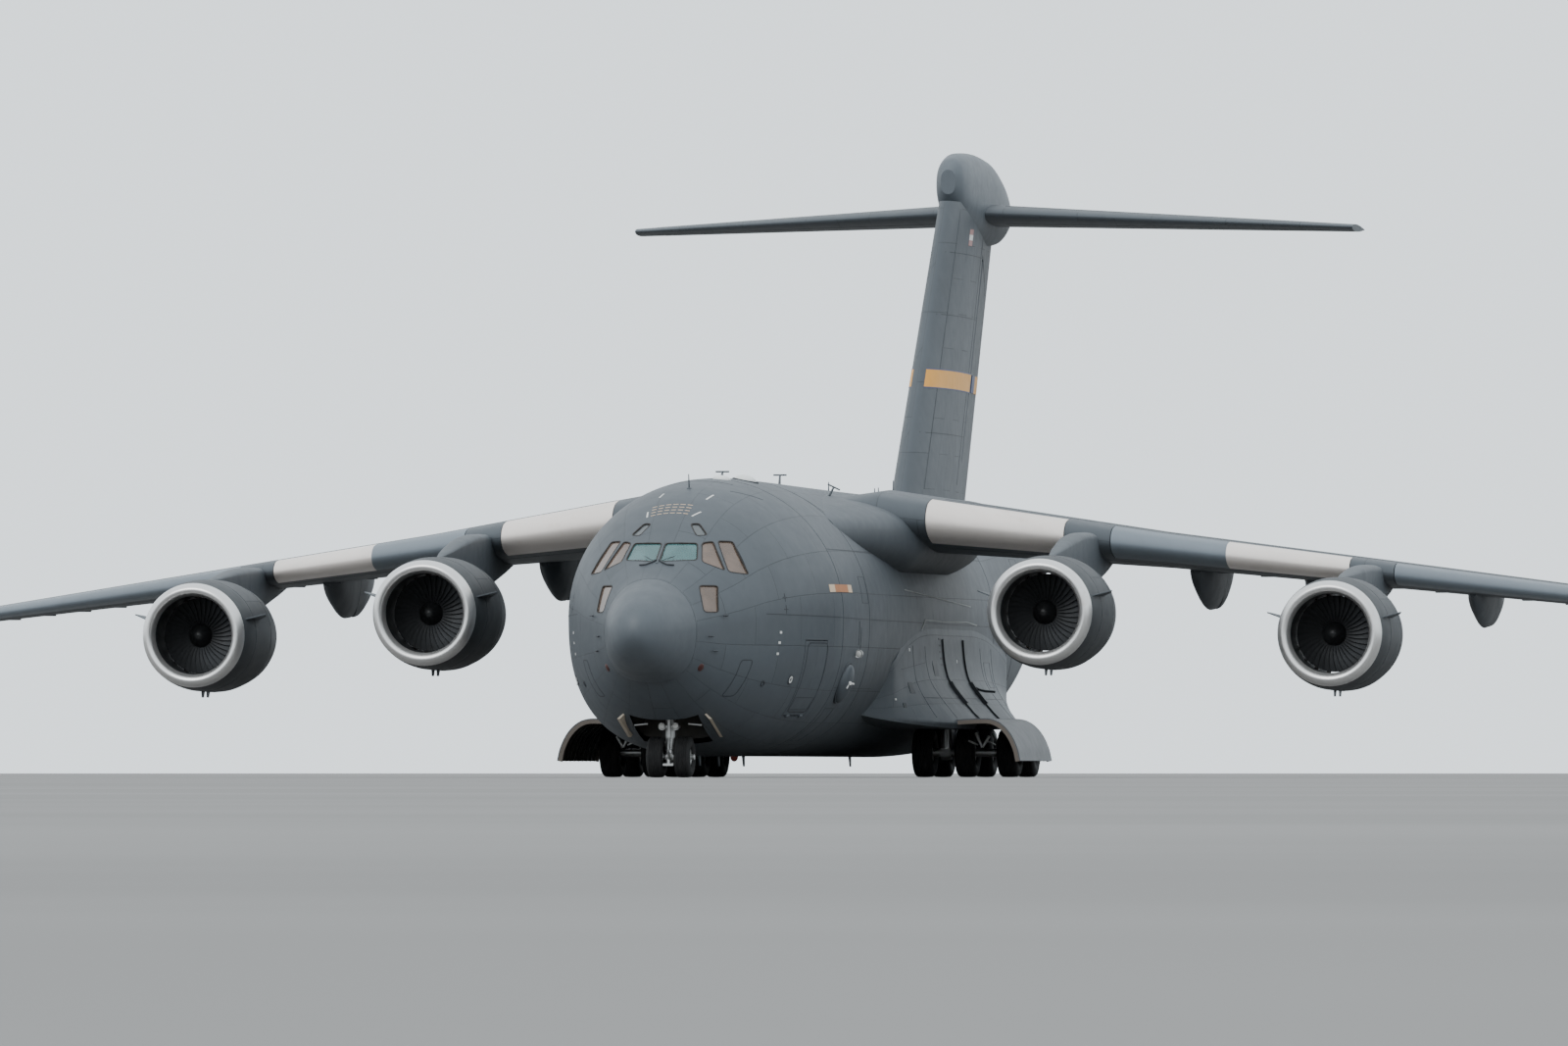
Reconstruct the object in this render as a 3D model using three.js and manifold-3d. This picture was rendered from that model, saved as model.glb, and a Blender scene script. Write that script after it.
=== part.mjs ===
// Four-engined military transport aircraft, parked on its landing gear, as a 1:2 scale model.
// Sizes are metres of the full-size aircraft, and the last group's scale turns them into the
// model's millimetres. Stations (y) run aft from the nose tip, +X is port, z is height over the ground.
import * as THREE from 'three';
import { mergeVertices } from 'three/addons/utils/BufferGeometryUtils.js';
import Module from 'manifold-3d';

const wasm = await Module();
wasm.setup();

// Scale and overall sizes
const MM_PER_METRE = 500;
const LENGTH = 53.04;
const HALF_SPAN = 25.875;
const GAP = 0.0007;
const DOOR_GAP = 0.02;
const CUT_REACH = 3;
// A height over all that a cut from above or below passes through
const CUT_TOP = 9;
const KNUCKLE_SIDES = 12;
// Hinge ribs: places along the hinge line, width, how far back they reach as a share of the nose
const RIB = { shares: [0.2, 0.8], width: 0.1, back: 0.8, sides: 24 };
const NOSE_OVERLAP = 0.9;

// Fuselage
const HULL_SIDES = 28;
const WALL = 0.12;
const BELLY_POWER = 2.5;
const RADOME_JOINT = 2.2;
const FORWARD_JOINT = 9.6;
const BARREL_START = 11.5;
const RAMP_JOINT = 31;
const HULL_END = 49.4;
const INNER_END = 48.2;
// Station, low, high, half width, height of the widest point, power of the upper curve
const HULL = [
  [0.00, 3.43, 3.49, 0.03, 3.46, 2.0],
  [0.12, 3.19, 3.73, 0.24, 3.46, 2.0],
  [0.45, 2.92, 4.00, 0.47, 3.46, 2.0],
  [1.00, 2.66, 4.29, 0.72, 3.47, 2.0],
  [2.20, 2.27, 4.80, 1.14, 3.55, 2.0],
  [3.10, 1.78, 5.24, 1.55, 3.62, 2.0],
  [4.00, 1.33, 5.74, 2.00, 3.72, 2.0],
  [5.00, 0.98, 6.32, 2.38, 3.82, 2.0],
  [6.20, 0.74, 6.82, 2.77, 3.88, 2.0],
  [7.60, 0.59, 7.13, 3.10, 3.92, 2.0],
  [9.60, 0.52, 7.33, 3.37, 3.94, 2.0],
  [11.5, 0.52, 7.38, 3.43, 3.95, 2.0],
  [31.0, 0.52, 7.30, 3.43, 3.95, 2.1],
  [34.0, 0.62, 7.33, 3.40, 3.98, 2.4],
  [37.0, 1.22, 7.38, 3.28, 4.20, 2.8],
  [40.0, 2.25, 7.38, 3.02, 4.60, 3.0],
  [43.0, 3.35, 7.22, 2.50, 5.05, 2.8],
  [46.0, 4.45, 6.95, 1.75, 5.50, 2.5],
  [48.6, 5.35, 6.50, 0.85, 5.88, 2.2],
  [49.4, 5.75, 6.15, 0.30, 5.95, 2.0],
];

// Cockpit windows: corners on the port half of the hull, as x and z in the front view
const GLASS_DEPTH = 0.03;
const PANE_BAND = 0.04;
const WINDOWS = [
  [[0.045, 5.21], [0.88, 5.25], [0.78, 5.67], [0.045, 5.67]],
  [[0.99, 5.21], [1.50, 5.00], [1.10, 5.72], [0.87, 5.68]],
  [[1.57, 4.97], [1.96, 4.91], [1.50, 5.72], [1.19, 5.73]],
  [[0.70, 5.85], [0.94, 5.87], [0.68, 6.16], [0.48, 6.15]],
  [[1.24, 3.98], [1.50, 3.98], [1.42, 4.63], [1.06, 4.63]],
];

// Cabin floors, doors and ramp
const FLOOR_TOP = 1.63;
const FLOOR_DEPTH = 0.2;
const CARGO_FLOOR_START = 6.2;
const DECK = { front: 3.1, back: 8.5, top: 3.9, depth: 0.1, doorHalf: 0.4, doorHigh: 5.85 };
const COCKPIT = { front: 2.5, back: 5.4, bandLow: 3.7 };
// station and height of the side views of the instrument panel and of a seat's back
const PANEL = { half: 1.1, outline: [[4.25, 3.88], [4.75, 3.88], [4.65, 4.98], [4.25, 5.02]] };
const SEAT = { x: 0.62, half: 0.25, front: 5.2, back: 5.75, top: 4.4 };
const SEAT_BACK = [[5.6, 4.3], [5.78, 4.3], [5.95, 5.15], [5.8, 5.15]];
// The crew door's hinge runs along the hull's side, turned from the y axis
const CREW_DOOR = { x: 2.46, station: 7.725, turn: 0.184, length: 1.47, low: 1.52, high: 3.33 };
const CREW_DOOR_REACH = { inside: 0.75, outside: 0.9 };
// Distance of its knuckles' ends from the middle of the hinge line, and their height and radius
const CREW_DOOR_HINGE = { near: 0.35, far: 0.55, height: 1.51, radius: 0.045, sweep: 0.25 };
const RAMP = { front: 31.1, back: 37.3, half: 2.5, top: 1.68, tailTop: 1.76, bevel: 0.14 };
const RAMP_HINGE = { station: 31.06, height: 0.66, half: 0.9 };
const CARGO_DOOR = { front: 37.44, back: 44, frontHalf: 2.25, backHalf: 1.4, high: 4.9 };
const CARGO_DOOR_HINGE = { station: 44, height: 4.06, radius: 0.1, from: 1.1, to: 1.4 };

// Wing: span position, leading edge, chord, height of the leading edge, thickness, incidence
const WING = [
  [0, 15.4, 12.3, 6.2, 1.35, 3.0],
  [2.8, 16.94, 10.811, 6.552, 1.476, 2.702],
  [9.4, 20.57, 7.3, 5.78, 0.90, 2.0],
  [25.1, 29.205, 2.85, 3.94, 0.29, 0.0],
];
const WING_ROOT = 1.6;
const WING_TIP = 25.1;
const WING_SPANS = [WING_ROOT, WING[1][0], WING[2][0], WING_TIP];
// Chord fraction and height as a fraction of the thickness, upper side then lower side
const WING_UPPER = [
  [0, 0], [0.012, 0.2], [0.04, 0.34], [0.12, 0.46], [0.3, 0.55], [0.5, 0.53], [0.72, 0.38], [1, 0.04],
];
const WING_LOWER = [
  [0, 0], [0.012, -0.16], [0.04, -0.27], [0.12, -0.38],
  [0.3, -0.45], [0.5, -0.38], [0.72, -0.2], [1, -0.01],
];
// Name, inner end and outer end
const SLATS = [
  ['inboard', 4.0, 7.2],
  ['middle', 8.3, 13.9],
  ['outboard', 14.97, 24.0],
];
const SLAT_CHORD = 0.1;
// Name, inner end, outer end, chord fraction at the front face, and the pivot's depth below the flap
const FLAPS = [
  ['inboard', 4.55, 9.2, 0.72, 1.15],
  ['outboard', 9.72, 17.9, 0.72, 0.95],
];
const FLAP_KNUCKLE = { radius: 0.1, half: 0.06 };
const FLAP_REACH = 5;
const SPOILER = {
  inner: 9.85,
  outer: 16.4,
  front: 0.6,
  back: 0.712,
  ahead: 0.03,
  behind: 0.05,
  skin: 0.06,
};
const AILERON = { inner: 18.35, outer: 23.6, hinge: 0.75 };
// Span position of each flap hinge fairing, its depth, half width at the wing and its flap
const FLAP_FAIRINGS = [
  [6.75, 1.1, 0.34, 0],
  [9.98, 1.1, 0.36, 1],
  [12.75, 1.0, 0.32, 1],
  [16.7, 0.9, 0.28, 1],
];
// Distance from the hinge line, share of the depth and share of the width along a fairing
const FAIRING_FORM = [
  [-2.8, 0.1, 0.3], [-1.9, 0.6, 0.85], [-0.6, 0.97, 1], [0.6, 1, 1], [1.8, 0.75, 0.7], [2.7, 0.35, 0.25],
];
const WINGLET = { low: 3.86, high: 6.75, cant: 0.62 };
// Share of the winglet's height, leading edge, chord and thickness
const WINGLET_ROWS = [
  [0, 29.5, 2.5, 0.2],
  [0.25, 30.3, 2.1, 0.16],
  [1, 32.45, 1.15, 0.07],
];
// Station, low, high, half width of the form whose shoulders stand out as the wing root fairings
const WING_FAIRING = [
  [12.7, 5.3, 6.75, 2.6],
  [14.0, 5.2, 6.85, 2.9],
  [15.3, 5.1, 6.95, 3.2],
  [16.8, 4.95, 7.05, 3.5],
  [18.6, 4.75, 7.12, 3.8],
  [24.5, 4.75, 7.18, 3.8],
  [27.6, 4.95, 7.16, 3.66],
  [29.6, 5.3, 7.1, 3.3],
  [31.6, 5.8, 6.9, 2.4],
];
const WING_FAIRING_POWER = 2.6;
// The station up to which the fuselage is cut out of the wings and their fairing
const WING_ROOT_END = 34;

// Engines: span position, station of the inlet lip, height of the axis
const ENGINES = [
  ['inboard', 7.745, 12.25, 4.08],
  ['outboard', 14.43, 15.85, 3.57],
];
const ENGINE_SIDES = 20;
// Distance behind the lip and radius, from the lip to the cowl's back edge and forward again inside
const COWL_OUTSIDE = [
  [0, 1.14], [0.07, 1.235], [0.3, 1.31], [1.2, 1.4], [2.6, 1.42], [3.7, 1.34], [4.55, 1.2],
];
const COWL_INSIDE = [[4.55, 1.14], [2.4, 1.1], [1.3, 1.0], [0.4, 0.985], [0.08, 1.04]];
const CORE_FRONT = [[1.95, 0], [1.95, 0.1222], [1.65, 0.1222], [1.65, 0.46], [2.4, 0.76], [3.5, 0.88]];
const CORE_BACK = [[4.9, 0.72], [5.75, 0.48]];
const CORE_END = [[5.3, 0.42], [5.3, 0.27], [5.95, 0]];
const GUIDE_VANES = { count: 4, front: 1.95, back: 2.7, inner: 0.5, outer: 1.1, thick: 0.05 };
const FAN = { radius: 0.96, front: 1.06, back: 1.3, hub: 0.3, shaft: 0.12, shaftEnd: 1.9 };
// Distance ahead of the fan and radius of the nose of its spinner
const SPINNER = [[-0.32, 0], [-0.2, 0.14]];
const FAN_BLADES = { count: 18, twist: 0.16 };
// Distance behind the lip, low over the axis, share of the rise to the leading edge, half width
const PYLON = [
  [1.9, 1.34, 0.03, 0.05],
  [3.0, 1.3, 0.35, 0.17],
  [4.4, 1.18, 0.72, 0.25],
  [4.62, 1.06, 0.77, 0.27],
  [4.8, 0.6, 0.81, 0.27],
  [5.9, 0.5, 0.96, 0.27],
  [7.3, 0.8, 1.0, 0.27],
  [9.0, 1.08, 0.6, 0.24],
  [10.65, 1.32, 0.5, 0.14],
];
const PYLON_CROWN = 0.16;

// Landing gear
const WHEEL_SIDES = 16;
const NOSE_WHEEL = { radius: 0.508, width: 0.4, x: 0.34, station: 4.75 };
// Share of the width and share of the radius along a tyre's outline
const TYRE_OUTLINE = [[-0.5, 0.84], [-0.3, 1], [0.3, 1], [0.5, 0.84]];
const MAIN_WHEEL = { radius: 0.635, width: 0.533, stations: [23.5, 26.1], x: [2.95, 4.05, 5.135] };
const NOSE_BAY = { half: 0.85, front: 3.85, back: 5.75, roof: 1.95, wall: 0.08 };
const NOSE_LEG = { radius: 0.13, low: 0.72, bore: 0.1325, sleeve: 0.2, sleeveLow: 1.4, top: 1.9 };
const NOSE_PISTON = { radius: 0.085, top: 1 };
const NOSE_BRACE = { radius: 0.06, from: [0, 3.95, 1.97], to: [0, 4.6, 1.55] };
const NOSE_LAMP = {
  height: 1.23,
  x: 0.17,
  radius: 0.085,
  ahead: 0.3,
  back: 0.15,
  barHalf: 0.24,
  barDepth: 0.2,
};
const TOW_FITTING = { height: 0.31, armHalf: 0.03, arm: 0.3, barHalf: 0.13, barFront: 0.36, barBack: 0.28 };
// Station, height of the hinged edge and of the free edge of a nose gear door
const NOSE_DOOR = [
  [3.95, 1.66, 1.42],
  [5.35, 1.32, 0.98],
];
const NOSE_DOOR_X = { hinge: 0.84, free: 1.1, thick: 0.07 };
const MAIN_LEG = {
  x: 3.5,
  radius: 0.16,
  half: 0.2,
  seatHalf: 0.12,
  beamLow: 1.8,
  beamHigh: 2.07,
  over: 0.3,
};
const MAIN_BRACE = { radius: 0.06, low: 1, near: 0.1, far: 1.15 };
const AXLE = { nose: 0.07, main: 0.1, stub: 0.05, bearing: 1.35, clearance: 1.025, sides: 16, boss: 0.05 };
// Station, outer reach, top, bottom of the gear pod
const POD = [
  [15.0, 2.6, 1.95, 1.6],
  [16.0, 3.15, 2.6, 1.45],
  [17.2, 3.65, 3.15, 1.35],
  [18.6, 4.05, 3.6, 1.28],
  [20.4, 4.38, 3.85, 1.23],
  [22.2, 4.5, 3.9, 1.22],
  [27.6, 4.5, 3.9, 1.22],
  [29.6, 4.3, 3.8, 1.25],
  [31.6, 3.85, 3.5, 1.4],
  [33.6, 3.25, 3, 1.7],
  [35.2, 2.65, 2.6, 2],
];
// Share of the height from top to bottom, share of the reach beyond the hull's side
const POD_PROFILE = [
  [0, 0], [0.11, 0.05], [0.34, 0.1], [0.5, 0.18], [0.6, 0.3],
  [0.72, 0.52], [0.84, 0.77], [0.95, 0.98], [1, 0.9],
];
const POD_HULL_X = 3.4;
const POD_INNER_X = 1.7;
const WELL = { front: 22.45, back: 27.15, inner: 2.5, outer: 3.72, mouth: 5, roof: 2.1, rim: 1.36 };
// x and z of the open main gear door's outer face, from its hinge to its free edge
const GEAR_DOOR = [
  [4.25, 1.45], [4.7, 1.48], [5.15, 1.48], [5.45, 1.36], [5.7, 1.1], [5.87, 0.75], [5.95, 0.42],
];
const GEAR_DOOR_STATIONS = [20.3, 25.1];
const GEAR_DOOR_THICK = 0.06;

// Tail. The fin's rows are height, leading edge, chord, 0, thickness and incidence.
const FIN = [
  [6.7, 35.74, 10.05, 0, 1.1, 0],
  [16.3, 44.0, 7.6, 0, 0.72, 0],
];
const FIN_TOP = 15.4;
const FIN_HOLLOW = { top: 13.8, wall: 0.09, fractions: [0.1, 0.2, 0.35, 0.5, 0.62] };
const RUDDER = { inner: 8.35, outer: 13.9, hinge: 0.72 };
const TAILPLANE = [
  [0, 46.4, 6.1, 15.2, 0.6, 0],
  [9.905, 50.7, 2.34, 14.9, 0.2, 0],
];
const ELEVATOR = { inner: 0.95, outer: 9.4, hinge: 0.73 };
const TAIL_PROFILE = [
  [0, 0], [0.015, 0.16], [0.06, 0.3], [0.18, 0.45], [0.35, 0.5], [0.6, 0.4], [0.8, 0.23], [1, 0.025],
];
// Station, low, high, half width of the fairing on the fin's top
const BULLET = [
  [43.75, 15.6, 16.25, 0.2],
  [44.1, 15.2, 16.55, 0.38],
  [45.0, 14.8, 16.74, 0.47],
  [46.6, 14.5, 16.79, 0.53],
  [48.6, 14.35, 16.7, 0.54],
  [50.4, 14.45, 16.35, 0.48],
  [51.7, 14.75, 15.85, 0.36],
  [52.4, 15.05, 15.4, 0.16],
];
const BULLET_POWER = 2.4;
// The strakes under the tail cone: station, and height from the hull's lowest point at their back end
const STRAKE = { x: 1.72, thick: 0.07, front: 42.6, back: 47.4 };
const STRAKE_OUTLINE = [[42.6, -1.4], [44, -1.35], [47.4, -0.2], [47.4, 0.7], [42.6, -0.4]];

// Materials
const material = (color, roughness, metalness) => {
  return new THREE.MeshStandardMaterial({ color, roughness, metalness });
};
const PAINT = () => material(0x5b6269, 0.6, 0.1);
const COMPOSITE = () => material(0x4f565d, 0.65, 0);
const BARE_METAL = () => material(0xb8afa6, 0.35, 0.9);
const GLASS = () => material(0x3d5350, 0.1, 0);
const STEEL = () => material(0x8d9092, 0.35, 0.9);
const TYRE = () => material(0x17181a, 0.9, 0);
const PRIMER = () => material(0xb3a695, 0.6, 0);
const DARK = () => material(0x2a2c2e, 0.5, 0.6);

// Solids: a closed geometry becomes a manifold, and back
function toSolid(geometry) {
  const plain = geometry.clone();
  plain.deleteAttribute('normal');
  plain.deleteAttribute('uv');
  const merged = mergeVertices(plain, 1e-5);
  const index = Array.from(merged.index.array);
  const triangles = [];
  for (let i = 0; i < index.length; i += 3) {
    const [a, b, c] = index.slice(i, i + 3);
    if (a !== b && b !== c && c !== a) {
      triangles.push([a, b, c]);
    }
  }
  const position = merged.attributes.position;
  const corner = (i) => new THREE.Vector3().fromBufferAttribute(position, i);
  const volume = triangles.reduce((sum, [a, b, c]) => sum + corner(a).dot(corner(b).cross(corner(c))), 0);
  const outward = volume > 0 ? triangles : triangles.map(([a, b, c]) => [a, c, b]);
  return new wasm.Manifold(new wasm.Mesh({
    numProp: 3,
    vertProperties: new Float32Array(position.array),
    triVerts: new Uint32Array(outward.flat()),
  }));
}

function toGeometry(solid) {
  const mesh = solid.getMesh();
  const geometry = new THREE.BufferGeometry();
  geometry.setAttribute('position', new THREE.BufferAttribute(mesh.vertProperties, 3));
  geometry.setIndex(new THREE.BufferAttribute(mesh.triVerts, 1));
  geometry.computeVertexNormals();
  return geometry;
}

function mirrored(solid) {
  return toSolid(toGeometry(solid).scale(-1, 1, 1));
}

function joined(solids) {
  return solids.reduce((sum, solid) => sum.add(solid));
}

// A cap over a flat ring, running the same way round as the ring
function capTriangles(ring) {
  const normal = new THREE.Vector3();
  ring.forEach((point, i) => normal.add(point.clone().cross(ring[(i + 1) % ring.length])));
  const size = normal.toArray().map(Math.abs);
  const drop = size.indexOf(Math.max(...size));
  const [u, v] = [0, 1, 2].filter((axis) => axis !== drop);
  const flat = ring.map((point) => new THREE.Vector2(point.getComponent(u), point.getComponent(v)));
  const triangles = THREE.ShapeUtils.triangulateShape(flat, []);
  const follows = triangles.some(([a, b, c]) => {
    return [[a, b], [b, c], [c, a]].some(([p, q]) => p === 0 && q === 1);
  });
  return follows ? triangles : triangles.map(([a, b, c]) => [a, c, b]);
}

// A solid through rings that have the same number of points. Each face is split along one diagonal,
// and along the other one where crossed says so, which keeps a form the same on both sides.
function loft(rings, crossed = () => false) {
  const count = rings[0].length;
  const position = rings.flat().flatMap((point) => point.toArray());
  const index = [];
  for (let k = 0; k + 1 < rings.length; k += 1) {
    for (let i = 0; i < count; i += 1) {
      const a = k * count + i;
      const b = k * count + ((i + 1) % count);
      if (crossed(i)) {
        index.push(a, b, a + count, b, b + count, a + count);
      } else {
        index.push(a, b, b + count, a, b + count, a + count);
      }
    }
  }
  const last = (rings.length - 1) * count;
  capTriangles(rings[0]).forEach(([a, b, c]) => index.push(a, c, b));
  capTriangles(rings[rings.length - 1]).forEach(([a, b, c]) => index.push(last + a, last + b, last + c));
  const geometry = new THREE.BufferGeometry();
  geometry.setAttribute('position', new THREE.Float32BufferAttribute(position, 3));
  geometry.setIndex(index);
  return toSolid(geometry);
}

function box(low, high) {
  const size = high.map((value, axis) => value - low[axis]);
  const middle = high.map((value, axis) => (value + low[axis]) / 2);
  return toSolid(new THREE.BoxGeometry(...size).translate(...middle));
}

function outline(points, depth) {
  const shape = new THREE.Shape(points.map(([u, v]) => new THREE.Vector2(u, v)));
  return new THREE.ExtrudeGeometry(shape, { depth, bevelEnabled: false });
}

// An outline in plan (x, y), carried up from low to high
function planPrism(points, low, high) {
  return toSolid(outline(points, high - low).translate(0, 0, low));
}

// An outline in side view (y, z), carried across from low to high x
function sidePrism(points, low, high) {
  const turn = new THREE.Matrix4().makeBasis(
    new THREE.Vector3(0, 1, 0),
    new THREE.Vector3(0, 0, 1),
    new THREE.Vector3(1, 0, 0),
  );
  return toSolid(outline(points, high - low).applyMatrix4(turn).translate(low, 0, 0));
}

function cylinder(radius, from, to, sides, turn = 0) {
  const start = new THREE.Vector3(...from);
  const end = new THREE.Vector3(...to);
  const along = end.clone().sub(start);
  const geometry = new THREE.CylinderGeometry(radius, radius, along.length(), sides);
  geometry.rotateY(turn);
  const swing = new THREE.Quaternion().setFromUnitVectors(new THREE.Vector3(0, 1, 0), along.normalize());
  geometry.applyQuaternion(swing);
  const middle = start.add(end).multiplyScalar(0.5);
  return toSolid(geometry.translate(middle.x, middle.y, middle.z));
}

// A body turned round the y axis from pairs of distance along it and radius
function turned(profile, sides) {
  const points = profile.map(([along, radius]) => new THREE.Vector2(radius, along));
  return toSolid(new THREE.LatheGeometry(points, sides));
}

// Hull
function hullAt(station) {
  const last = HULL.length - 1;
  const slope = (i, column) => (HULL[i + 1][column] - HULL[i][column]) / (HULL[i + 1][0] - HULL[i][0]);
  const tangent = (i, column) => {
    if (i === 0) {
      return slope(0, column);
    }
    if (i === last) {
      return slope(last - 1, column);
    }
    const before = slope(i - 1, column);
    const after = slope(i, column);
    return before * after > 0 ? (2 * before * after) / (before + after) : 0;
  };
  const found = HULL.findIndex((row) => row[0] > station);
  const k = Math.max(0, (found < 0 ? last : found) - 1);
  const step = HULL[k + 1][0] - HULL[k][0];
  const t = (station - HULL[k][0]) / step;
  const value = (column) => {
    const start = (2 * t ** 3 - 3 * t ** 2 + 1) * HULL[k][column];
    const end = (3 * t ** 2 - 2 * t ** 3) * HULL[k + 1][column];
    const leave = (t ** 3 - 2 * t ** 2 + t) * step * tangent(k, column);
    const arrive = (t ** 3 - t ** 2) * step * tangent(k + 1, column);
    return start + end + leave + arrive;
  };
  return { low: value(1), high: value(2), half: value(3), mid: value(4), crown: value(5) };
}

function hullPoint(station, angle, inset = 0) {
  const { low, high, half, mid, crown } = hullAt(station);
  const cosine = Math.cos(angle);
  const sine = Math.sin(angle);
  const power = 2 / (sine >= 0 ? crown : BELLY_POWER);
  const tall = (sine >= 0 ? high - mid : mid - low) - inset;
  const x = (half - inset) * Math.sign(cosine) * Math.abs(cosine) ** power;
  const z = mid + tall * Math.sign(sine) * Math.abs(sine) ** power;
  return new THREE.Vector3(x, station, z);
}

function hullSolid(from, to, inset = 0) {
  const inside = HULL.map((row) => row[0]).filter((row) => row > from + 0.05 && row < to - 0.05);
  const rings = [from, ...inside, to].map((station) => Array.from({ length: HULL_SIDES }, (_, i) => {
    return hullPoint(station, (i / HULL_SIDES) * Math.PI * 2, inset);
  }));
  return loft(rings, (i) => Math.cos(((i + 0.5) / HULL_SIDES) * Math.PI * 2) < 0);
}

// A length of the forward hull, cut from the same facets as its shell
function forwardSlice(from, to, inset) {
  const slice = box([-HALF_SPAN, from, 0], [HALF_SPAN, to, CUT_TOP]);
  return hullSolid(RADOME_JOINT, FORWARD_JOINT, inset).intersect(slice);
}

function hullShell(from, to, innerFrom, innerTo) {
  return hullSolid(from, to).subtract(hullSolid(innerFrom, innerTo, WALL));
}

// The station at which the hull's surface passes through x and z of the front view
function hullStation(x, z) {
  let ahead = 0;
  let behind = FORWARD_JOINT;
  for (let i = 0; i < 40; i += 1) {
    const station = (ahead + behind) / 2;
    const { low, high, half, mid, crown } = hullAt(station);
    const power = z >= mid ? crown : BELLY_POWER;
    const tall = z >= mid ? high - mid : mid - low;
    const inside = (Math.abs(x) / half) ** power + (Math.abs(z - mid) / tall) ** power < 1;
    if (inside) {
      behind = station;
    } else {
      ahead = station;
    }
  }
  return behind;
}

// A block through the wall over one window, its sides square to the hull there
function windowBlock(corners, shrink) {
  const points = corners.map(([x, z]) => new THREE.Vector3(x, hullStation(x, z), z));
  const centre = points.reduce((sum, point) => sum.add(point), new THREE.Vector3()).multiplyScalar(1 / 4);
  const across = points[2].clone().sub(points[0]);
  const normal = across.cross(points[3].clone().sub(points[1])).normalize();
  const reach = normal.multiplyScalar(0.4);
  const pulled = points.map((point) => point.clone().lerp(centre, shrink / point.distanceTo(centre)));
  return loft([1, -1].map((sign) => pulled.map((point) => point.clone().addScaledVector(reach, sign))));
}

function allWindows(shrink) {
  const port = WINDOWS.map((corners) => windowBlock(corners, shrink));
  return joined([...port, ...port.map(mirrored)]);
}

// Lifting surfaces: a table of sections along the span, with straight lines between
function sectionAt(table, span) {
  const found = table.findIndex((row) => row[0] > span);
  const k = Math.min(table.length - 2, Math.max(0, (found < 0 ? table.length : found) - 1));
  const t = (span - table[k][0]) / (table[k + 1][0] - table[k][0]);
  const row = table[k].map((value, i) => value + t * (table[k + 1][i] - value));
  const [, lead, chord, height, thick, incidence] = row;
  return { lead, chord, height, thick, incidence: THREE.MathUtils.degToRad(incidence) };
}

function profileHeight(profile, fraction) {
  const k = Math.min(profile.length - 2, Math.max(0, profile.findIndex((row) => row[0] >= fraction) - 1));
  const t = (fraction - profile[k][0]) / (profile[k + 1][0] - profile[k][0]);
  return profile[k][1] + t * (profile[k + 1][1] - profile[k][1]);
}

const level = (span, station, height) => [span, station, height];
const wingShape = { table: WING, upper: WING_UPPER, lower: WING_LOWER, place: level };
const tailLower = TAIL_PROFILE.map(([fraction, height]) => [fraction, -height]);
const tailShape = { table: TAILPLANE, upper: TAIL_PROFILE, lower: tailLower, place: level };
const finShape = { table: FIN, upper: TAIL_PROFILE, lower: tailLower, place: (s, y, h) => [h, y, s] };

// A point of a section, given as chord fraction and height in metres off the chord line
function sectionPoint(shape, span, fraction, height) {
  const { lead, chord, height: base, incidence } = sectionAt(shape.table, span);
  const y = lead + fraction * chord * Math.cos(incidence);
  const h = base - fraction * chord * Math.sin(incidence) + height;
  return new THREE.Vector3(...shape.place(span, y, h));
}

function skinHeight(shape, span, fraction, side) {
  return profileHeight(shape[side], fraction) * sectionAt(shape.table, span).thick;
}

function sectionRing(shape, span, grow = 0) {
  const { chord } = sectionAt(shape.table, span);
  const lift = (side, [fraction], sign) => {
    const stretched = fraction + (grow / chord) * (fraction === 0 ? -1 : fraction === 1 ? 1 : 0);
    const height = skinHeight(shape, span, fraction, side) + sign * grow * (fraction === 0 ? 0 : 1);
    return sectionPoint(shape, span, stretched, height);
  };
  const upper = shape.upper.map((row) => lift('upper', row, 1));
  const lower = shape.lower.slice(1).reverse().map((row) => lift('lower', row, -1));
  return [...upper, ...lower];
}

function liftSolid(shape, spans, grow = 0) {
  return loft(spans.map((span) => sectionRing(shape, span, grow)));
}

// The line along the span at one chord fraction, in plan
function hingeLine(shape, inner, outer, fraction) {
  return [inner, outer].map((span) => {
    const { lead, chord } = sectionAt(shape.table, span);
    return new THREE.Vector2(span, lead + fraction * chord);
  });
}

function midHeight(shape, span, fraction) {
  return (skinHeight(shape, span, fraction, 'upper') + skinHeight(shape, span, fraction, 'lower')) / 2;
}

// A hinge line at mid thickness: its length, its directions, and a frame with x along it and y aft
function hingeFrame(shape, inner, outer, fraction) {
  const [start, end] = [inner, outer].map((span) => {
    return sectionPoint(shape, span, fraction, midHeight(shape, span, fraction));
  });
  const along = end.clone().sub(start);
  const length = along.length();
  along.normalize();
  const aft = new THREE.Vector3(0, 1, 0).addScaledVector(along, -along.y).normalize();
  const up = along.clone().cross(aft);
  const matrix = new THREE.Matrix4().makeBasis(along, aft, up).setPosition(start);
  return { start, along, aft, up, length, matrix };
}

// A block about a hinge line, its ends square to the line
function hingeBlock({ length, matrix }, ahead, behind, side) {
  const geometry = new THREE.BoxGeometry(length + 2 * side, ahead + behind, 2 * CUT_REACH);
  geometry.translate(length / 2, (behind - ahead) / 2, 0);
  return toSolid(geometry.applyMatrix4(matrix));
}

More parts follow.
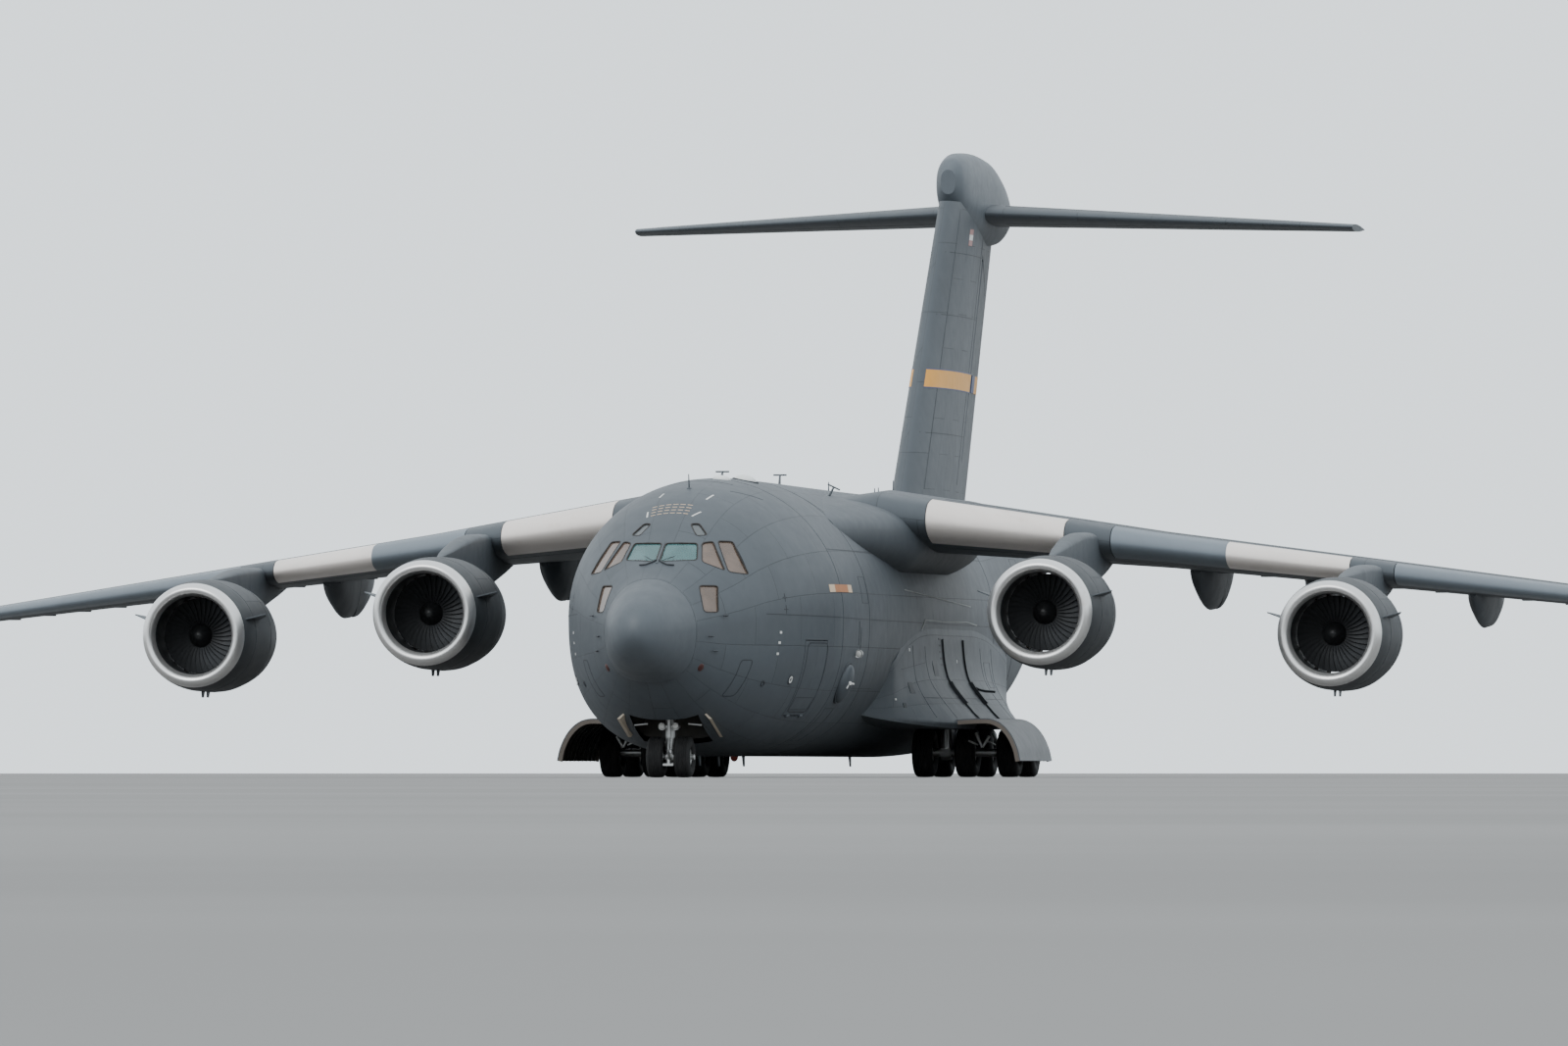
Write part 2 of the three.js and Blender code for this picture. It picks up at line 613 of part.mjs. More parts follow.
// A hinge knuckle about a pivot line, and the room it turns in
function knuckle(from, to, radius) {
  const [start, end] = [new THREE.Vector3(...from), new THREE.Vector3(...to)];
  const spare = end.clone().sub(start).setLength(DOOR_GAP / 2);
  const roomRadius = (radius + GAP) / Math.cos(Math.PI / KNUCKLE_SIDES);
  return {
    body: cylinder(radius, from, to, KNUCKLE_SIDES),
    room: cylinder(roomRadius, start.sub(spare), end.add(spare), KNUCKLE_SIDES, Math.PI / KNUCKLE_SIDES),
  };
}

// A point on the round nose about a control surface's hinge line: a point of a circle square to
// the line, moved along the line into the plane of the section
function nosePoint(shape, { start, along, aft, up }, span, hinge, radius, angle) {
  const outwards = new THREE.Vector3(...shape.place(1, 0, 0));
  const rise = Math.sign(up.dot(new THREE.Vector3(...shape.place(0, 0, 1)))) * radius * Math.sin(angle);
  const spoke = aft.clone().multiplyScalar(radius * Math.cos(angle)).addScaledVector(up, rise);
  const slide = -spoke.dot(outwards) / along.dot(outwards);
  const middle = sectionPoint(shape, span, hinge, midHeight(shape, span, hinge));
  const centre = start.clone().addScaledVector(along, middle.sub(start).dot(along));
  return centre.add(spoke).addScaledVector(along, slide);
}

function noseRadius(shape, span, hinge) {
  return (skinHeight(shape, span, hinge, 'upper') - skinHeight(shape, span, hinge, 'lower')) / 2;
}

// A control surface, the room for it in the fixed surface, and the ribs there that carry its nose
function control(shape, { inner, outer, hinge }) {
  const frame = hingeFrame(shape, inner, outer, hinge);
  const ends = [inner - NOSE_OVERLAP, outer + NOSE_OVERLAP];
  const form = loft(ends.map((span) => {
    const radius = noseRadius(shape, span, hinge);
    const nose = [0, 1, 2, 3, 4, 5, 6].map((step) => {
      return nosePoint(shape, frame, span, hinge, radius, Math.PI / 2 + (step / 6) * Math.PI);
    });
    const corners = [[0.86, 'lower'], [1, 'lower'], [1, 'upper'], [0.86, 'upper']];
    const tail = corners.map(([fraction, side]) => {
      return sectionPoint(shape, span, fraction, skinHeight(shape, span, fraction, side));
    });
    return [...nose, ...tail];
  }));
  const noseRoom = loft(ends.map((span) => {
    const radius = (noseRadius(shape, span, hinge) + GAP) / Math.cos(Math.PI / RIB.sides);
    return Array.from({ length: RIB.sides }, (_, i) => {
      return nosePoint(shape, frame, span, hinge, radius, ((i + 0.5) / RIB.sides) * 2 * Math.PI);
    });
  }));
  const reach = noseRadius(shape, inner, hinge) + DOOR_GAP;
  const ribs = joined(RIB.shares.map((share) => {
    const back = RIB.back * noseRadius(shape, inner + share * (outer - inner), hinge);
    const geometry = new THREE.BoxGeometry(RIB.width, reach + 1 - back, 2 * CUT_REACH);
    geometry.translate(share * frame.length, (-reach - 1 - back) / 2, 0);
    return toSolid(geometry.applyMatrix4(frame.matrix));
  })).subtract(noseRoom);
  return {
    moving: form.intersect(hingeBlock(frame, 1, CUT_REACH, 0)),
    room: hingeBlock(frame, reach, CUT_REACH, DOOR_GAP).subtract(ribs),
  };
}

// The scene
const aircraft = new THREE.Group();

function place(name, solid, look, parent = aircraft) {
  const mesh = new THREE.Mesh(toGeometry(solid), look());
  mesh.name = name;
  parent.add(mesh);
  return mesh;
}

function placePair(name, port, look) {
  place(`${name}_port`, port, look);
  place(`${name}_starboard`, mirrored(port), look);
}

// Fuselage
function makeRadome() {
  place('radome', hullSolid(0, RADOME_JOINT - GAP), COMPOSITE);
}

// A block through the wall where the crew door is, its ends square to the door's hinge
function crewDoorBlock(grow) {
  const { x, station, turn, length, low, high } = CREW_DOOR;
  const { inside, outside } = CREW_DOOR_REACH;
  const geometry = new THREE.BoxGeometry(inside + outside, length + 2 * grow, high - low + 2 * grow);
  geometry.translate((outside - inside) / 2, 0, (low + high) / 2);
  return toSolid(geometry.rotateZ(-turn).translate(x, station, 0));
}

function crewHingePoint(distance) {
  const { x, station, turn } = CREW_DOOR;
  return [x + distance * Math.sin(turn), station + distance * Math.cos(turn), CREW_DOOR_HINGE.height];
}

function makeForwardFuselage() {
  const shell = hullShell(RADOME_JOINT, FORWARD_JOINT - GAP, RADOME_JOINT - 1, FORWARD_JOINT + 1);
  const { half, front, back, roof, wall } = NOSE_BAY;
  const bayBlock = box([-half - wall, front - wall, 0], [half + wall, back + wall, roof + wall])
    .intersect(hullSolid(RADOME_JOINT, FORWARD_JOINT));
  const bay = box([-half, front, -1], [half, back, roof]);
  const station = NOSE_WHEEL.station;
  const sleeveTop = [0, station, roof + wall / 2];
  const sleeve = cylinder(NOSE_LEG.sleeve, [0, station, NOSE_LEG.sleeveLow], sleeveTop, 20);
  const bore = cylinder(NOSE_LEG.bore, [0, station, 0], [0, station, roof + GAP], 20, Math.PI / 20);
  const brace = cylinder(NOSE_BRACE.radius, NOSE_BRACE.from, NOSE_BRACE.to, 8);
  const body = shell.add(bayBlock).subtract(bay).add(sleeve).add(brace).subtract(bore);
  const { near, far, radius } = CREW_DOOR_HINGE;
  const knuckles = [1, -1].map((side) => {
    return knuckle(crewHingePoint(side * near), crewHingePoint(side * far), radius);
  });
  const holes = joined([crewDoorBlock(DOOR_GAP), allWindows(0), ...knuckles.map(({ room }) => room)]);
  place('forward_fuselage', body.subtract(holes), PAINT);
  const door = shell.intersect(crewDoorBlock(0));
  place('crew_door', joined([door, ...knuckles.map((hinge) => hinge.body)]), PAINT);
}

function makeCockpit() {
  const { front, back, bandLow } = COCKPIT;
  const wallInside = WALL + GAP;
  const behindBand = WALL + PANE_BAND;
  const pane = forwardSlice(front, back, GLASS_DEPTH)
    .subtract(forwardSlice(front - 1, back + 1, WALL + PANE_BAND / 2));
  const band = forwardSlice(front, back, wallInside)
    .subtract(forwardSlice(front - 1, back + 1, behindBand))
    .intersect(box([-HALF_SPAN, front, bandLow], [HALF_SPAN, back, LENGTH]));
  place('cockpit_glazing', band.add(pane.intersect(allWindows(2 * GAP))), GLASS);
  const floorLow = DECK.top - DECK.depth;
  const room = forwardSlice(front, FORWARD_JOINT, behindBand + 4 * GAP)
    .add(forwardSlice(back + 4 * GAP, FORWARD_JOINT, wallInside));
  const floor = box([-HALF_SPAN, DECK.front, floorLow], [HALF_SPAN, DECK.back, DECK.top]);
  const bulkhead = box([-HALF_SPAN, DECK.back - DECK.depth, floorLow], [HALF_SPAN, DECK.back, LENGTH]);
  const { doorHalf, doorHigh } = DECK;
  const doorway = box([-doorHalf, DECK.back - 1, DECK.top], [doorHalf, DECK.back + 1, doorHigh]);
  const panel = sidePrism(PANEL.outline, -PANEL.half, PANEL.half);
  const seats = [-SEAT.x, SEAT.x].map((x) => joined([
    box([x - SEAT.half, SEAT.front, floorLow], [x + SEAT.half, SEAT.back, SEAT.top]),
    sidePrism(SEAT_BACK, x - SEAT.half, x + SEAT.half),
  ]));
  const deck = joined([floor, bulkhead.subtract(doorway), panel, ...seats]);
  place('flight_deck', deck.intersect(room), DARK);
}

function makeCentreFuselage() {
  const shell = hullShell(FORWARD_JOINT, RAMP_JOINT - GAP, FORWARD_JOINT - 1, RAMP_JOINT + 1);
  place('centre_fuselage', shell, PAINT);
  const end = RAMP_JOINT - 0.05;
  const slab = box([-HALF_SPAN, CARGO_FLOOR_START, FLOOR_TOP - FLOOR_DEPTH], [HALF_SPAN, end, FLOOR_TOP]);
  const doorEnds = [-1, 1].map((side) => crewHingePoint(side * (CREW_DOOR.length / 2 + 2 * DOOR_GAP)));
  const doorRoom = crewDoorBlock(2 * DOOR_GAP)
    .subtract(forwardSlice(CARGO_FLOOR_START, FORWARD_JOINT, WALL + DOOR_GAP))
    .add(cylinder(CREW_DOOR_HINGE.sweep, ...doorEnds, KNUCKLE_SIDES));
  const inside = hullSolid(CARGO_FLOOR_START - 1, end + 1, WALL + GAP);
  place('cargo_floor', slab.intersect(inside).subtract(doorRoom), STEEL);
}

const rampOutline = (grow) => [
  [RAMP.front - grow, 0],
  [RAMP.back + grow, 0],
  [RAMP.back + grow, 1.45],
  [RAMP.back + grow - RAMP.bevel, RAMP.tailTop + grow],
  [RAMP.front - grow, RAMP.top + grow],
];

const cargoDoorOutline = ({ front, back, frontHalf, backHalf }, grow) => [
  [-frontHalf - grow, front - grow],
  [frontHalf + grow, front - grow],
  [backHalf + grow, back + grow],
  [-backHalf - grow, back + grow],
];

function strake() {
  const { x, thick, front, back } = STRAKE;
  const { low } = hullAt(back);
  const outline = STRAKE_OUTLINE.map(([station, height]) => [station, low + height]);
  return sidePrism(outline, x - thick / 2, x + thick / 2).subtract(hullSolid(front - 1, HULL_END, WALL));
}

function makeAftFuselage() {
  const shell = hullShell(RAMP_JOINT, HULL_END, RAMP_JOINT - 1, INNER_END);
  const rampHole = sidePrism(rampOutline(DOOR_GAP), -RAMP.half - DOOR_GAP, RAMP.half + DOOR_GAP)
    .add(box([-RAMP.half - DOOR_GAP, RAMP_JOINT - 1, 0], [RAMP.half + DOOR_GAP, RAMP.front + 1, RAMP.top]));
  const doorHole = planPrism(cargoDoorOutline(CARGO_DOOR, DOOR_GAP), 0, CARGO_DOOR.high + DOOR_GAP)
    .add(box([-CARGO_DOOR.frontHalf, RAMP.back - 0.2, 0], [CARGO_DOOR.frontHalf, CARGO_DOOR.front, 3]));
  const { station, height, radius, from, to } = CARGO_DOOR_HINGE;
  const knuckles = [1, -1].map((side) => {
    return knuckle([side * from, station, height], [side * to, station, height], radius);
  });
  const holes = joined([rampHole, doorHole, ...knuckles.map(({ room }) => room)]);
  place('aft_fuselage', joined([shell.subtract(holes), strake(), mirrored(strake())]), PAINT);
  const ramp = hullSolid(RAMP_JOINT, RAMP.back + 1)
    .intersect(sidePrism(rampOutline(0), -RAMP.half, RAMP.half));
  const barrelEnds = [-1, 1].map((side) => [side * RAMP_HINGE.half, RAMP_HINGE.station, RAMP_HINGE.height]);
  const barrel = cylinder(RAMP_HINGE.station - RAMP_JOINT - GAP, ...barrelEnds, KNUCKLE_SIDES);
  place('cargo_ramp', ramp.add(barrel), PAINT);
  const door = shell.intersect(planPrism(cargoDoorOutline(CARGO_DOOR, 0), 0, CARGO_DOOR.high));
  place('cargo_door', joined([door, ...knuckles.map((hinge) => hinge.body)]), PAINT);
}

// Gear pods with their wheel wells, and the open doors
function podSolid(grow = 0) {
  return loft(POD.map(([station, reach, top, bottom]) => {
    const start = Math.min(POD_HULL_X, reach);
    const outer = POD_PROFILE.map(([down, out]) => {
      const x = start + (reach - start) * out + grow;
      return new THREE.Vector3(x, station, top + (bottom - top) * down - (down === 1 ? grow : 0));
    });
    const inner = [bottom - grow, top].map((z) => new THREE.Vector3(POD_INNER_X, station, z));
    return [...outer, ...inner];
  }));
}

function gearDoor() {
  const outer = GEAR_DOOR.map(([x, z]) => [x, z]);
  const inner = GEAR_DOOR.map(([x, z], i) => {
    const [x1, z1] = GEAR_DOOR[Math.min(i + 1, GEAR_DOOR.length - 1)];
    const [x0, z0] = GEAR_DOOR[Math.max(i - 1, 0)];
    const length = Math.hypot(x1 - x0, z1 - z0);
    return [x + ((z1 - z0) / length) * GEAR_DOOR_THICK, z - ((x1 - x0) / length) * GEAR_DOOR_THICK];
  }).reverse();
  const rings = GEAR_DOOR_STATIONS.map((station) => {
    return [...outer, ...inner].map(([x, z]) => new THREE.Vector3(x, station, z));
  });
  return loft(rings);
}

function makePods() {
  const hull = hullSolid(BARREL_START, 40, -GAP);
  const well = box([WELL.inner, WELL.front, 0], [WELL.outer, WELL.back, WELL.roof])
    .add(box([WELL.inner, WELL.front, 0], [WELL.mouth, WELL.back, WELL.rim]));
  placePair('gear_pod', podSolid().subtract(hull).subtract(well), PAINT);
  const rim = podSolid(GAP).subtract(well);
  placePair('main_gear_door', gearDoor().subtract(rim).subtract(hull), PRIMER);
}

// Wings and their moving surfaces
function flapFairing([x, depth, half, flapIndex]) {
  const [, inner, outer, front] = FLAPS[flapIndex];
  const [start, end] = hingeLine(wingShape, inner, outer, front);
  const hingeStation = start.y + ((x - start.x) / (end.x - start.x)) * (end.y - start.y);
  const { lead, chord } = sectionAt(WING, x);
  return loft(FAIRING_FORM.map(([distance, drop, width]) => {
    const station = hingeStation + distance;
    const fraction = Math.min(1, (station - lead) / chord);
    const under = sectionPoint(wingShape, x, fraction, skinHeight(wingShape, x, fraction, 'lower')).z;
    const low = -depth * drop;
    const portCorners = [[1, 0.12], [0.85, 0.45 * low], [0.22, low]];
    const corners = [...portCorners, ...portCorners.map(([side, z]) => [-side, z]).reverse()];
    return corners.map(([side, z]) => new THREE.Vector3(x + side * half * width, station, under + z));
  }));
}

// The knuckle in a fairing on which a flap turns
function flapKnuckle({ start, along, up }, x, drop) {
  const distance = (x - start.x + drop * up.x) / along.x;
  const pivot = start.clone().addScaledVector(along, distance).addScaledVector(up, -drop);
  const ends = [-1, 1].map((side) => pivot.clone().addScaledVector(along, side * FLAP_KNUCKLE.half));
  return knuckle(...ends, FLAP_KNUCKLE.radius);
}

// What the flap's own fairings lack below the pivot, so that they swing clear of the fixed ones
function flapRelief({ length, matrix }, drop) {
  const points = [[-1, -drop], [0, -drop], [FLAP_REACH, -drop - FLAP_REACH], [-1, -drop - FLAP_REACH]];
  return toSolid(toGeometry(sidePrism(points, -1, length + 1)).applyMatrix4(matrix));
}

function winglet() {
  const { low, high, cant } = WINGLET;
  const root = WING_TIP + 0.05;
  const outerFace = WINGLET_ROWS[WINGLET_ROWS.length - 1][3] / 2;
  return loft(WINGLET_ROWS.map(([share, lead, chord, thick]) => {
    const x = root + share * (HALF_SPAN - root - outerFace) * (1 - cant * (1 - share));
    const z = low + share * (high - low);
    const side = (sign, rows) => rows.map(([fraction, height]) => {
      return new THREE.Vector3(x + sign * height * thick, lead + fraction * chord, z);
    });
    return [...side(1, TAIL_PROFILE), ...side(-1, TAIL_PROFILE.slice(1).reverse())];
  }));
}

function makeWings() {
  const whole = liftSolid(wingShape, WING_SPANS);
  const grown = liftSolid(wingShape, WING_SPANS, 0.01);
  const lowered = (drop) => toSolid(toGeometry(whole).translate(0, 0, -drop));
  const slatPlan = (inner, outer, side, behind) => {
    const edge = hingeLine(wingShape, inner - side, outer + side, SLAT_CHORD);
    return [
      [edge[0].x, edge[0].y + behind],
      [edge[1].x, edge[1].y + behind],
      [edge[1].x, edge[1].y - CUT_REACH],
      [edge[0].x, edge[0].y - CUT_REACH],
    ];
  };
  let wing = joined([whole, winglet()]);
  SLATS.forEach(([name, inner, outer]) => {
    const slat = whole.intersect(planPrism(slatPlan(inner, outer, 0, 0), 0, CUT_TOP));
    placePair(`slat_${name}`, slat, BARE_METAL);
    wing = wing.subtract(planPrism(slatPlan(inner, outer, DOOR_GAP, GAP), 0, CUT_TOP));
  });
  const fairings = FLAP_FAIRINGS.map((row) => flapFairing(row));
  wing = joined([wing, ...fairings]);
  FLAPS.forEach(([name, inner, outer, front, drop], index) => {
    const hinge = hingeFrame(wingShape, inner, outer, front);
    const carried = fairings.filter((_, i) => FLAP_FAIRINGS[i][3] === index);
    const carriers = FLAP_FAIRINGS.filter((row) => row[3] === index);
    const knuckles = carriers.map(([x]) => flapKnuckle(hinge, x, drop));
    const flap = joined([whole, ...carried])
      .intersect(hingeBlock(hinge, 0, FLAP_REACH, 0))
      .subtract(flapRelief(hinge, drop));
    placePair(`flap_${name}`, joined([flap, ...knuckles.map(({ body }) => body)]), COMPOSITE);
    wing = wing.subtract(hingeBlock(hinge, DOOR_GAP, FLAP_REACH, DOOR_GAP));
    wing = wing.subtract(joined(knuckles.map(({ room }) => room)));
  });
  const spoilerPlan = (side, ahead, behind) => {
    const [inner, outer] = [SPOILER.inner - side, SPOILER.outer + side];
    const [start, end] = hingeLine(wingShape, inner, outer, SPOILER.front);
    const [backStart, backEnd] = hingeLine(wingShape, inner, outer, SPOILER.back);
    return [
      [start.x, start.y - ahead],
      [end.x, end.y - ahead],
      [backEnd.x, backEnd.y + behind],
      [backStart.x, backStart.y + behind],
    ];
  };
  const spoilerCut = planPrism(spoilerPlan(0, 0, 0), 0, CUT_TOP);
  const spoilerBay = planPrism(spoilerPlan(DOOR_GAP, SPOILER.ahead, SPOILER.behind), 0, CUT_TOP);
  placePair('spoiler', whole.intersect(spoilerCut).subtract(lowered(SPOILER.skin)), COMPOSITE);
  wing = wing.subtract(grown.intersect(spoilerBay).subtract(lowered(SPOILER.skin + GAP)));
  const aileron = control(wingShape, AILERON);
  placePair('aileron', aileron.moving, COMPOSITE);
  wing = wing.subtract(aileron.room);
  placePair('wing', wing.subtract(hullSolid(BARREL_START, WING_ROOT_END, -GAP)), PAINT);
}

function superRing(station, low, high, half, power, sides) {
  return Array.from({ length: sides }, (_, i) => {
    const angle = (i / sides) * Math.PI * 2;
    const x = half * Math.sign(Math.cos(angle)) * Math.abs(Math.cos(angle)) ** (2 / power);
    const z = ((high - low) / 2) * Math.sign(Math.sin(angle)) * Math.abs(Math.sin(angle)) ** (2 / power);
    return new THREE.Vector3(x, station, (high + low) / 2 + z);
  });
}

function makeWingFairing() {
  const form = loft(WING_FAIRING.map(([station, low, high, half]) => {
    return superRing(station, low, high, half, WING_FAIRING_POWER, 20);
  }));
  const wingHole = liftSolid(wingShape, WING_SPANS, GAP);
  const portHalf = box([0, BARREL_START, 0], [HALF_SPAN, WING_ROOT_END, CUT_TOP]);
  const holes = hullSolid(BARREL_START, WING_ROOT_END, -GAP).add(wingHole);
  placePair('wing_fairing', form.intersect(portHalf).subtract(holes), COMPOSITE);
}

// Engines: a cowl with the core held by guide vanes, the fan on its shaft, and the pylon
function nacelleSolid() {
  const cowl = turned([...COWL_OUTSIDE, ...COWL_INSIDE, COWL_OUTSIDE[0]], ENGINE_SIDES);
  const core = turned([...CORE_FRONT, ...CORE_BACK, ...CORE_END], ENGINE_SIDES);
  const { count, front, back, inner, outer, thick } = GUIDE_VANES;
  const vane = new THREE.BoxGeometry(thick, back - front, outer - inner);
  vane.translate(0, (front + back) / 2, (inner + outer) / 2);
  const vanes = Array.from({ length: count }, (_, i) => {
    return toSolid(vane.clone().rotateY((i / count) * Math.PI * 2));
  });
  return joined([cowl, core, ...vanes]);
}

function fanSolid() {
  const { radius, front, back, hub, shaft, shaftEnd } = FAN;
  const { count, twist } = FAN_BLADES;
  const nose = SPINNER.map(([ahead, out]) => [front + ahead, out]);
  const body = [[back, hub + 0.04], [back, shaft], [shaftEnd, shaft], [shaftEnd, 0]];
  const spinner = turned([...nose, ...body], 14);
  const pitch = (2 * Math.PI) / count;
  // Share of the pitch and radius of one blade's corners
  const blade = [[-0.12, hub - 0.03], [-0.03, radius], [0.03, radius], [0.12, hub - 0.03]];
  const ring = (station, turn) => Array.from({ length: count }, (_, i) => blade.map(([share, r]) => {
    const angle = (i + share) * pitch + turn;
    return new THREE.Vector3(r * Math.cos(angle), station, r * Math.sin(angle));
  })).flat();
  return spinner.add(loft([ring(front, 0), ring(back - 0.03, twist)]));
}

// The room that the pylon leaves for the cowl and for the core behind it
function nacelleClearance() {
  const grown = ([along, radius]) => [along, radius + GAP];
  const back = COWL_OUTSIDE[COWL_OUTSIDE.length - 1][0] + GAP;
  const end = CORE_BACK[CORE_BACK.length - 1][0];
  const [widest, widestRadius] = CORE_FRONT[CORE_FRONT.length - 1];
  const [narrow, narrowRadius] = CORE_BACK[0];
  const radius = widestRadius + ((narrowRadius - widestRadius) * (back - widest)) / (narrow - widest);
  const profile = [[0, 0], ...COWL_OUTSIDE.map(grown), [back, COWL_OUTSIDE[0][1]], grown([back, radius]),
    ...CORE_BACK.map(grown), [end, 0]];
  return turned(profile, ENGINE_SIDES);
}

function pylonSolid(x, station, axis, nacelle) {
  const rise = sectionPoint(wingShape, x, 0, 0).z - axis;
  const rings = PYLON.map(([behind, low, share, half]) => {
    const high = PYLON[0][1] + 0.03 + share * (rise + 0.14 - PYLON[0][1]);
    const y = station + behind;
    const crown = [[1, low], [1, high - PYLON_CROWN * share - 0.02], [0.6, high - 0.02], [0, high]];
    const mirrorSide = crown.slice(0, -1).map(([side, z]) => [-side, z]).reverse();
    return [...crown, ...mirrorSide].map(([side, z]) => new THREE.Vector3(x + side * half, y, axis + z));
  });
  return loft(rings).subtract(nacelle).subtract(liftSolid(wingShape, WING_SPANS, GAP));
}

function makeEngines() {
  const nacelle = nacelleSolid();
  const clearance = toGeometry(nacelleClearance());
  const clearNacelle = (x, station, axis) => toSolid(clearance.clone().translate(x, station, axis));
  const fan = fanSolid();
  ENGINES.forEach(([name, x, station, axis]) => {
    const pylon = pylonSolid(x, station, axis, clearNacelle(x, station, axis));
    placePair(`pylon_${name}`, pylon, PAINT);
    [['port', 1], ['starboard', -1]].forEach(([side, sign]) => {
      const engine = new THREE.Group();
      engine.position.set(sign * x, station, axis);
      aircraft.add(engine);
      place(`nacelle_${name}_${side}`, nacelle, PAINT, engine);
      place(`fan_${name}_${side}`, fan, DARK, engine);
    });
  });
}

// Wheels stand on a flat of their many sides, so their axles are a little under the radius up
const axleHeight = (radius) => radius * Math.cos(Math.PI / WHEEL_SIDES);

// Wheels and their axle, turned as one body round the axle
function wheelSet(places, station, { radius, width }, axle) {
  const tyre = (x) => [
    [x - 0.5 * width, axle],
    ...TYRE_OUTLINE.map(([across, out]) => [x + across * width, out * radius]),
    [x + 0.5 * width, axle],
  ];
  const first = Math.min(...places) - 0.5 * width - AXLE.stub;
  const last = Math.max(...places) + 0.5 * width + AXLE.stub;
  const profile = [[first, 0], [first, axle], ...places.flatMap(tyre), [last, axle], [last, 0]];
  const points = profile.map(([across, out]) => new THREE.Vector2(out, across));
  const geometry = new THREE.LatheGeometry(points, WHEEL_SIDES, Math.PI / WHEEL_SIDES);
  geometry.rotateZ(-Math.PI / 2);
  return toSolid(geometry.translate(0, station, axleHeight(radius)));
}

function bearing(x, station, height, axle, width) {
  const from = [x - width / 2, station, height];
  const to = [x + width / 2, station, height];
  return {
    body: cylinder(axle * AXLE.bearing + AXLE.boss, from, to, 12),
    hole: cylinder(axle * AXLE.clearance, [from[0] - 1, station, height], [to[0] + 1, station, height],
      AXLE.sides),
  };
}

function makeNoseGear() {
  const { station, x, radius } = NOSE_WHEEL;
  const height = axleHeight(radius);
  const end = bearing(0, station, height, AXLE.nose, 0.2);
  const { height: lampHeight, x: lampX, ahead, back, barHalf, barDepth } = NOSE_LAMP;
  const lamps = [-lampX, lampX].map((side) => {
    const lampEnds = [ahead, back].map((distance) => [side, station - distance, lampHeight]);
    return cylinder(NOSE_LAMP.radius, ...lampEnds, 10);
  });
  const { height: towHeight, armHalf, arm, barHalf: towHalf, barFront, barBack } = TOW_FITTING;
  const leg = joined([
    cylinder(NOSE_PISTON.radius, [0, station, height], [0, station, NOSE_PISTON.top], 10),
    cylinder(NOSE_LEG.radius, [0, station, NOSE_LEG.low], [0, station, NOSE_LEG.top], 20),
    end.body,
    box([-barHalf, station - barDepth, lampHeight - 0.03], [barHalf, station, lampHeight + 0.03]),
    ...lamps,
    box([-armHalf, station - arm, towHeight - 0.02], [armHalf, station - 0.05, height - 0.06]),
    box([-towHalf, station - barFront, towHeight - 0.025], [towHalf, station - barBack, towHeight + 0.025]),
  ]).subtract(end.hole);
  place('nose_gear_leg', leg, STEEL);
  place('nose_wheels', wheelSet([-x, x], station, NOSE_WHEEL, AXLE.nose), TYRE);
  const { hinge, free, thick } = NOSE_DOOR_X;
  const door = loft(NOSE_DOOR.map(([y, high, low]) => {
    const corners = [[hinge, high], [hinge + thick, high], [free + thick, low], [free, low]];
    return corners.map(([px, pz]) => new THREE.Vector3(px, y, pz));
  }));
  placePair('nose_gear_door', door.subtract(hullSolid(RADOME_JOINT, FORWARD_JOINT, -GAP)), PRIMER);
}

function makeMainGear() {
  const { stations, x, radius } = MAIN_WHEEL;
  const height = axleHeight(radius);
  const { x: legX, half, seatHalf, beamLow, beamHigh, over } = MAIN_LEG;
  const [front, rear] = [stations[0] - over, stations[1] + over];
  const ends = stations.map((station) => bearing(legX, station, height, AXLE.main, 0.26));
  const beam = box([legX - half, front, beamLow], [legX + half, rear, beamHigh]);
  const seat = box([legX - seatHalf, front, beamHigh - 0.05], [legX + seatHalf, rear, WELL.roof - GAP]);
  const struts = stations.map((station) => {
    return cylinder(MAIN_LEG.radius, [legX, station, height], [legX, station, beamLow + 0.1], 12);
  });
  const braces = stations.map((station, i) => {
    const inwards = i === 0 ? 1 : -1;
    const from = [legX, station + inwards * MAIN_BRACE.near, MAIN_BRACE.low];
    return cylinder(MAIN_BRACE.radius, from, [legX, station + inwards * MAIN_BRACE.far, beamLow + 0.05], 8);
  });
  const legs = ends.reduce((sum, end) => sum.subtract(end.hole), joined([
    beam, seat, ...struts, ...braces, ...ends.map((end) => end.body),
  ]));
  placePair('main_gear_legs', legs, STEEL);
  stations.forEach((station, i) => {
    placePair(`main_wheels_${['front', 'rear'][i]}`, wheelSet(x, station, MAIN_WHEEL, AXLE.main), TYRE);
  });
}

// Tail: the fin is a hollow box, open where it stands on the fuselage
function finHollow() {
  return loft([FIN[0][0] - 0.5, FIN_HOLLOW.top].map((span) => {
    const wall = (fraction, side, sign) => {
      const height = skinHeight(finShape, span, fraction, side) - sign * FIN_HOLLOW.wall;
      return sectionPoint(finShape, span, fraction, height);
    };
    const right = FIN_HOLLOW.fractions.map((fraction) => wall(fraction, 'upper', 1));
    const left = [...FIN_HOLLOW.fractions].reverse().map((fraction) => wall(fraction, 'lower', -1));
    return [...right, ...left];
  }));
}

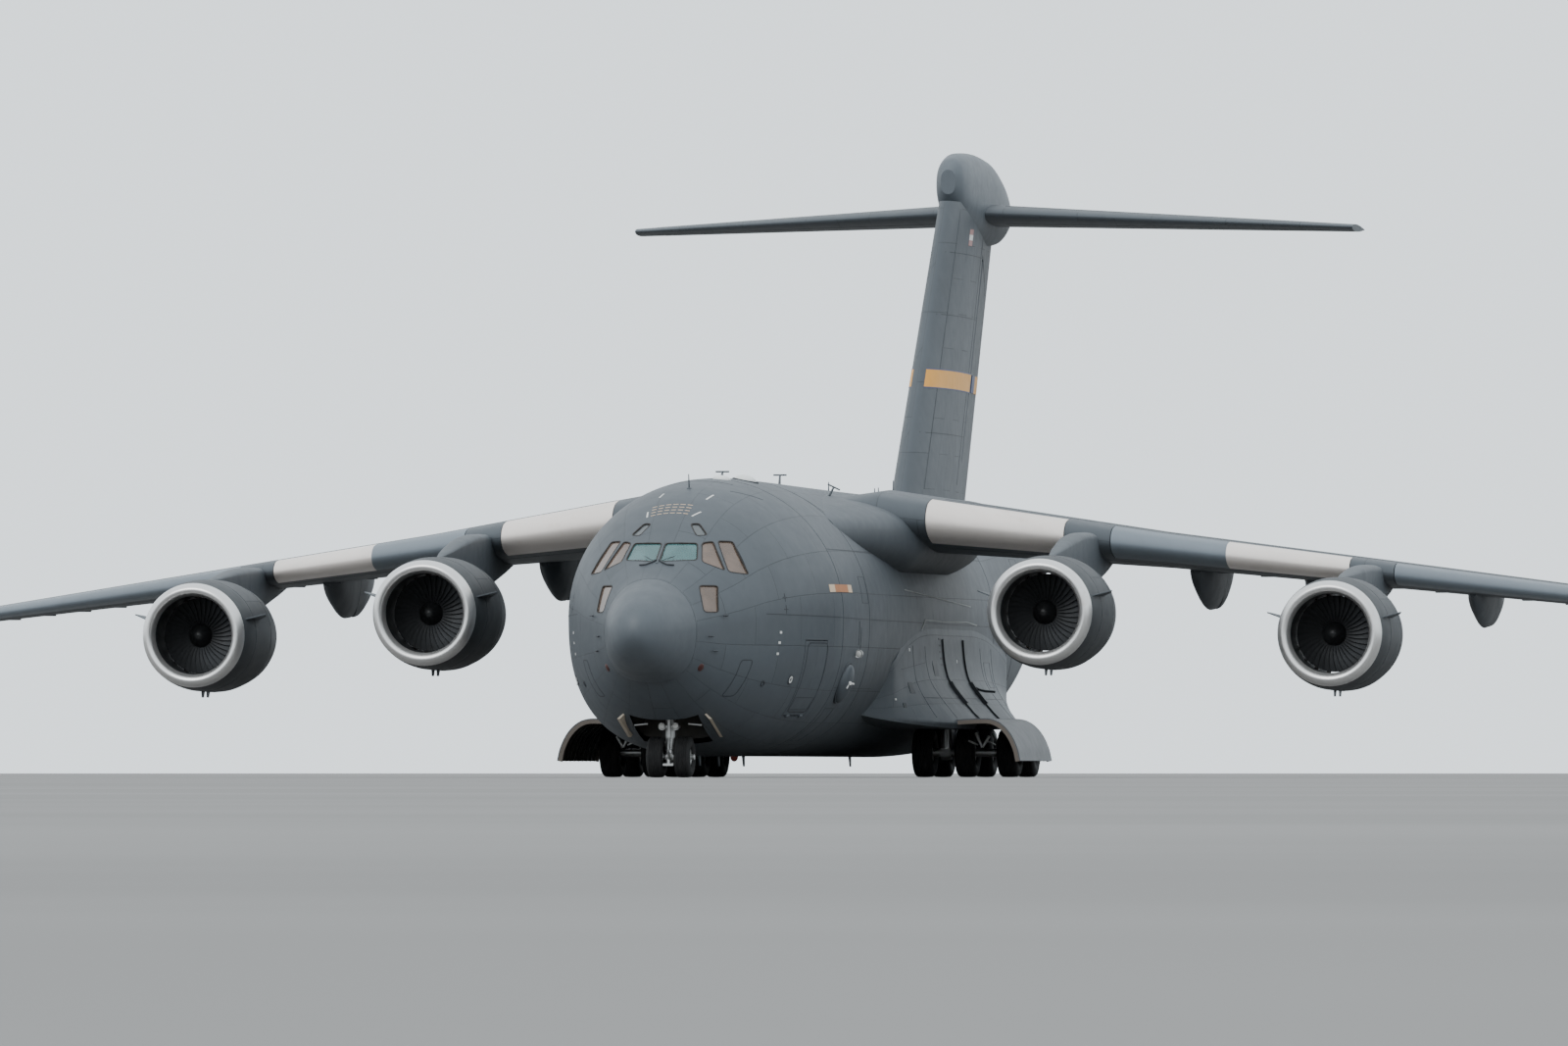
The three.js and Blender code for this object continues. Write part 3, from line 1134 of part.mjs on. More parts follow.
function makeTail() {
  const bullet = (grow) => loft(BULLET.map(([station, low, high, half]) => {
    return superRing(station, low - grow, high + grow, half + grow, BULLET_POWER, 16);
  }));
  const tip = TAILPLANE[1][0];
  const halfPlane = (grow) => liftSolid(tailShape, [0, tip], grow);
  const fullPlane = (grow) => joined([halfPlane(grow), mirrored(halfPlane(grow))]);
  place('tail_bullet', bullet(0).subtract(fullPlane(GAP)), COMPOSITE);
  const elevator = control(tailShape, ELEVATOR);
  place('tailplane', fullPlane(0).subtract(elevator.room).subtract(mirrored(elevator.room)), PAINT);
  placePair('elevator', elevator.moving, COMPOSITE);
  const rudder = control(finShape, RUDDER);
  const fin = liftSolid(finShape, [FIN[0][0], FIN_TOP])
    .subtract(finHollow())
    .subtract(hullSolid(RAMP_JOINT, HULL_END, -GAP))
    .subtract(bullet(GAP))
    .subtract(rudder.room);
  place('fin', fin, PAINT);
  place('rudder', rudder.moving, COMPOSITE);
}

makeRadome();
makeForwardFuselage();
makeCockpit();
makeCentreFuselage();
makeAftFuselage();
makePods();
makeWings();
makeWingFairing();
makeEngines();
makeNoseGear();
makeMainGear();
makeTail();

aircraft.scale.setScalar(MM_PER_METRE);
aircraft.position.y = (-LENGTH / 2) * MM_PER_METRE;

const model = new THREE.Group();
model.add(aircraft);

export default model;
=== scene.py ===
"""Looks of the 1:2 scale model of a four-engined military transport aircraft.

The tables hold metres of the full-size aircraft, as the part's source does: x to port, y aft from
the nose tip, z up from the ground. to_frame() turns them into the frame's metres.
"""

import math

import bpy
import numpy as np
from bpy.props import FloatProperty, FloatVectorProperty, IntProperty, PointerProperty
from mathutils import Matrix, Vector


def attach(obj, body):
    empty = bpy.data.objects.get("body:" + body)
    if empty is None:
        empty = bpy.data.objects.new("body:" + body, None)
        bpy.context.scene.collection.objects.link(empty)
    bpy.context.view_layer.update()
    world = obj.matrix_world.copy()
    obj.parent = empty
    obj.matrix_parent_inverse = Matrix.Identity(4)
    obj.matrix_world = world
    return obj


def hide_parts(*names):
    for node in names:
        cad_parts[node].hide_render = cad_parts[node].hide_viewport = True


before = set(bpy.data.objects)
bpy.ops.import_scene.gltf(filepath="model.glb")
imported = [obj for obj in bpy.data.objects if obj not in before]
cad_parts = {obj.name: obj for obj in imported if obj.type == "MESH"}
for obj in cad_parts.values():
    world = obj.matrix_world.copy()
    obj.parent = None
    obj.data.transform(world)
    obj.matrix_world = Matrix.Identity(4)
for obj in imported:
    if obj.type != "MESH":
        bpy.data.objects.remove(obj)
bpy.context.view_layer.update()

bl_info = {
    "name": "Transport aircraft looks",
    "version": (1, 0, 0),
    "blender": (4, 5, 0),
    "location": "View3D > Sidebar > Aircraft",
    "description": "Smooth skins, fittings and finishes for the transport aircraft",
    "category": "Object",
}

# Scale and overall sizes
SCALE = 0.5
LENGTH = 53.04
HALF_SPAN = 25.875
WALL = 0.12
GAP = 0.0007
DOOR_GAP = 0.02
BELLY_POWER = 2.5
UV_RADIUS = 3.43
# Rings along each hull piece, and points of a ring of the walls, the radome, the panes and the cuts
HULL_ROWS = {"radome": 44, "forward": 72, "centre": 40, "aft": 84, "ramp": 30, "cargo": 50, "panes": 90}
SHELL_COLUMNS, RADOME_COLUMNS, PANE_COLUMNS, CUT_COLUMNS = 144, 128, 256, 96

# Fuselage: station, low, high, half width, height of the widest point, power of the upper curve
RADOME_JOINT, FORWARD_JOINT, RAMP_JOINT, HULL_END = 2.2, 9.6, 31.0, 49.4
HULL = np.array([
    [0.00, 3.46, 3.46, 0.00, 3.46, 2.0],
    [0.12, 3.12, 3.80, 0.31, 3.46, 2.0],
    [0.45, 2.82, 4.12, 0.59, 3.46, 2.0],
    [1.00, 2.57, 4.39, 0.83, 3.47, 2.0],
    [2.20, 2.27, 4.80, 1.14, 3.55, 2.0],
    [3.10, 1.78, 5.24, 1.55, 3.62, 2.0],
    [4.00, 1.33, 5.74, 2.00, 3.72, 2.0],
    [5.00, 0.98, 6.32, 2.38, 3.82, 2.0],
    [6.20, 0.74, 6.82, 2.77, 3.88, 2.0],
    [7.60, 0.59, 7.13, 3.10, 3.92, 2.0],
    [9.60, 0.52, 7.33, 3.37, 3.94, 2.0],
    [11.5, 0.52, 7.38, 3.43, 3.95, 2.0],
    [31.0, 0.52, 7.30, 3.43, 3.95, 2.1],
    [34.0, 0.62, 7.33, 3.40, 3.98, 2.4],
    [37.0, 1.22, 7.38, 3.28, 4.20, 2.8],
    [40.0, 2.25, 7.38, 3.02, 4.60, 3.0],
    [43.0, 3.35, 7.22, 2.50, 5.05, 2.8],
    [46.0, 4.45, 6.95, 1.75, 5.50, 2.5],
    [48.6, 5.35, 6.50, 0.85, 5.88, 2.2],
    [49.4, 5.75, 6.15, 0.30, 5.95, 2.0],
])

# Windows on the port half, as corners x and z of the front view
PANE_DEPTH, PANE_THICK, PANE_ROUND, PANE_REACH = 0.03, 0.03, 0.07, 0.4
GLASS_STATIONS = (2.4, 6.2)
FRONT_PANES = [[[0.045, 5.21], [0.88, 5.25], [0.78, 5.67], [0.045, 5.67]]]
SIDE_PANES = [
    [[0.99, 5.21], [1.50, 5.00], [1.10, 5.72], [0.87, 5.68]],
    [[1.57, 4.97], [1.96, 4.91], [1.50, 5.72], [1.19, 5.73]],
]
SMALL_PANES = [
    [[0.70, 5.85], [0.94, 5.87], [0.68, 6.16], [0.48, 6.15]],
    [[1.24, 3.98], [1.50, 3.98], [1.42, 4.63], [1.06, 4.63]],
]

# Doors, ramp and nose bay
CREW_DOOR = {"x": 2.46, "station": 7.725, "turn": 0.184, "length": 1.47, "low": 1.52, "high": 3.33}
CREW_DOOR_REACH = (0.75, 0.9)
CREW_STEPS = {"count": 5, "margin": 0.3, "half": 0.42, "thick": 0.02, "inner": 0.1, "outer": 0.07,
              "gap": 0.05}
CREW_KNUCKLES = {"near": 0.35, "far": 0.55, "height": 1.51, "radius": 0.045}
RAMP = {"front": 31.1, "back": 37.3, "half": 2.5, "top": 1.68, "tail_top": 1.76, "bevel": 0.14}
RAMP_HINGE = {"station": 31.06, "height": 0.66, "half": 0.9, "radius": 0.0593}
CARGO_DOOR = {"front": 37.44, "back": 44.0, "front_half": 2.25, "back_half": 1.4, "high": 4.9}
CARGO_KNUCKLES = {"station": 44.0, "height": 4.06, "radius": 0.1, "from": 1.1, "to": 1.4}
NOSE_BAY = {"half": 0.85, "front": 3.85, "back": 5.75, "roof": 1.95, "wall": 0.08}
STRAKE_X, STRAKE_THICK, STRAKE_BACK = 1.72, 0.07, 47.4
STRAKE_OUTLINE = [[42.6, -1.4], [44, -1.35], [47.4, -0.2], [47.4, 0.7], [42.6, -0.4]]

# Wing rows: span position, leading edge, chord, height of the leading edge, thickness, incidence
WING = np.array([
    [0.0, 15.4, 12.3, 6.2, 1.35, 3.0],
    [2.8, 16.94, 10.811, 6.552, 1.476, 2.702],
    [9.4, 20.57, 7.3, 5.78, 0.90, 2.0],
    [25.1, 29.205, 2.85, 3.94, 0.29, 0.0],
])
WING_ROOT, WING_TIP = 1.6, 25.1
WING_UPPER = [[0, 0], [0.012, 0.2], [0.04, 0.34], [0.12, 0.46], [0.3, 0.55], [0.5, 0.53], [0.72, 0.38],
              [1, 0.04]]
WING_LOWER = [[0, 0], [0.012, -0.16], [0.04, -0.27], [0.12, -0.38], [0.3, -0.45], [0.5, -0.38], [0.72, -0.2],
              [1, -0.01]]
SLAT_CHORD = 0.1
SLATS = [("inboard", 4.0, 7.2), ("middle", 8.3, 13.9), ("outboard", 14.97, 24.0)]
# Name, inner end, outer end, chord fraction at the front face, depth of the pivot
FLAPS = [("inboard", 4.55, 9.2, 0.72, 1.15), ("outboard", 9.72, 17.9, 0.72, 0.95)]
FLAP_KNUCKLE = {"radius": 0.1, "half": 0.06}
FLAP_REACH = 5.0
SPOILER = {"inner": 9.85, "outer": 16.4, "front": 0.6, "back": 0.712, "ahead": 0.03, "behind": 0.05,
           "skin": 0.06}
AILERON = {"inner": 18.35, "outer": 23.6, "hinge": 0.75}
# Span position, depth, half width at the wing, and the flap that carries its aft part
FAIRINGS = [(6.75, 1.1, 0.34, 0), (9.98, 1.1, 0.36, 1), (12.75, 1.0, 0.32, 1), (16.7, 0.9, 0.28, 1)]
# Distance from the hinge line, share of the depth, share of the width
FAIRING_FORM = np.array([
    [-2.8, 0.1, 0.3], [-1.9, 0.6, 0.85], [-0.6, 0.97, 1], [0.6, 1, 1], [1.8, 0.75, 0.7], [2.7, 0.35, 0.25],
])
WINGLET = {"low": 3.86, "high": 6.75, "cant": 0.62}
# Share of the winglet's height, leading edge, chord, thickness
WINGLET_ROWS = np.array([[0, 29.5, 2.5, 0.2], [0.25, 30.3, 2.1, 0.16], [1, 32.45, 1.15, 0.07]])
# Station, low, high, half width of the form whose shoulders stand out as the wing root fairings
WING_FAIRING = np.array([
    [12.7, 5.3, 6.75, 2.6], [14.0, 5.2, 6.85, 2.9], [15.3, 5.1, 6.95, 3.2], [16.8, 4.95, 7.05, 3.5],
    [18.6, 4.75, 7.12, 3.8], [24.5, 4.75, 7.18, 3.8], [27.6, 4.95, 7.16, 3.66], [29.6, 5.3, 7.1, 3.3],
    [31.6, 5.8, 6.9, 2.4],
])

# Engines: name, span position, station of the lip, height of the axis
ENGINES = [("inboard", 7.745, 12.25, 4.08), ("outboard", 14.43, 15.85, 3.57)]
# Distance behind the lip and radius
COWL_OUTSIDE = [[0.07, 1.235], [0.3, 1.31], [1.2, 1.4], [2.6, 1.42], [3.7, 1.34], [4.55, 1.2]]
COWL_INSIDE = [[4.55, 1.14], [2.4, 1.1], [1.3, 1.0], [0.4, 0.985]]
COWL_FRONT, COWL_END, COWL_DUCT_END = 0.3, 4.55, 2.0
COWL_BACK = [[2.0, 1.3], [0.32, 1.25]]
LIP = [[0.3, 1.311], [0.16, 1.276], [0.07, 1.235], [0.015, 1.185], [0.0, 1.14], [0.02, 1.09], [0.08, 1.04],
       [0.2, 1.0], [0.34, 0.984]]
LIP_BACK = [[0.34, 1.0], [0.3, 1.29]]
DUCT = [[2.3, 1.095], [1.3, 1.0], [0.4, 0.985], [0.34, 0.984]]
DUCT_BACK = [[0.34, 1.02], [1.3, 1.04], [2.3, 1.13]]
CORE_FRONT = [[1.65, 0.46], [2.4, 0.76], [3.5, 0.88]]
CORE_BACK = [[4.9, 0.72], [5.75, 0.48], [5.3, 0.42], [5.2, 0.3], [5.2, 0.0]]
PLUG = [[5.0, 0.3], [5.3, 0.27], [5.65, 0.14], [5.95, 0.0]]
SPINNER = [[0.74, 0.0], [0.8, 0.1], [0.95, 0.21], [1.1, 0.3], [1.3, 0.33]]
SPINNER_BACK = [[1.3, 0.12], [1.9, 0.12], [1.9, 0.0]]
# Vanes behind the fan: how many, and the lowest and highest corner of the upright one
VANES, VANE_LOW, VANE_HIGH = 20, (-0.012, 1.98, 0.5), (0.012, 2.55, 1.11)
# The cowl's strakes: distance behind the lip and radius, half thickness, degrees round the axis
COWL_STRAKE = [[0.4, 1.24], [2.0, 1.40], [1.55, 1.66], [1.05, 1.77]]
COWL_STRAKE_HALF, COWL_STRAKE_DEGREES = 0.015, (17.5, 162.5)
# The drain masts: distance behind the lip and height over the axis, and their sides and thickness
DRAIN_MAST = np.array([[1.55, -1.56], [1.72, -1.56], [1.86, -1.38], [1.5, -1.38]])
MAST_OFFSETS, MAST_THICK = (-0.08, 0.05), 0.03
# Fan blades: radius of the root, height, thickness, middle, front and back behind the lip, pitch at the
# root and its growth in degrees, half chord and its growth, sweep and camber, and shares of the chord
# and of the sweep that run aft
FAN = {"root": 0.28, "height": 0.67, "thick": 0.022, "middle": 1.16, "front": 1.06, "back": 1.27, "pitch": 28,
       "twist": 34, "half": 0.12, "bulge": 0.05, "sweep": 0.06, "camber": 0.03,
       "flatten": 0.62, "rake": 0.5}
FAN_BODIES = {("outboard", "port"): "fan_1", ("inboard", "port"): "fan_2", ("inboard", "starboard"): "fan_3",
              ("outboard", "starboard"): "fan_4"}
# Distance behind the lip, low over the axis, share of the rise to the leading edge, half width
PYLON = np.array([
    [1.9, 1.34, 0.03, 0.05], [3.0, 1.3, 0.35, 0.17], [4.4, 1.18, 0.72, 0.25], [4.62, 1.06, 0.77, 0.27],
    [4.8, 0.6, 0.81, 0.27], [5.9, 0.5, 0.96, 0.27], [7.3, 0.8, 1.0, 0.27], [9.0, 1.08, 0.6, 0.24],
    [10.65, 1.32, 0.5, 0.14],
])

# The pylon's crown: its height over the axis in front, how far it stands over the leading edge, the
# height over the axis from which it rises, and the most and least height of its rounding
PYLON_CROWN = {"front": 1.37, "over": 0.14, "base": 1.34, "round": 0.16, "least": 0.02}

# Landing gear
NOSE_WHEEL = {"radius": 0.508, "width": 0.4, "places": [-0.34, 0.34], "station": 4.75, "axle": 0.07}
MAIN_WHEEL = {"radius": 0.635, "width": 0.533, "places": [2.95, 4.05, 5.135], "axle": 0.1}
MAIN_STATIONS = [("front", 23.5), ("rear", 26.1)]
CAD_WHEEL_SIDES = 16
# Shares of the half width and of the radius: the tyre's shoulder and bore, and the rim from its edge in
TYRE_SHOULDER = [[0.8, 0.955], [0.93, 0.88], [1.0, 0.76], [0.97, 0.62], [0.86, 0.52]]
TYRE_BORE = [[0.7, 0.46], [-0.7, 0.46]]
RIM = [[-0.84, 0.53], [-0.8, 0.5], [-0.55, 0.44], [-0.5, 0.3], [-0.72, 0.2], [-0.8, 0.0]]
TREAD = {"edge": 0.62, "points": 13, "top": 0.998, "crown": 0.025, "groove": 0.014, "pitch": 5, "share": 0.14}
# Station, outer reach, top, bottom of the gear pod
POD = np.array([
    [15.0, 2.6, 1.95, 1.6], [16.0, 3.15, 2.6, 1.45], [17.2, 3.65, 3.15, 1.35], [18.6, 4.05, 3.6, 1.28],
    [20.4, 4.38, 3.85, 1.23], [22.2, 4.5, 3.9, 1.22], [27.6, 4.5, 3.9, 1.22], [29.6, 4.3, 3.8, 1.25],
    [31.6, 3.85, 3.5, 1.4], [33.6, 3.25, 3.0, 1.7], [35.2, 2.65, 2.6, 2.0],
])
# Share of the height from top to bottom, share of the reach beyond the hull's side
POD_PROFILE = np.array([[0, 0], [0.11, 0.05], [0.34, 0.1], [0.5, 0.18], [0.6, 0.3], [0.72, 0.52],
                        [0.84, 0.77], [0.95, 0.98], [1, 0.9]])
POD_HULL_X, POD_INNER_X, POD_ROWS = 3.4, 1.7, 70
WELL = {"front": 22.45, "back": 27.15, "inner": 2.5, "outer": 3.72, "mouth": 5.0, "roof": 2.1, "rim": 1.36}

# The main gear door's outer face in front view, and its ends
GEAR_DOOR = [[4.25, 1.45], [4.7, 1.48], [5.15, 1.48], [5.45, 1.36], [5.7, 1.1], [5.87, 0.75], [5.95, 0.42]]
GEAR_DOOR_STATIONS = (20.3, 25.1)

# Tail rows: span or height, leading edge, chord, height or 0, thickness, incidence
FIN = np.array([[6.7, 35.74, 10.05, 0, 1.1, 0], [16.3, 44.0, 7.6, 0, 0.72, 0]])
FIN_TOP = 15.4
RUDDER = {"inner": 8.35, "outer": 13.9, "hinge": 0.72}
TAILPLANE = np.array([[0, 46.4, 6.1, 15.2, 0.6, 0], [9.905, 50.7, 2.34, 14.9, 0.2, 0]])
ELEVATOR = {"inner": 0.95, "outer": 9.4, "hinge": 0.73}
TAIL_PROFILE = [[0, 0], [0.015, 0.16], [0.06, 0.3], [0.18, 0.45], [0.35, 0.5], [0.6, 0.4], [0.8, 0.23],
                [1, 0.025]]
# Station, low, high, half width of the fairing on the fin's top
BULLET = np.array([
    [43.75, 15.6, 16.25, 0.2], [44.1, 15.2, 16.55, 0.38], [45.0, 14.8, 16.74, 0.47],
    [46.6, 14.5, 16.79, 0.53], [48.6, 14.35, 16.7, 0.54], [50.4, 14.45, 16.35, 0.48],
    [51.7, 14.75, 15.85, 0.36], [52.4, 15.05, 15.4, 0.16],
])


def to_frame(points):
    """Full-size metres to the frame's metres: half size, with the middle of the length at y 0."""
    return (np.asarray(points, float) - (0.0, LENGTH / 2, 0.0)) * SCALE


# Meshes

class Form:
    """A closed or open surface: points in full-size metres, faces, and a UV pair for each face corner."""

    def __init__(self, points, faces, uvs=None):
        self.points = np.asarray(points, float).reshape(-1, 3)
        self.faces = [list(map(int, face)) for face in faces]
        corners = sum(len(face) for face in self.faces)
        self.uvs = np.zeros((corners, 2)) if uvs is None else np.asarray(uvs, float).reshape(-1, 2)

    def moved(self, matrix=None, offset=(0, 0, 0)):
        """A copy turned by a 3 by 3 matrix and then shifted."""
        turned = self.points if matrix is None else self.points @ np.asarray(matrix, float).T
        return Form(turned + offset, self.faces, self.uvs)

    def reversed_faces(self, points):
        """The same faces on other points, each run the other way round."""
        pairs = np.array_split(self.uvs, np.cumsum([len(face) for face in self.faces])[:-1])
        uvs = np.concatenate([group[::-1] for group in pairs])
        return Form(points, [face[::-1] for face in self.faces], uvs)

    def mirrored(self):
        """A copy on the other side of the aircraft, its faces still pointing outwards."""
        return self.reversed_faces(self.points * (-1, 1, 1))

    def outward(self):
        """The same form with its faces pointing outwards, judged by the sign of the enclosed volume."""
        volume = 0.0
        for size in {len(face) for face in self.faces}:
            index = np.array([face for face in self.faces if len(face) == size])
            for k in range(1, size - 1):
                a, b, c = self.points[index[:, 0]], self.points[index[:, k]], self.points[index[:, k + 1]]
                volume += np.einsum("ij,ij->", a, np.cross(b, c))
        return self if volume >= 0 else self.reversed_faces(self.points)

    def looped(self, size):
        """The form with its last points, which repeat the first, joined to them: size points stay."""
        return Form(self.points[:size], [[i % size for i in face] for face in self.faces], self.uvs).outward()


def unit(vectors):
    """Vectors divided by their lengths."""
    return vectors / np.linalg.norm(vectors, axis=-1, keepdims=True)


def rectangle(first, last, low, high):
    """The four corners of an upright rectangle, or of one in plan."""
    return [[first, low], [last, low], [last, high], [first, high]]


def closed_profile(*parts):
    """A profile from parts, ending on its first point."""
    profile = np.concatenate([np.asarray(part, float) for part in parts])
    return np.concatenate([profile, profile[:1]])


def cubic_weights(t):
    """Weights of a cubic's start, start slope, end and end slope at a share of its length."""
    return 2 * t ** 3 - 3 * t ** 2 + 1, t ** 3 - 2 * t ** 2 + t, 3 * t ** 2 - 2 * t ** 3, t ** 3 - t ** 2


def merged(forms):
    """Several forms as one, side by side and not joined at their edges."""
    starts = np.cumsum([0] + [len(form.points) for form in forms])
    faces = [[i + start for i in face] for form, start in zip(forms, starts) for face in form.faces]
    points, uvs = [form.points for form in forms], [form.uvs for form in forms]
    return Form(np.concatenate(points), faces, np.concatenate(uvs))


def both(forms):
    """The port forms and their mirror images."""
    return [*forms, *[form.mirrored() for form in forms]]


def skin(points, wrap=True, caps=True, uv=None):
    """The grid of points[row, column] as quads. wrap closes each row into a ring, and caps closes both
    ends with one flat face each. uv is an optional grid with one column more than points if wrapped."""
    rows, columns = points.shape[:2]
    r, c = np.meshgrid(np.arange(rows - 1), np.arange(columns if wrap else columns - 1), indexing="ij")
    after = (c + 1) % columns
    here, there = r * columns, (r + 1) * columns
    faces = np.stack([here + c, here + after, there + after, there + c], -1).reshape(-1, 4).tolist()
    pairs = None
    if uv is not None:
        pairs = np.stack([uv[r, c], uv[r, c + 1], uv[r + 1, c + 1], uv[r + 1, c]], -2).reshape(-1, 2)
    if wrap and caps:
        faces.append(list(range(columns))[::-1])
        faces.append(list(range((rows - 1) * columns, rows * columns)))
        if uv is not None:
            pairs = np.concatenate([pairs, np.zeros((2 * columns, 2))])
    form = Form(points, faces, pairs)
    return form.outward() if wrap and caps else form


def sheet_solid(outer, inner, uv=None):
    """A wall between two grids of the same size whose rows are rings, open at both ends: the outer
    grid, the inner one turned round, and flat rims between their first and last rings."""
    rows, columns = outer.shape[:2]
    loop = np.concatenate([outer, inner[::-1], outer[:1]])
    grid = None if uv is None else np.concatenate([uv, uv[::-1], uv[:1]])
    return skin(loop, caps=False, uv=grid).looped(2 * rows * columns)


def block(low, high):
    """A box from its lowest to its highest corner, for a cut or a plain fitting that is then bevelled."""
    (x0, y0, z0), (x1, y1, z1) = low, high
    return prism(rectangle(x0, x1, y0, y1), z0, z1, 2)


def prism(outline, low, high, axis):
    """A flat outline carried along one axis. The outline holds the other two coordinates in order."""
    flat = np.asarray(outline, float)
    rings = [np.insert(flat, axis, value, axis=1) for value in (low, high)]
    return skin(np.stack(rings))


def tube(path, radius, sides=16):
    """A ring of the given radius, or radii, carried along a path square to it. Each ring's axes come
    from the path's direction and a fixed side vector, so the tube doesn't twist."""
    path = np.asarray(path, float)
    radius = np.broadcast_to(np.asarray(radius, float), len(path))
    along = unit(np.gradient(path, axis=0))
    side = unit(np.cross(along, np.eye(3)[np.argmin(np.abs(along[0]))]))
    up = np.cross(side, along)
    angle = np.linspace(0, 2 * np.pi, sides, endpoint=False)
    ring = np.cos(angle)[None, :, None] * side[:, None] + np.sin(angle)[None, :, None] * up[:, None]
    return skin(path[:, None] + ring * radius[:, None, None])


def rod(start, end, radius, sides=16):
    """A round bar between two points, its ends slightly chamfered."""
    start, end = np.asarray(start, float), np.asarray(end, float)
    chamfer = min(0.15 * radius, 0.2 * np.linalg.norm(end - start))
    step = (end - start) / np.linalg.norm(end - start) * chamfer
    path = np.stack([start, start + step, end - step, end])
    return tube(path, [radius - chamfer, radius, radius, radius - chamfer], sides)


def turned(profile, sides=64, axis=1, centre=(0, 0, 0)):
    """A profile of distance along the axis and radius, turned once round it. A profile that starts
    and ends on the axis, or that returns to its first point, gives a closed surface."""
    profile = np.asarray(profile, float)
    angle = np.linspace(0, 2 * np.pi, sides, endpoint=False)
    along = np.broadcast_to(profile[:, :1], (len(profile), sides))
    u = profile[:, 1:] * np.cos(angle)
    v = profile[:, 1:] * np.sin(angle)
    order = {0: (along, u, v), 1: (u, along, v), 2: (u, v, along)}[axis]
    points = np.stack(order, -1) + centre
    if np.allclose(profile[0], profile[-1]):
        return skin(points, caps=False).looped((len(profile) - 1) * sides)
    return skin(points)


def smooth_rows(table, at, key=lambda value: value):
    """A table's other columns at places along its first column. The curve is cubic between rows, its
    slope at a row the harmonic mean of its neighbours' slopes, so it passes every row and never
    overshoots. key maps the first column to the scale in which the cubics run."""
    table = np.asarray(table, float)
    x, y = key(table[:, 0]), table[:, 1:]
    at = np.asarray(at, float)
    place = key(np.clip(at, table[0, 0], table[-1, 0]))
    slope = np.diff(y, axis=0) / np.diff(x)[:, None]
    before, after = slope[:-1], slope[1:]
    total = np.where(before + after == 0, 1, before + after)
    middle = np.where(before * after > 0, 2 * before * after / total, 0)
    tangent = np.concatenate([slope[:1], middle, slope[-1:]])
    k = np.clip(np.searchsorted(x, place, side="right") - 1, 0, len(x) - 2)
    step = (x[k + 1] - x[k])[..., None]
    t = (place - x[k])[..., None] / step
    first, first_slope, last, last_slope = cubic_weights(t)
    start = first * y[k] + first_slope * step * tangent[k]
    end = last * y[k + 1] + last_slope * step * tangent[k + 1]
    return np.moveaxis(start + end, -1, 0)


def power_ring(angle, half_width, half_height, power):
    """Points of a rounded rectangle: the sine and cosine are raised to 2 over the power."""
    u = half_width * np.sign(np.cos(angle)) * np.abs(np.cos(angle)) ** (2 / power)
    v = half_height * np.sign(np.sin(angle)) * np.abs(np.sin(angle)) ** (2 / power)
    return u, v


def rounded(corners, radius):
    """An outline with each corner replaced by a short curve of five points that leaves and meets its
    sides smoothly."""
    corners = np.asarray(corners, float)
    t = np.linspace(0, 1, 5)[:, None]
    found = []
    for i, corner in enumerate(corners):
        before, after = corners[i - 1] - corner, corners[(i + 1) % len(corners)] - corner
        start = corner + before * min(0.45, radius / np.linalg.norm(before))
        end = corner + after * min(0.45, radius / np.linalg.norm(after))
        found.append((1 - t) ** 2 * start + 2 * t * (1 - t) * corner + t ** 2 * end)
    return np.concatenate(found)


# Pieces

def raw_object(name, form):
    """A plain object with the form's mesh, in the frame's metres."""
    mesh = bpy.data.meshes.new(name)
    mesh.from_pydata(to_frame(form.points).tolist(), [], form.faces)
    layer = mesh.uv_layers.new(name="skin")
    layer.data.foreach_set("uv", form.uvs.astype(np.float32).ravel())
    mesh.update()
    piece = bpy.data.objects.new(name, mesh)
    bpy.context.scene.collection.objects.link(piece)
    return piece


def apply_cuts(piece, steps):
    """Runs exact boolean cuts, each an operation and an object, and takes those objects away."""
    for operation, tool in steps:
        modifier = piece.modifiers.new("cut", "BOOLEAN")
        modifier.operation = operation
        modifier.solver = "EXACT"
        modifier.object = tool
    bpy.context.view_layer.update()
    evaluated = piece.evaluated_get(bpy.context.evaluated_depsgraph_get())
    mesh = bpy.data.meshes.new_from_object(evaluated)
    piece.modifiers.clear()
    piece.data = mesh
    if not len(mesh.polygons):
        raise RuntimeError(f"cutting {piece.name} left nothing")
    for _, tool in steps:
        bpy.data.objects.remove(tool)


def carved(name, form, cuts=(), keep=()):
    """An object with forms cut away, and then only what lies inside the forms to keep."""
    piece = raw_object(name, form)
    steps = [("DIFFERENCE", raw_object("cutter", other)) for other in cuts]
    steps += [("INTERSECT", raw_object("cutter", other)) for other in keep]
    if steps:
        apply_cuts(piece, steps)
    return piece


def declare(piece, finish, body, node):
    """Hangs a piece on the empty of the body that it rides, and hides the CAD node that it stands for."""
    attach(piece, body)
    if node:
        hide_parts(node)


def finish_piece(piece, finish, body="airframe", node=None, slot=None, sharp=32.0, bevel=0.0):
    mesh = piece.data
    mesh.materials.clear()
    mesh.materials.append(look(finish))
    mesh.shade_smooth()
    mesh.set_sharp_from_angle(angle=math.radians(sharp))
    if bevel:
        modifier = piece.modifiers.new("edges", "BEVEL")
        modifier.width = bevel * SCALE
        modifier.segments = 2
        modifier.limit_method = "ANGLE"
        modifier.angle_limit = math.radians(40)
        modifier.harden_normals = True
    declare(piece, finish, body, node)
    return piece


def make(name, forms, finish, body="airframe", node=None, cuts=(), keep=(), **options):
    """One finished piece from forms, cut where asked."""
    form = forms if isinstance(forms, Form) else merged(forms)
    return finish_piece(carved(name, form, cuts, keep), finish, body, node, **options)


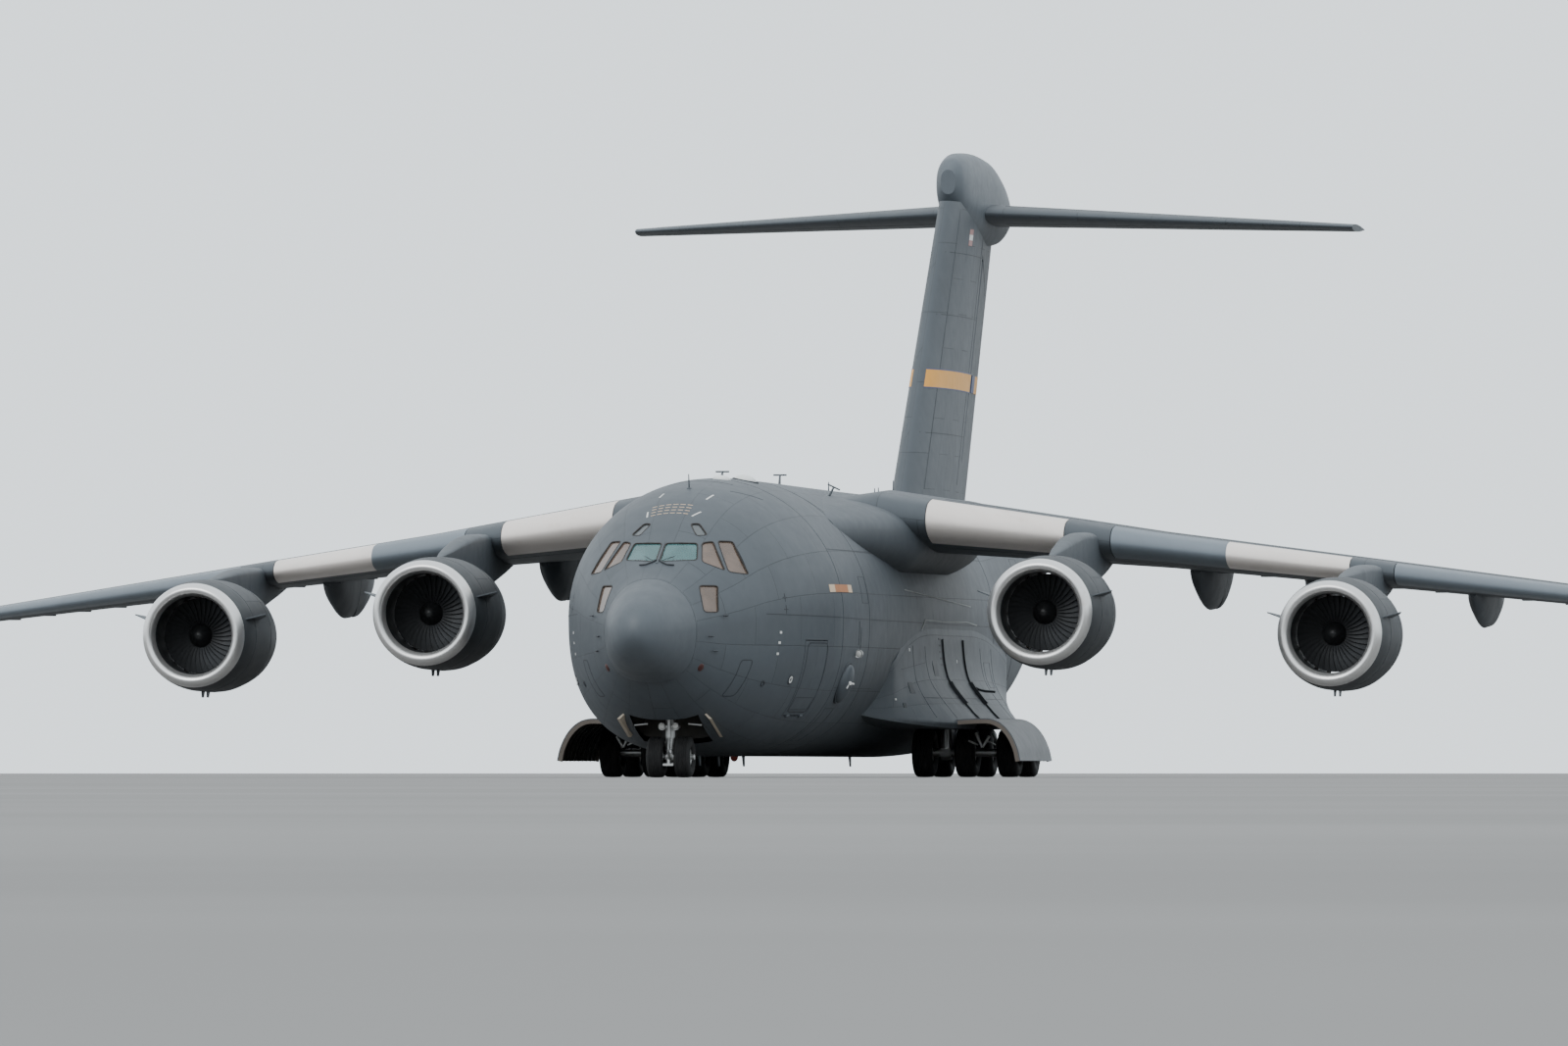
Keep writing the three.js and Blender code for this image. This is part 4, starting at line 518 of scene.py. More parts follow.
def mirror_piece(piece, name, finish, body="airframe", node=None):
    """A copy of a piece on the other side, its faces turned round so that they point outwards."""
    mesh = piece.data.copy()
    mesh.transform(Matrix.Scale(-1, 4, Vector((1, 0, 0))))
    mesh.flip_normals()
    other = bpy.data.objects.new(name, mesh)
    bpy.context.scene.collection.objects.link(other)
    for modifier in piece.modifiers:
        copy = other.modifiers.new(modifier.name, modifier.type)
        for key in ("width", "segments", "limit_method", "angle_limit", "harden_normals"):
            setattr(copy, key, getattr(modifier, key))
    declare(other, finish, body, node)


def make_pair(name, forms, finish, body="airframe", node="", slot=None, **options):
    """A port piece and its mirror image. body and node may hold {} for the side."""
    port = make(f"{name}_port", forms, finish, body.format("port"), node.format("port"), slot=slot, **options)
    mirror_piece(port, f"{name}_starboard", finish, body.format("starboard"), node.format("starboard"))


# Shader maths

class Value:
    """A socket in a material. Arithmetic on it adds Math nodes."""

    def __init__(self, look, socket):
        self.look = look
        self.socket = socket

    def math(self, operation, *others):
        """The result of a Math node on this value and others."""
        values = {i: other for i, other in enumerate((self, *others))}
        return Value(self.look, self.look.node("ShaderNodeMath", {"operation": operation}, values).outputs[0])

    def __add__(self, other):
        return self.math("ADD", other)

    __radd__ = __add__

    def __mul__(self, other):
        return self.math("MULTIPLY", other)

    __rmul__ = __mul__

    def __sub__(self, other):
        return self.math("SUBTRACT", other)

    def __rsub__(self, other):
        return (self * -1) + other

    def above(self, low, high):
        """0 under low, 1 over high and a smooth rise between them."""
        values = {"Value": self, "From Min": low, "From Max": high}
        settings = {"interpolation_type": "SMOOTHSTEP"}
        return Value(self.look, self.look.node("ShaderNodeMapRange", settings, values).outputs[0])


class Look:
    """A material's node tree, with a Principled shader."""

    def __init__(self, name, **constants):
        self.material = bpy.data.materials.new(name)
        self.material.use_nodes = True
        self.tree = self.material.node_tree
        self.shader = self.tree.nodes["Principled BSDF"]
        for key, value in constants.items():
            self.shader.inputs[key.replace("_", " ")].default_value = value
        self.place = self.node("ShaderNodeTexCoord").outputs["Object"]

    def node(self, kind, settings=None, values=None):
        """A node of one kind, with its settings and then the values or links of its sockets."""
        made = self.tree.nodes.new(kind)
        for key, value in (settings or {}).items():
            setattr(made, key, value)
        for key, value in (values or {}).items():
            self.feed(made.inputs[key], value)
        return made

    def feed(self, socket, value):
        """Links a socket, or sets its value."""
        if isinstance(value, Value):
            value = value.socket
        if isinstance(value, bpy.types.NodeSocket):
            self.tree.links.new(value, socket)
        else:
            socket.default_value = value

    def mapped(self, scale):
        """Object coordinates, scaled by a Mapping node."""
        return self.node("ShaderNodeMapping", None, {"Vector": self.place, "Scale": scale}).outputs[0]

    def noise(self, scale, detail=3.0, roughness=0.55, source=None, distortion=0.0):
        """Cloudy noise from 0 to 1 with the given number of clouds a metre."""
        values = {"Vector": source or self.place, "Scale": scale, "Detail": detail, "Roughness": roughness,
                  "Distortion": distortion}
        return Value(self, self.node("ShaderNodeTexNoise", None, values).outputs[0])

    def across(self):
        """The distance from the middle plane."""
        split = self.node("ShaderNodeSeparateXYZ", None, {0: self.place})
        return Value(self, split.outputs[0]).math("ABSOLUTE")

    def mix(self, factor, first, second, blend="MIX"):
        """Two colours mixed by a factor."""
        settings = {"data_type": "RGBA", "blend_type": blend}
        return self.node("ShaderNodeMix", settings, {0: factor, 6: first, 7: second}).outputs[2]

    def bump(self, height, distance, strength=1.0):
        """A Bump node on the shader's normal, its distance in metres."""
        values = {"Height": height, "Distance": distance, "Strength": strength}
        self.feed(self.shader.inputs["Normal"], self.node("ShaderNodeBump", None, values).outputs[0])

    def set(self, **values):
        """Feeds the shader's own sockets."""
        for key, value in values.items():
            self.feed(self.shader.inputs[key.replace("_", " ")], value)
        return self.material


def shade(colour, factor):
    """A colour made darker or lighter, with full alpha."""
    return (*[min(1.0, channel * factor) for channel in colour[:3]], 1.0)


_looks = {}


def look(name):
    """The finished material of that name, made once."""
    if name not in _looks:
        _looks[name] = LOOKS[name]()
    return _looks[name]


def weathered(surface, colour, grime=0.3):
    """A paint colour with cloudy fading, small stains and streaks that run down."""
    fade = surface.noise(0.5, 4.0).above(0.3, 0.75)
    mottle = surface.noise(3.5, 5.0, 0.65).above(0.35, 0.7)
    streak = surface.noise(1.0, 4.0, 0.6, surface.mapped((9.0, 9.0, 0.7))).above(0.5, 0.8)
    stain = surface.noise(1.6, 6.0, 0.7, distortion=0.6).above(0.62, 0.8)
    base = surface.mix(fade, shade(colour, 0.93), shade(colour, 1.06))
    base = surface.mix(mottle * 0.5, base, shade(colour, 0.9))
    base = surface.mix(streak * grime * 0.6, base, shade(colour, 0.72))
    return surface.mix(stain * grime, base, (colour[0] * 0.66, colour[1] * 0.62, colour[2] * 0.58, 1.0))


def painted_metal(name, colour, panel=(2.2, 1.1), line=0.55):
    """Matt aircraft paint over panels. The panel joints are bricks on the skin's own UV map, which
    holds full-size metres along the body and round it."""
    surface = Look(name, Metallic=0.0, Specular_IOR_Level=0.35)
    along = surface.node("ShaderNodeUVMap", {"uv_map": "skin"}).outputs[0]
    values = {"Vector": along, "Color1": (1, 1, 1, 1), "Color2": (0.93, 0.93, 0.93, 1),
              "Mortar": (1, 1, 1, 1), "Scale": 1.0, "Mortar Size": 0.012, "Mortar Smooth": 0.3,
              "Brick Width": panel[0], "Row Height": panel[1]}
    bricks = surface.node("ShaderNodeTexBrick", {"offset": 0.5, "offset_frequency": 2}, values)
    joints = Value(surface, bricks.outputs["Fac"])
    base = weathered(surface, colour)
    base = surface.mix(1.0, base, bricks.outputs["Color"], "MULTIPLY")
    base = surface.mix(joints * line, base, shade(colour, 0.35))
    rough = 0.55 + (surface.noise(6.0, 3.0) - 0.5) * 0.16
    ripple = surface.noise(1.3, 2.0)
    surface.bump((joints * -1.0) + ripple * 0.8 + surface.noise(60.0, 2.0) * 0.05, 0.004, 0.8)
    return surface.set(Base_Color=base, Roughness=rough)


def plain_paint(name, colour, roughness=0.55, grime=0.35):
    """Matt paint without panel joints, for composite parts and fittings."""
    surface = Look(name, Metallic=0.0, Specular_IOR_Level=0.35)
    rough = roughness + (surface.noise(7.0, 3.0) - 0.5) * 0.18
    surface.bump(surface.noise(1.5, 2.0) + surface.noise(70.0, 2.0) * 0.06, 0.003, 0.6)
    return surface.set(Base_Color=weathered(surface, colour, grime), Roughness=rough)


def bare_metal(name, colour, roughness=0.32, brushed=(2.0, 60.0, 60.0), dull=0.5, metal=0.85):
    """Bare metal with fine brushing, dull patches and brownish stains."""
    surface = Look(name, Metallic=metal)
    grain = surface.noise(4.0, 4.0, 0.6, surface.mapped(brushed))
    patch = surface.noise(1.1, 5.0, 0.6, distortion=0.5).above(0.4, 0.7)
    dirt = surface.noise(2.3, 6.0, 0.7).above(0.55, 0.8)
    base = surface.mix(patch * dull, shade(colour, 1.0), shade(colour, 0.78))
    base = surface.mix(dirt * 0.5, base, (colour[0] * 0.62, colour[1] * 0.5, colour[2] * 0.4, 1.0))
    surface.bump(grain, 0.0006, 0.5)
    return surface.set(Base_Color=base, Roughness=roughness + grain * 0.14 + patch * 0.12)


def part_bare_slat(name, colour, paint, edge):
    """A slat painted near the fuselage and bare beyond a distance from the middle plane."""
    surface = Look(name, Metallic=0.3)
    out = surface.across().above(edge - 0.004, edge + 0.004)
    patch = surface.noise(1.1, 5.0, 0.6, distortion=0.5).above(0.4, 0.7)
    bare = surface.mix(patch * 0.4, shade(colour, 1.0), shade(colour, 0.8))
    surface.bump(surface.noise(40.0, 2.0), 0.0006, 0.4)
    return surface.set(Base_Color=surface.mix(out, weathered(surface, paint), bare),
                       Roughness=0.55 - out * 0.15)


def painted_shade_interior(name, colour, roughness=0.7):
    """Dark metal inside engines and bays, with sooty mottling; its very dark colour is painted shade in these
    recesses.
    """
    surface = Look(name, Metallic=0.3)
    soot = surface.noise(4.0, 5.0, 0.65).above(0.35, 0.75)
    base = surface.mix(soot, shade(colour, 0.7), shade(colour, 1.3))
    surface.bump(surface.noise(25.0, 3.0), 0.001, 0.5)
    return surface.set(Base_Color=base, Roughness=roughness + (soot - 0.5) * 0.15)


def tyre_rubber(name, colour):
    """Black rubber, greyer and dustier in cloudy patches."""
    surface = Look(name, Metallic=0.0, Specular_IOR_Level=0.3)
    dust = surface.noise(9.0, 5.0, 0.7).above(0.4, 0.75)
    base = surface.mix(dust * 0.4, shade(colour, 1.0), (0.045, 0.042, 0.04, 1.0))
    surface.bump(surface.noise(120.0, 3.0), 0.0008, 0.6)
    return surface.set(Base_Color=base, Roughness=0.82 + (dust - 0.5) * 0.12)


def glass(name, colour, alpha, roughness=0.06):
    """Coated cockpit glass: tinted, glossy, partly seen through, with a faint cloudy haze."""
    surface = Look(name, Metallic=0.0, IOR=1.5, Specular_IOR_Level=0.6)
    haze = surface.noise(3.0, 3.0).above(0.35, 0.75)
    base = surface.mix(haze, shade(colour, 0.85), shade(colour, 1.15))
    return surface.set(Base_Color=base, Roughness=roughness + haze * 0.05, Alpha=alpha + haze * 0.06)


def lamp_glass(name, colour, glow):
    """A lamp lens with a faint glow and ribs."""
    surface = Look(name, Roughness=0.12, Emission_Strength=glow)
    ribs = surface.noise(90.0, 1.0)
    surface.bump(ribs, 0.0005, 0.6)
    core = surface.mix(ribs, shade(colour, 0.7), shade(colour, 1.0))
    return surface.set(Base_Color=core, Emission_Color=core)


def colours():
    """The colours that a user may change."""
    return bpy.context.scene.aircraft_colours


LOOKS = {
    "hull": lambda: painted_metal("hull_paint", colours().paint),
    # The cowls take the hull paint at half its brightness: painted shadow of the wings over them.
    "cowl": lambda: painted_metal("cowl_paint_with_painted_shadow", shade(colours().paint, 0.5), panel=(1.9, 1.2), line=0.4),
    "dark_red": lambda: plain_paint("dark_red_lens", (0.055, 0.016, 0.014), 0.3, 0.2),
    "rim": lambda: plain_paint("door_rim_paint", (0.17, 0.145, 0.125), 0.6, 0.4),
    # The leading edges' paint is a lighter grey than the hull's, raised to 2.3 times the hull paint as
    # painted sky light on the curved edge.
    "lead_edge": lambda: plain_paint("leading_edge_paint_with_painted_light", shade(colours().paint, 2.3), 0.45, 0.25),
    "bullet": lambda: plain_paint("tail_fairing_paint", shade(colours().paint, 1.35), 0.5, 0.3),
    "wing": lambda: painted_metal("wing_paint", colours().paint, panel=(1.9, 1.2), line=0.5),
    "radome": lambda: plain_paint("radome_paint", colours().radome, 0.5, 0.45),
    "composite": lambda: plain_paint("composite_paint", colours().composite),
    "fitting": lambda: plain_paint("fitting_paint", colours().composite, 0.5, 0.2),
    "slat": lambda: bare_metal("bare_slat_metal", colours().slat, 0.4, dull=0.3, metal=0.35),
    # The middle slats' painted part is a lighter grey, raised to 2.6 times the hull paint as painted sky
    # light on the curved edge.
    "slat_part": lambda: part_bare_slat("part_bare_slat", colours().slat, shade(colours().paint, 2.6), 5.5),
    "lip": lambda: bare_metal("polished_lip_metal", colours().lip, 0.24, (30.0, 30.0, 30.0), 0.3),
    "steel": lambda: bare_metal("gear_steel", colours().steel, 0.34, (20.0, 20.0, 3.0)),
    "chrome": lambda: bare_metal("piston_chrome", (0.8, 0.8, 0.79), 0.12, (40.0, 40.0, 40.0), 0.1),
    "exhaust": lambda: bare_metal("exhaust_metal", (0.3, 0.26, 0.22), 0.42),
    # The flight deck's near-black colour is painted shade inside the cockpit.
    "dark": lambda: painted_shade_interior("painted_shade_interior", (0.02, 0.021, 0.023)),
    # The inlet ducts and spinners are near-black: painted shade inside the inlets.
    "duct": lambda: painted_shade_interior("inlet_duct_painted_shade", (0.011, 0.0115, 0.0125), 0.5),
    # The fan blades' dark grey is painted shade inside the inlets.
    "blade": lambda: bare_metal("fan_blade_metal_painted_shade", (0.06, 0.062, 0.065), 0.3),
    "tyre": lambda: tyre_rubber("tyre_rubber", (0.013, 0.013, 0.0135)),
    "seal": lambda: tyre_rubber("rubber_seal", (0.035, 0.031, 0.028)),
    "primer": lambda: plain_paint("door_lining", colours().primer, 0.55, 0.8),
    "seam": lambda: plain_paint("panel_seam", (0.03, 0.034, 0.04), 0.6, 0.2),
    "seam_soft": lambda: plain_paint("soft_seam", shade(colours().paint, 0.62), 0.6, 0.2),
    "sealant": lambda: plain_paint("edge_sealant", (0.33, 0.34, 0.33), 0.6, 0.5),
    "door_paint": lambda: plain_paint("gear_door_paint", (0.112, 0.121, 0.132), 0.5, 0.4),
    "mark_orange": lambda: plain_paint("orange_marking", (0.42, 0.17, 0.07), 0.55, 0.4),
    "mark_pink": lambda: plain_paint("faded_red_marking", (0.36, 0.2, 0.19), 0.55, 0.3),
    # The bays' and door linings' near-black brown is painted shade in these recesses.
    "bay": lambda: painted_shade_interior("bay_lining_painted_shade", (0.045, 0.042, 0.036), 0.7),
    "white": lambda: plain_paint("white_fittings", (0.72, 0.73, 0.72), 0.45, 0.2),
    "front_glass": lambda: glass("front_glass", colours().front_glass, 0.72),
    "side_glass": lambda: glass("side_glass", colours().side_glass, 0.82, 0.12),
    "brow_glass": lambda: glass("brow_glass", (0.09, 0.1, 0.105), 0.85, 0.1),
    "lamp": lambda: lamp_glass("lamp_glass", (0.5, 0.5, 0.48), 0.12),
    "lamp_red": lambda: lamp_glass("red_lens", (0.25, 0.05, 0.04), 0.05),
    "lamp_green": lambda: lamp_glass("green_lens", (0.03, 0.2, 0.1), 0.05),
    "mark_pale": lambda: plain_paint("pale_marking", (0.62, 0.62, 0.6), 0.5, 0.5),
    "mark_sand": lambda: plain_paint("sand_marking", (0.62, 0.47, 0.33), 0.55, 0.5),
    "mark_dark": lambda: plain_paint("dark_marking", (0.03, 0.034, 0.04), 0.55, 0.2),
    "mark_yellow": lambda: plain_paint("yellow_band", (0.72, 0.33, 0.035), 0.5, 0.15),
    "mark_blue": lambda: plain_paint("blue_band", (0.03, 0.05, 0.14), 0.5, 0.15),
}


# Hull surface

def hull_rows(station):
    """Low, high, half width, widest height and upper power of the hull. Stations run on the scale of
    their square root, which closes the nose round."""
    return smooth_rows(HULL, station, np.sqrt)


def hull_points(station, angle, inset=0.0):
    """Points of the hull at a station and an angle round it, each quarter a rounded rectangle."""
    low, high, half, middle, crown = hull_rows(station)
    upper = np.sin(angle) >= 0
    tall = np.where(upper, high - middle, middle - low) - inset
    power = np.where(upper, crown, BELLY_POWER)
    x, z = power_ring(angle, np.maximum(half - inset, 0), np.maximum(tall, 0), power)
    return np.stack([x, np.broadcast_to(station, x.shape), middle + z], -1)


def hull_grid(start, end, rows, columns, inset=0.0):
    """The hull's points and UV grid between two stations. It is split at the keel, and the UV pair
    holds metres along the hull and metres round a barrel of its largest radius."""
    root = np.linspace(math.sqrt(max(start, 0)), math.sqrt(end), rows)
    station = (root ** 2)[:, None]
    angle = (-np.pi / 2 + np.linspace(0, 2 * np.pi, columns + 1))[None, :]
    points = hull_points(station, angle, inset)
    round_it = np.broadcast_to((angle - np.pi / 2) * UV_RADIUS + 40, (rows, columns + 1))
    uv = np.stack([np.broadcast_to(station, round_it.shape), round_it], -1)
    return points[:, :-1], uv


def hull_solid(start, end, rows, columns, inset=0.0):
    """The hull as a closed solid between two stations."""
    points, uv = hull_grid(start, end, rows, columns, inset)
    return skin(points, uv=uv)


def hull_shell(start, end, rows, columns=SHELL_COLUMNS, outside=0.0, inside=WALL):
    """The hull's wall between two stations and two depths under its skin, open at both ends."""
    outer, uv = hull_grid(start, end, rows, columns, outside)
    inner, _ = hull_grid(start, end, rows, columns, inside)
    return sheet_solid(outer, inner, uv)


def quarter(station, z):
    """Half width of the hull, and the middle, height and power of its quarter above or below there."""
    low, high, half, middle, crown = hull_rows(station)
    upper = z >= middle
    return half, middle, np.where(upper, high - middle, middle - low), np.where(upper, crown, BELLY_POWER)


def station_in_front_view(x, z):
    """The station at which the hull passes through x and z of the front view, by halving the interval."""
    x, z = np.broadcast_arrays(np.asarray(x, float), np.asarray(z, float))
    ahead, behind = np.zeros(x.shape), np.full(x.shape, FORWARD_JOINT)
    for _ in range(40):
        station = (ahead + behind) / 2
        half, middle, tall, power = quarter(station, z)
        inside = (np.abs(x) / half) ** power + (np.abs(z - middle) / tall) ** power < 1
        behind = np.where(inside, station, behind)
        ahead = np.where(inside, ahead, station)
    return behind


def on_nose(outline):
    """An outline of the front view, set on the hull."""
    x, z = np.asarray(outline, float).T
    return np.column_stack([x, station_in_front_view(x, z), z])


def on_side(outline):
    """Points given as station and height, set on the hull's port side."""
    outline = np.asarray(outline, float)
    station, z = outline[:, 0], outline[:, 1]
    half, middle, tall, power = quarter(station, z)
    share = np.clip(np.abs(z - middle) / tall, 0, 1)
    x = half * (1 - share ** power) ** (1 / power)
    return np.column_stack([x, station, z])


def hull_normals(points):
    """Outward directions of the hull at points on it, from the slope of its implicit form."""
    def form(p):
        half, middle, tall, power = quarter(np.maximum(p[:, 1], 1e-4), p[:, 2])
        return (np.abs(p[:, 0]) / half) ** power + (np.abs(p[:, 2] - middle) / tall) ** power
    steps = 1e-3 * np.eye(3)
    return unit(np.stack([form(points + step) - form(points - step) for step in steps], -1))


def ribbon(path, normals, width, proud, closed=False, sunk=0.01):
    """A flat strip along a path on a surface: a rectangle carried along it, from sunk under the
    surface to proud over it, square to the path and to the normals."""
    path = np.asarray(path, float)
    if closed:
        along = np.roll(path, -1, axis=0) - np.roll(path, 1, axis=0)
    else:
        along = np.gradient(path, axis=0)
    side = unit(np.cross(unit(along), normals))
    corners = [(-0.5, -sunk), (0.5, -sunk), (0.5, proud), (-0.5, proud)]
    rings = np.stack([path + u * width * side + v * normals for u, v in corners], 1)
    if not closed:
        return skin(rings)
    return skin(np.concatenate([rings, rings[:1]]), caps=False).looped(len(path) * 4)


def densified(points, step, closed=False):
    """A path with more points on it, at most a step apart."""
    points = np.asarray(points, float)
    ends = np.roll(points, -1, axis=0) if closed else points[1:]
    found = []
    for start, end in zip(points, ends):
        count = max(1, math.ceil(np.linalg.norm(end - start) / step))
        found.append(start + (end - start) * np.linspace(0, 1, count, endpoint=False)[:, None])
    if not closed:
        found.append(points[-1:])
    return np.concatenate(found)


def window_prism(corners, shrink=0.0):
    """A block through the hull's wall over one window: its rounded outline on the hull, carried both
    ways along the window's own normal."""
    outline = rounded(corners, PANE_ROUND)
    centre = outline.mean(axis=0)
    away = outline - centre
    outline = centre + away * (1 - shrink / np.linalg.norm(away, axis=1)[:, None])
    points = on_nose(outline)
    a, b, c, d = on_nose(np.asarray(corners, float))
    normal = np.cross(c - a, d - b)
    reach = normal / np.linalg.norm(normal) * PANE_REACH
    return skin(np.stack([points - reach, points + reach]))


def crew_door_block(grow):
    """A block through the wall where the crew door is, turned to the hull's side."""
    inside, outside = CREW_DOOR_REACH
    half = CREW_DOOR["length"] / 2 + grow
    low, high = CREW_DOOR["low"] - grow, CREW_DOOR["high"] + grow
    c, s = math.cos(-CREW_DOOR["turn"]), math.sin(-CREW_DOOR["turn"])
    form = block((-inside, -half, low), (outside, half, high))
    return form.moved([[c, -s, 0], [s, c, 0], [0, 0, 1]], (CREW_DOOR["x"], CREW_DOOR["station"], 0))


def crew_hinge_point(distance):
    """A point on the crew door's hinge line, at a distance from its middle."""
    turn = CREW_DOOR["turn"]
    return (CREW_DOOR["x"] + distance * math.sin(turn), CREW_DOOR["station"] + distance * math.cos(turn),
            CREW_KNUCKLES["height"])


def crew_knuckles(grow):
    """The crew door's two hinge knuckles, or the room that they turn in."""
    near, far, radius = CREW_KNUCKLES["near"], CREW_KNUCKLES["far"], CREW_KNUCKLES["radius"]
    ends = [(side * (near - grow), side * (far + grow)) for side in (1, -1)]
    return [rod(crew_hinge_point(a), crew_hinge_point(b), radius + grow, 24) for a, b in ends]


def build_hull():
    """The nose, the forward and centre fuselage, and the bay of the nose gear."""
    points, uv = hull_grid(0, RADOME_JOINT - GAP, HULL_ROWS["radome"], RADOME_COLUMNS)
    make("radome_skin", skin(points, uv=uv), "radome", node="radome")
    half, front, back, roof, wall = (NOSE_BAY[key] for key in ("half", "front", "back", "roof", "wall"))
    panes = [window_prism(corners) for corners in FRONT_PANES + SIDE_PANES + SMALL_PANES]
    bay = block((-half, front, -1), (half, back, roof))
    cuts = [merged(both(panes)), crew_door_block(DOOR_GAP), bay, *crew_knuckles(GAP)]
    forward = hull_shell(RADOME_JOINT, FORWARD_JOINT - GAP, HULL_ROWS["forward"])
    make("forward_skin", forward, "hull", node="forward_fuselage", cuts=cuts)
    liner = block((-half - wall, front - wall, 0), (half + wall, back + wall, roof + wall))
    # The nose bay's liner is dark: painted shade inside the bay.
    make("nose_bay_liner", liner, "bay", cuts=[bay],
         keep=[hull_solid(RADOME_JOINT, FORWARD_JOINT, HULL_ROWS["centre"], CUT_COLUMNS)])
    centre = hull_shell(FORWARD_JOINT, RAMP_JOINT - GAP, HULL_ROWS["centre"])
    make("centre_skin", centre, "hull", node="centre_fuselage")


def ramp_outline(grow):
    """The cargo ramp's side view, as station and height."""
    front, back = RAMP["front"] - grow, RAMP["back"] + grow
    return [[front, 0], [back, 0], [back, 1.45], [back - RAMP["bevel"], RAMP["tail_top"] + grow],
            [front, RAMP["top"] + grow]]


def cargo_door_outline(grow):
    """The cargo door's outline in plan."""
    front, back = CARGO_DOOR["front"] - grow, CARGO_DOOR["back"] + grow
    wide, narrow = CARGO_DOOR["front_half"] + grow, CARGO_DOOR["back_half"] + grow
    return [[-wide, front], [wide, front], [narrow, back], [-narrow, back]]


def cargo_knuckles(grow):
    """The cargo door's two hinge knuckles, or the room that they turn in."""
    y, z = CARGO_KNUCKLES["station"], CARGO_KNUCKLES["height"]
    near, far, radius = (CARGO_KNUCKLES[key] for key in ("from", "to", "radius"))
    ends = [(side * (near - grow), side * (far + grow)) for side in (1, -1)]
    return [rod((a, y, z), (b, y, z), radius + grow, 64) for a, b in ends]


def build_tail_hull():
    """The aft fuselage with its ramp and door openings, and the strakes under it."""
    half, front = RAMP["half"] + DOOR_GAP, RAMP["front"]
    wide = CARGO_DOOR["front_half"]
    rows = HULL_ROWS["aft"]
    outer, uv = hull_grid(RAMP_JOINT, HULL_END, rows, SHELL_COLUMNS)
    inner, _ = hull_grid(RAMP_JOINT, HULL_END - 1.2, rows, SHELL_COLUMNS, WALL)
    cuts = [
        skin(np.concatenate([inner[:1] - (0, 1, 0), inner])),
        prism(ramp_outline(DOOR_GAP), -half, half, 0),
        block((-half, RAMP_JOINT - 1, -1), (half, front + 1, RAMP["top"])),
        prism(cargo_door_outline(DOOR_GAP), -1, CARGO_DOOR["high"] + DOOR_GAP, 2),
        block((-wide, RAMP["back"] - 0.2, -1), (wide, CARGO_DOOR["front"], 3)),
        *cargo_knuckles(GAP),
    ]
    make("aft_skin", skin(outer, uv=uv), "hull", node="aft_fuselage", cuts=cuts)
    low = float(hull_rows(np.array(STRAKE_BACK))[0])
    outline = [[station, low + height] for station, height in STRAKE_OUTLINE]
    strake = prism(outline, STRAKE_X - STRAKE_THICK / 2, STRAKE_X + STRAKE_THICK / 2, 0)
    make_pair("tail_strake", strake, "composite", bevel=0.02,
              cuts=[hull_solid(STRAKE_OUTLINE[0][0] - 1, HULL_END, HULL_ROWS["ramp"], CUT_COLUMNS, WALL)])


def build_crew_door():
    """The crew door with its hinge knuckles and the folded steps on its inner face."""
    wall = hull_shell(RADOME_JOINT, FORWARD_JOINT - GAP, HULL_ROWS["forward"])
    make("crew_door_skin", wall, "hull", "crew_door_body", "crew_door", keep=[crew_door_block(0)])
    make("crew_door_knuckles", crew_knuckles(0), "composite", "crew_door_body")
    treads = []
    middle, half, thick = CREW_DOOR["station"], CREW_STEPS["half"], CREW_STEPS["thick"]
    low, high = CREW_DOOR["low"] + CREW_STEPS["margin"], CREW_DOOR["high"] - CREW_STEPS["margin"]
    for height in np.linspace(low, high, CREW_STEPS["count"]):
        x = float(on_side([[middle, height]])[0, 0]) - WALL - CREW_STEPS["gap"]
        treads.append(block((x - CREW_STEPS["inner"], middle - half, height - thick),
                            (x + CREW_STEPS["outer"], middle + half, height + thick)))
    make("crew_door_steps", treads, "steel", "crew_door_body", bevel=0.006)


def build_cargo_doors():
    """The cargo ramp with its hinge barrel, and the cargo door with its knuckles."""
    ramp = hull_solid(RAMP_JOINT - 0.02, RAMP["back"] + 1, HULL_ROWS["ramp"], SHELL_COLUMNS)
    make("ramp_skin", ramp, "hull", "ramp_body", "cargo_ramp",
         keep=[prism(ramp_outline(0), -RAMP["half"], RAMP["half"], 0)])
    ends = [(side * RAMP_HINGE["half"], RAMP_HINGE["station"], RAMP_HINGE["height"]) for side in (-1, 1)]
    make("ramp_hinge_barrel", rod(*ends, RAMP_HINGE["radius"], 24), "steel", "ramp_body")
    wall = hull_shell(RAMP["back"], CARGO_DOOR["back"] + 0.5, HULL_ROWS["cargo"])
    make("cargo_door_skin", wall, "hull", "cargo_door_body", "cargo_door",
         keep=[prism(cargo_door_outline(0), -1, CARGO_DOOR["high"], 2)])
    make("cargo_door_knuckles", cargo_knuckles(0), "steel", "cargo_door_body")


def build_glass():
    """The cockpit's panes, each a patch of a thin shell just inside the hull's skin, and their seals."""
    shell = hull_shell(*GLASS_STATIONS, HULL_ROWS["panes"], PANE_COLUMNS, PANE_DEPTH, PANE_DEPTH + PANE_THICK)
    groups = [("windscreen_panes", FRONT_PANES, "front_glass", "cockpit_glazing"),
              ("side_panes", SIDE_PANES, "side_glass", None),
              ("brow_panes", SMALL_PANES[:1], "brow_glass", None),
              ("chin_panes", SMALL_PANES[1:], "side_glass", None)]
    for name, corners, tint, node in groups:
        prisms = merged(both([window_prism(item, 0.006) for item in corners]))
        make(name, shell, tint, node=node, keep=[prisms])
    seals = []
    for corners in FRONT_PANES + SIDE_PANES + SMALL_PANES:
        outline = on_nose(densified(rounded(corners, PANE_ROUND), 0.12, closed=True))
        seals.append(ribbon(outline, hull_normals(outline), 0.026, 0.005, closed=True, sunk=0.04))
    make("window_seals", both(seals), "seal")


# Lifting surfaces

def profile_at(profile, fraction):
    """A section's height at chord fractions, smooth in the square root, so its nose is round."""
    return smooth_rows(profile, fraction, np.sqrt)[0]


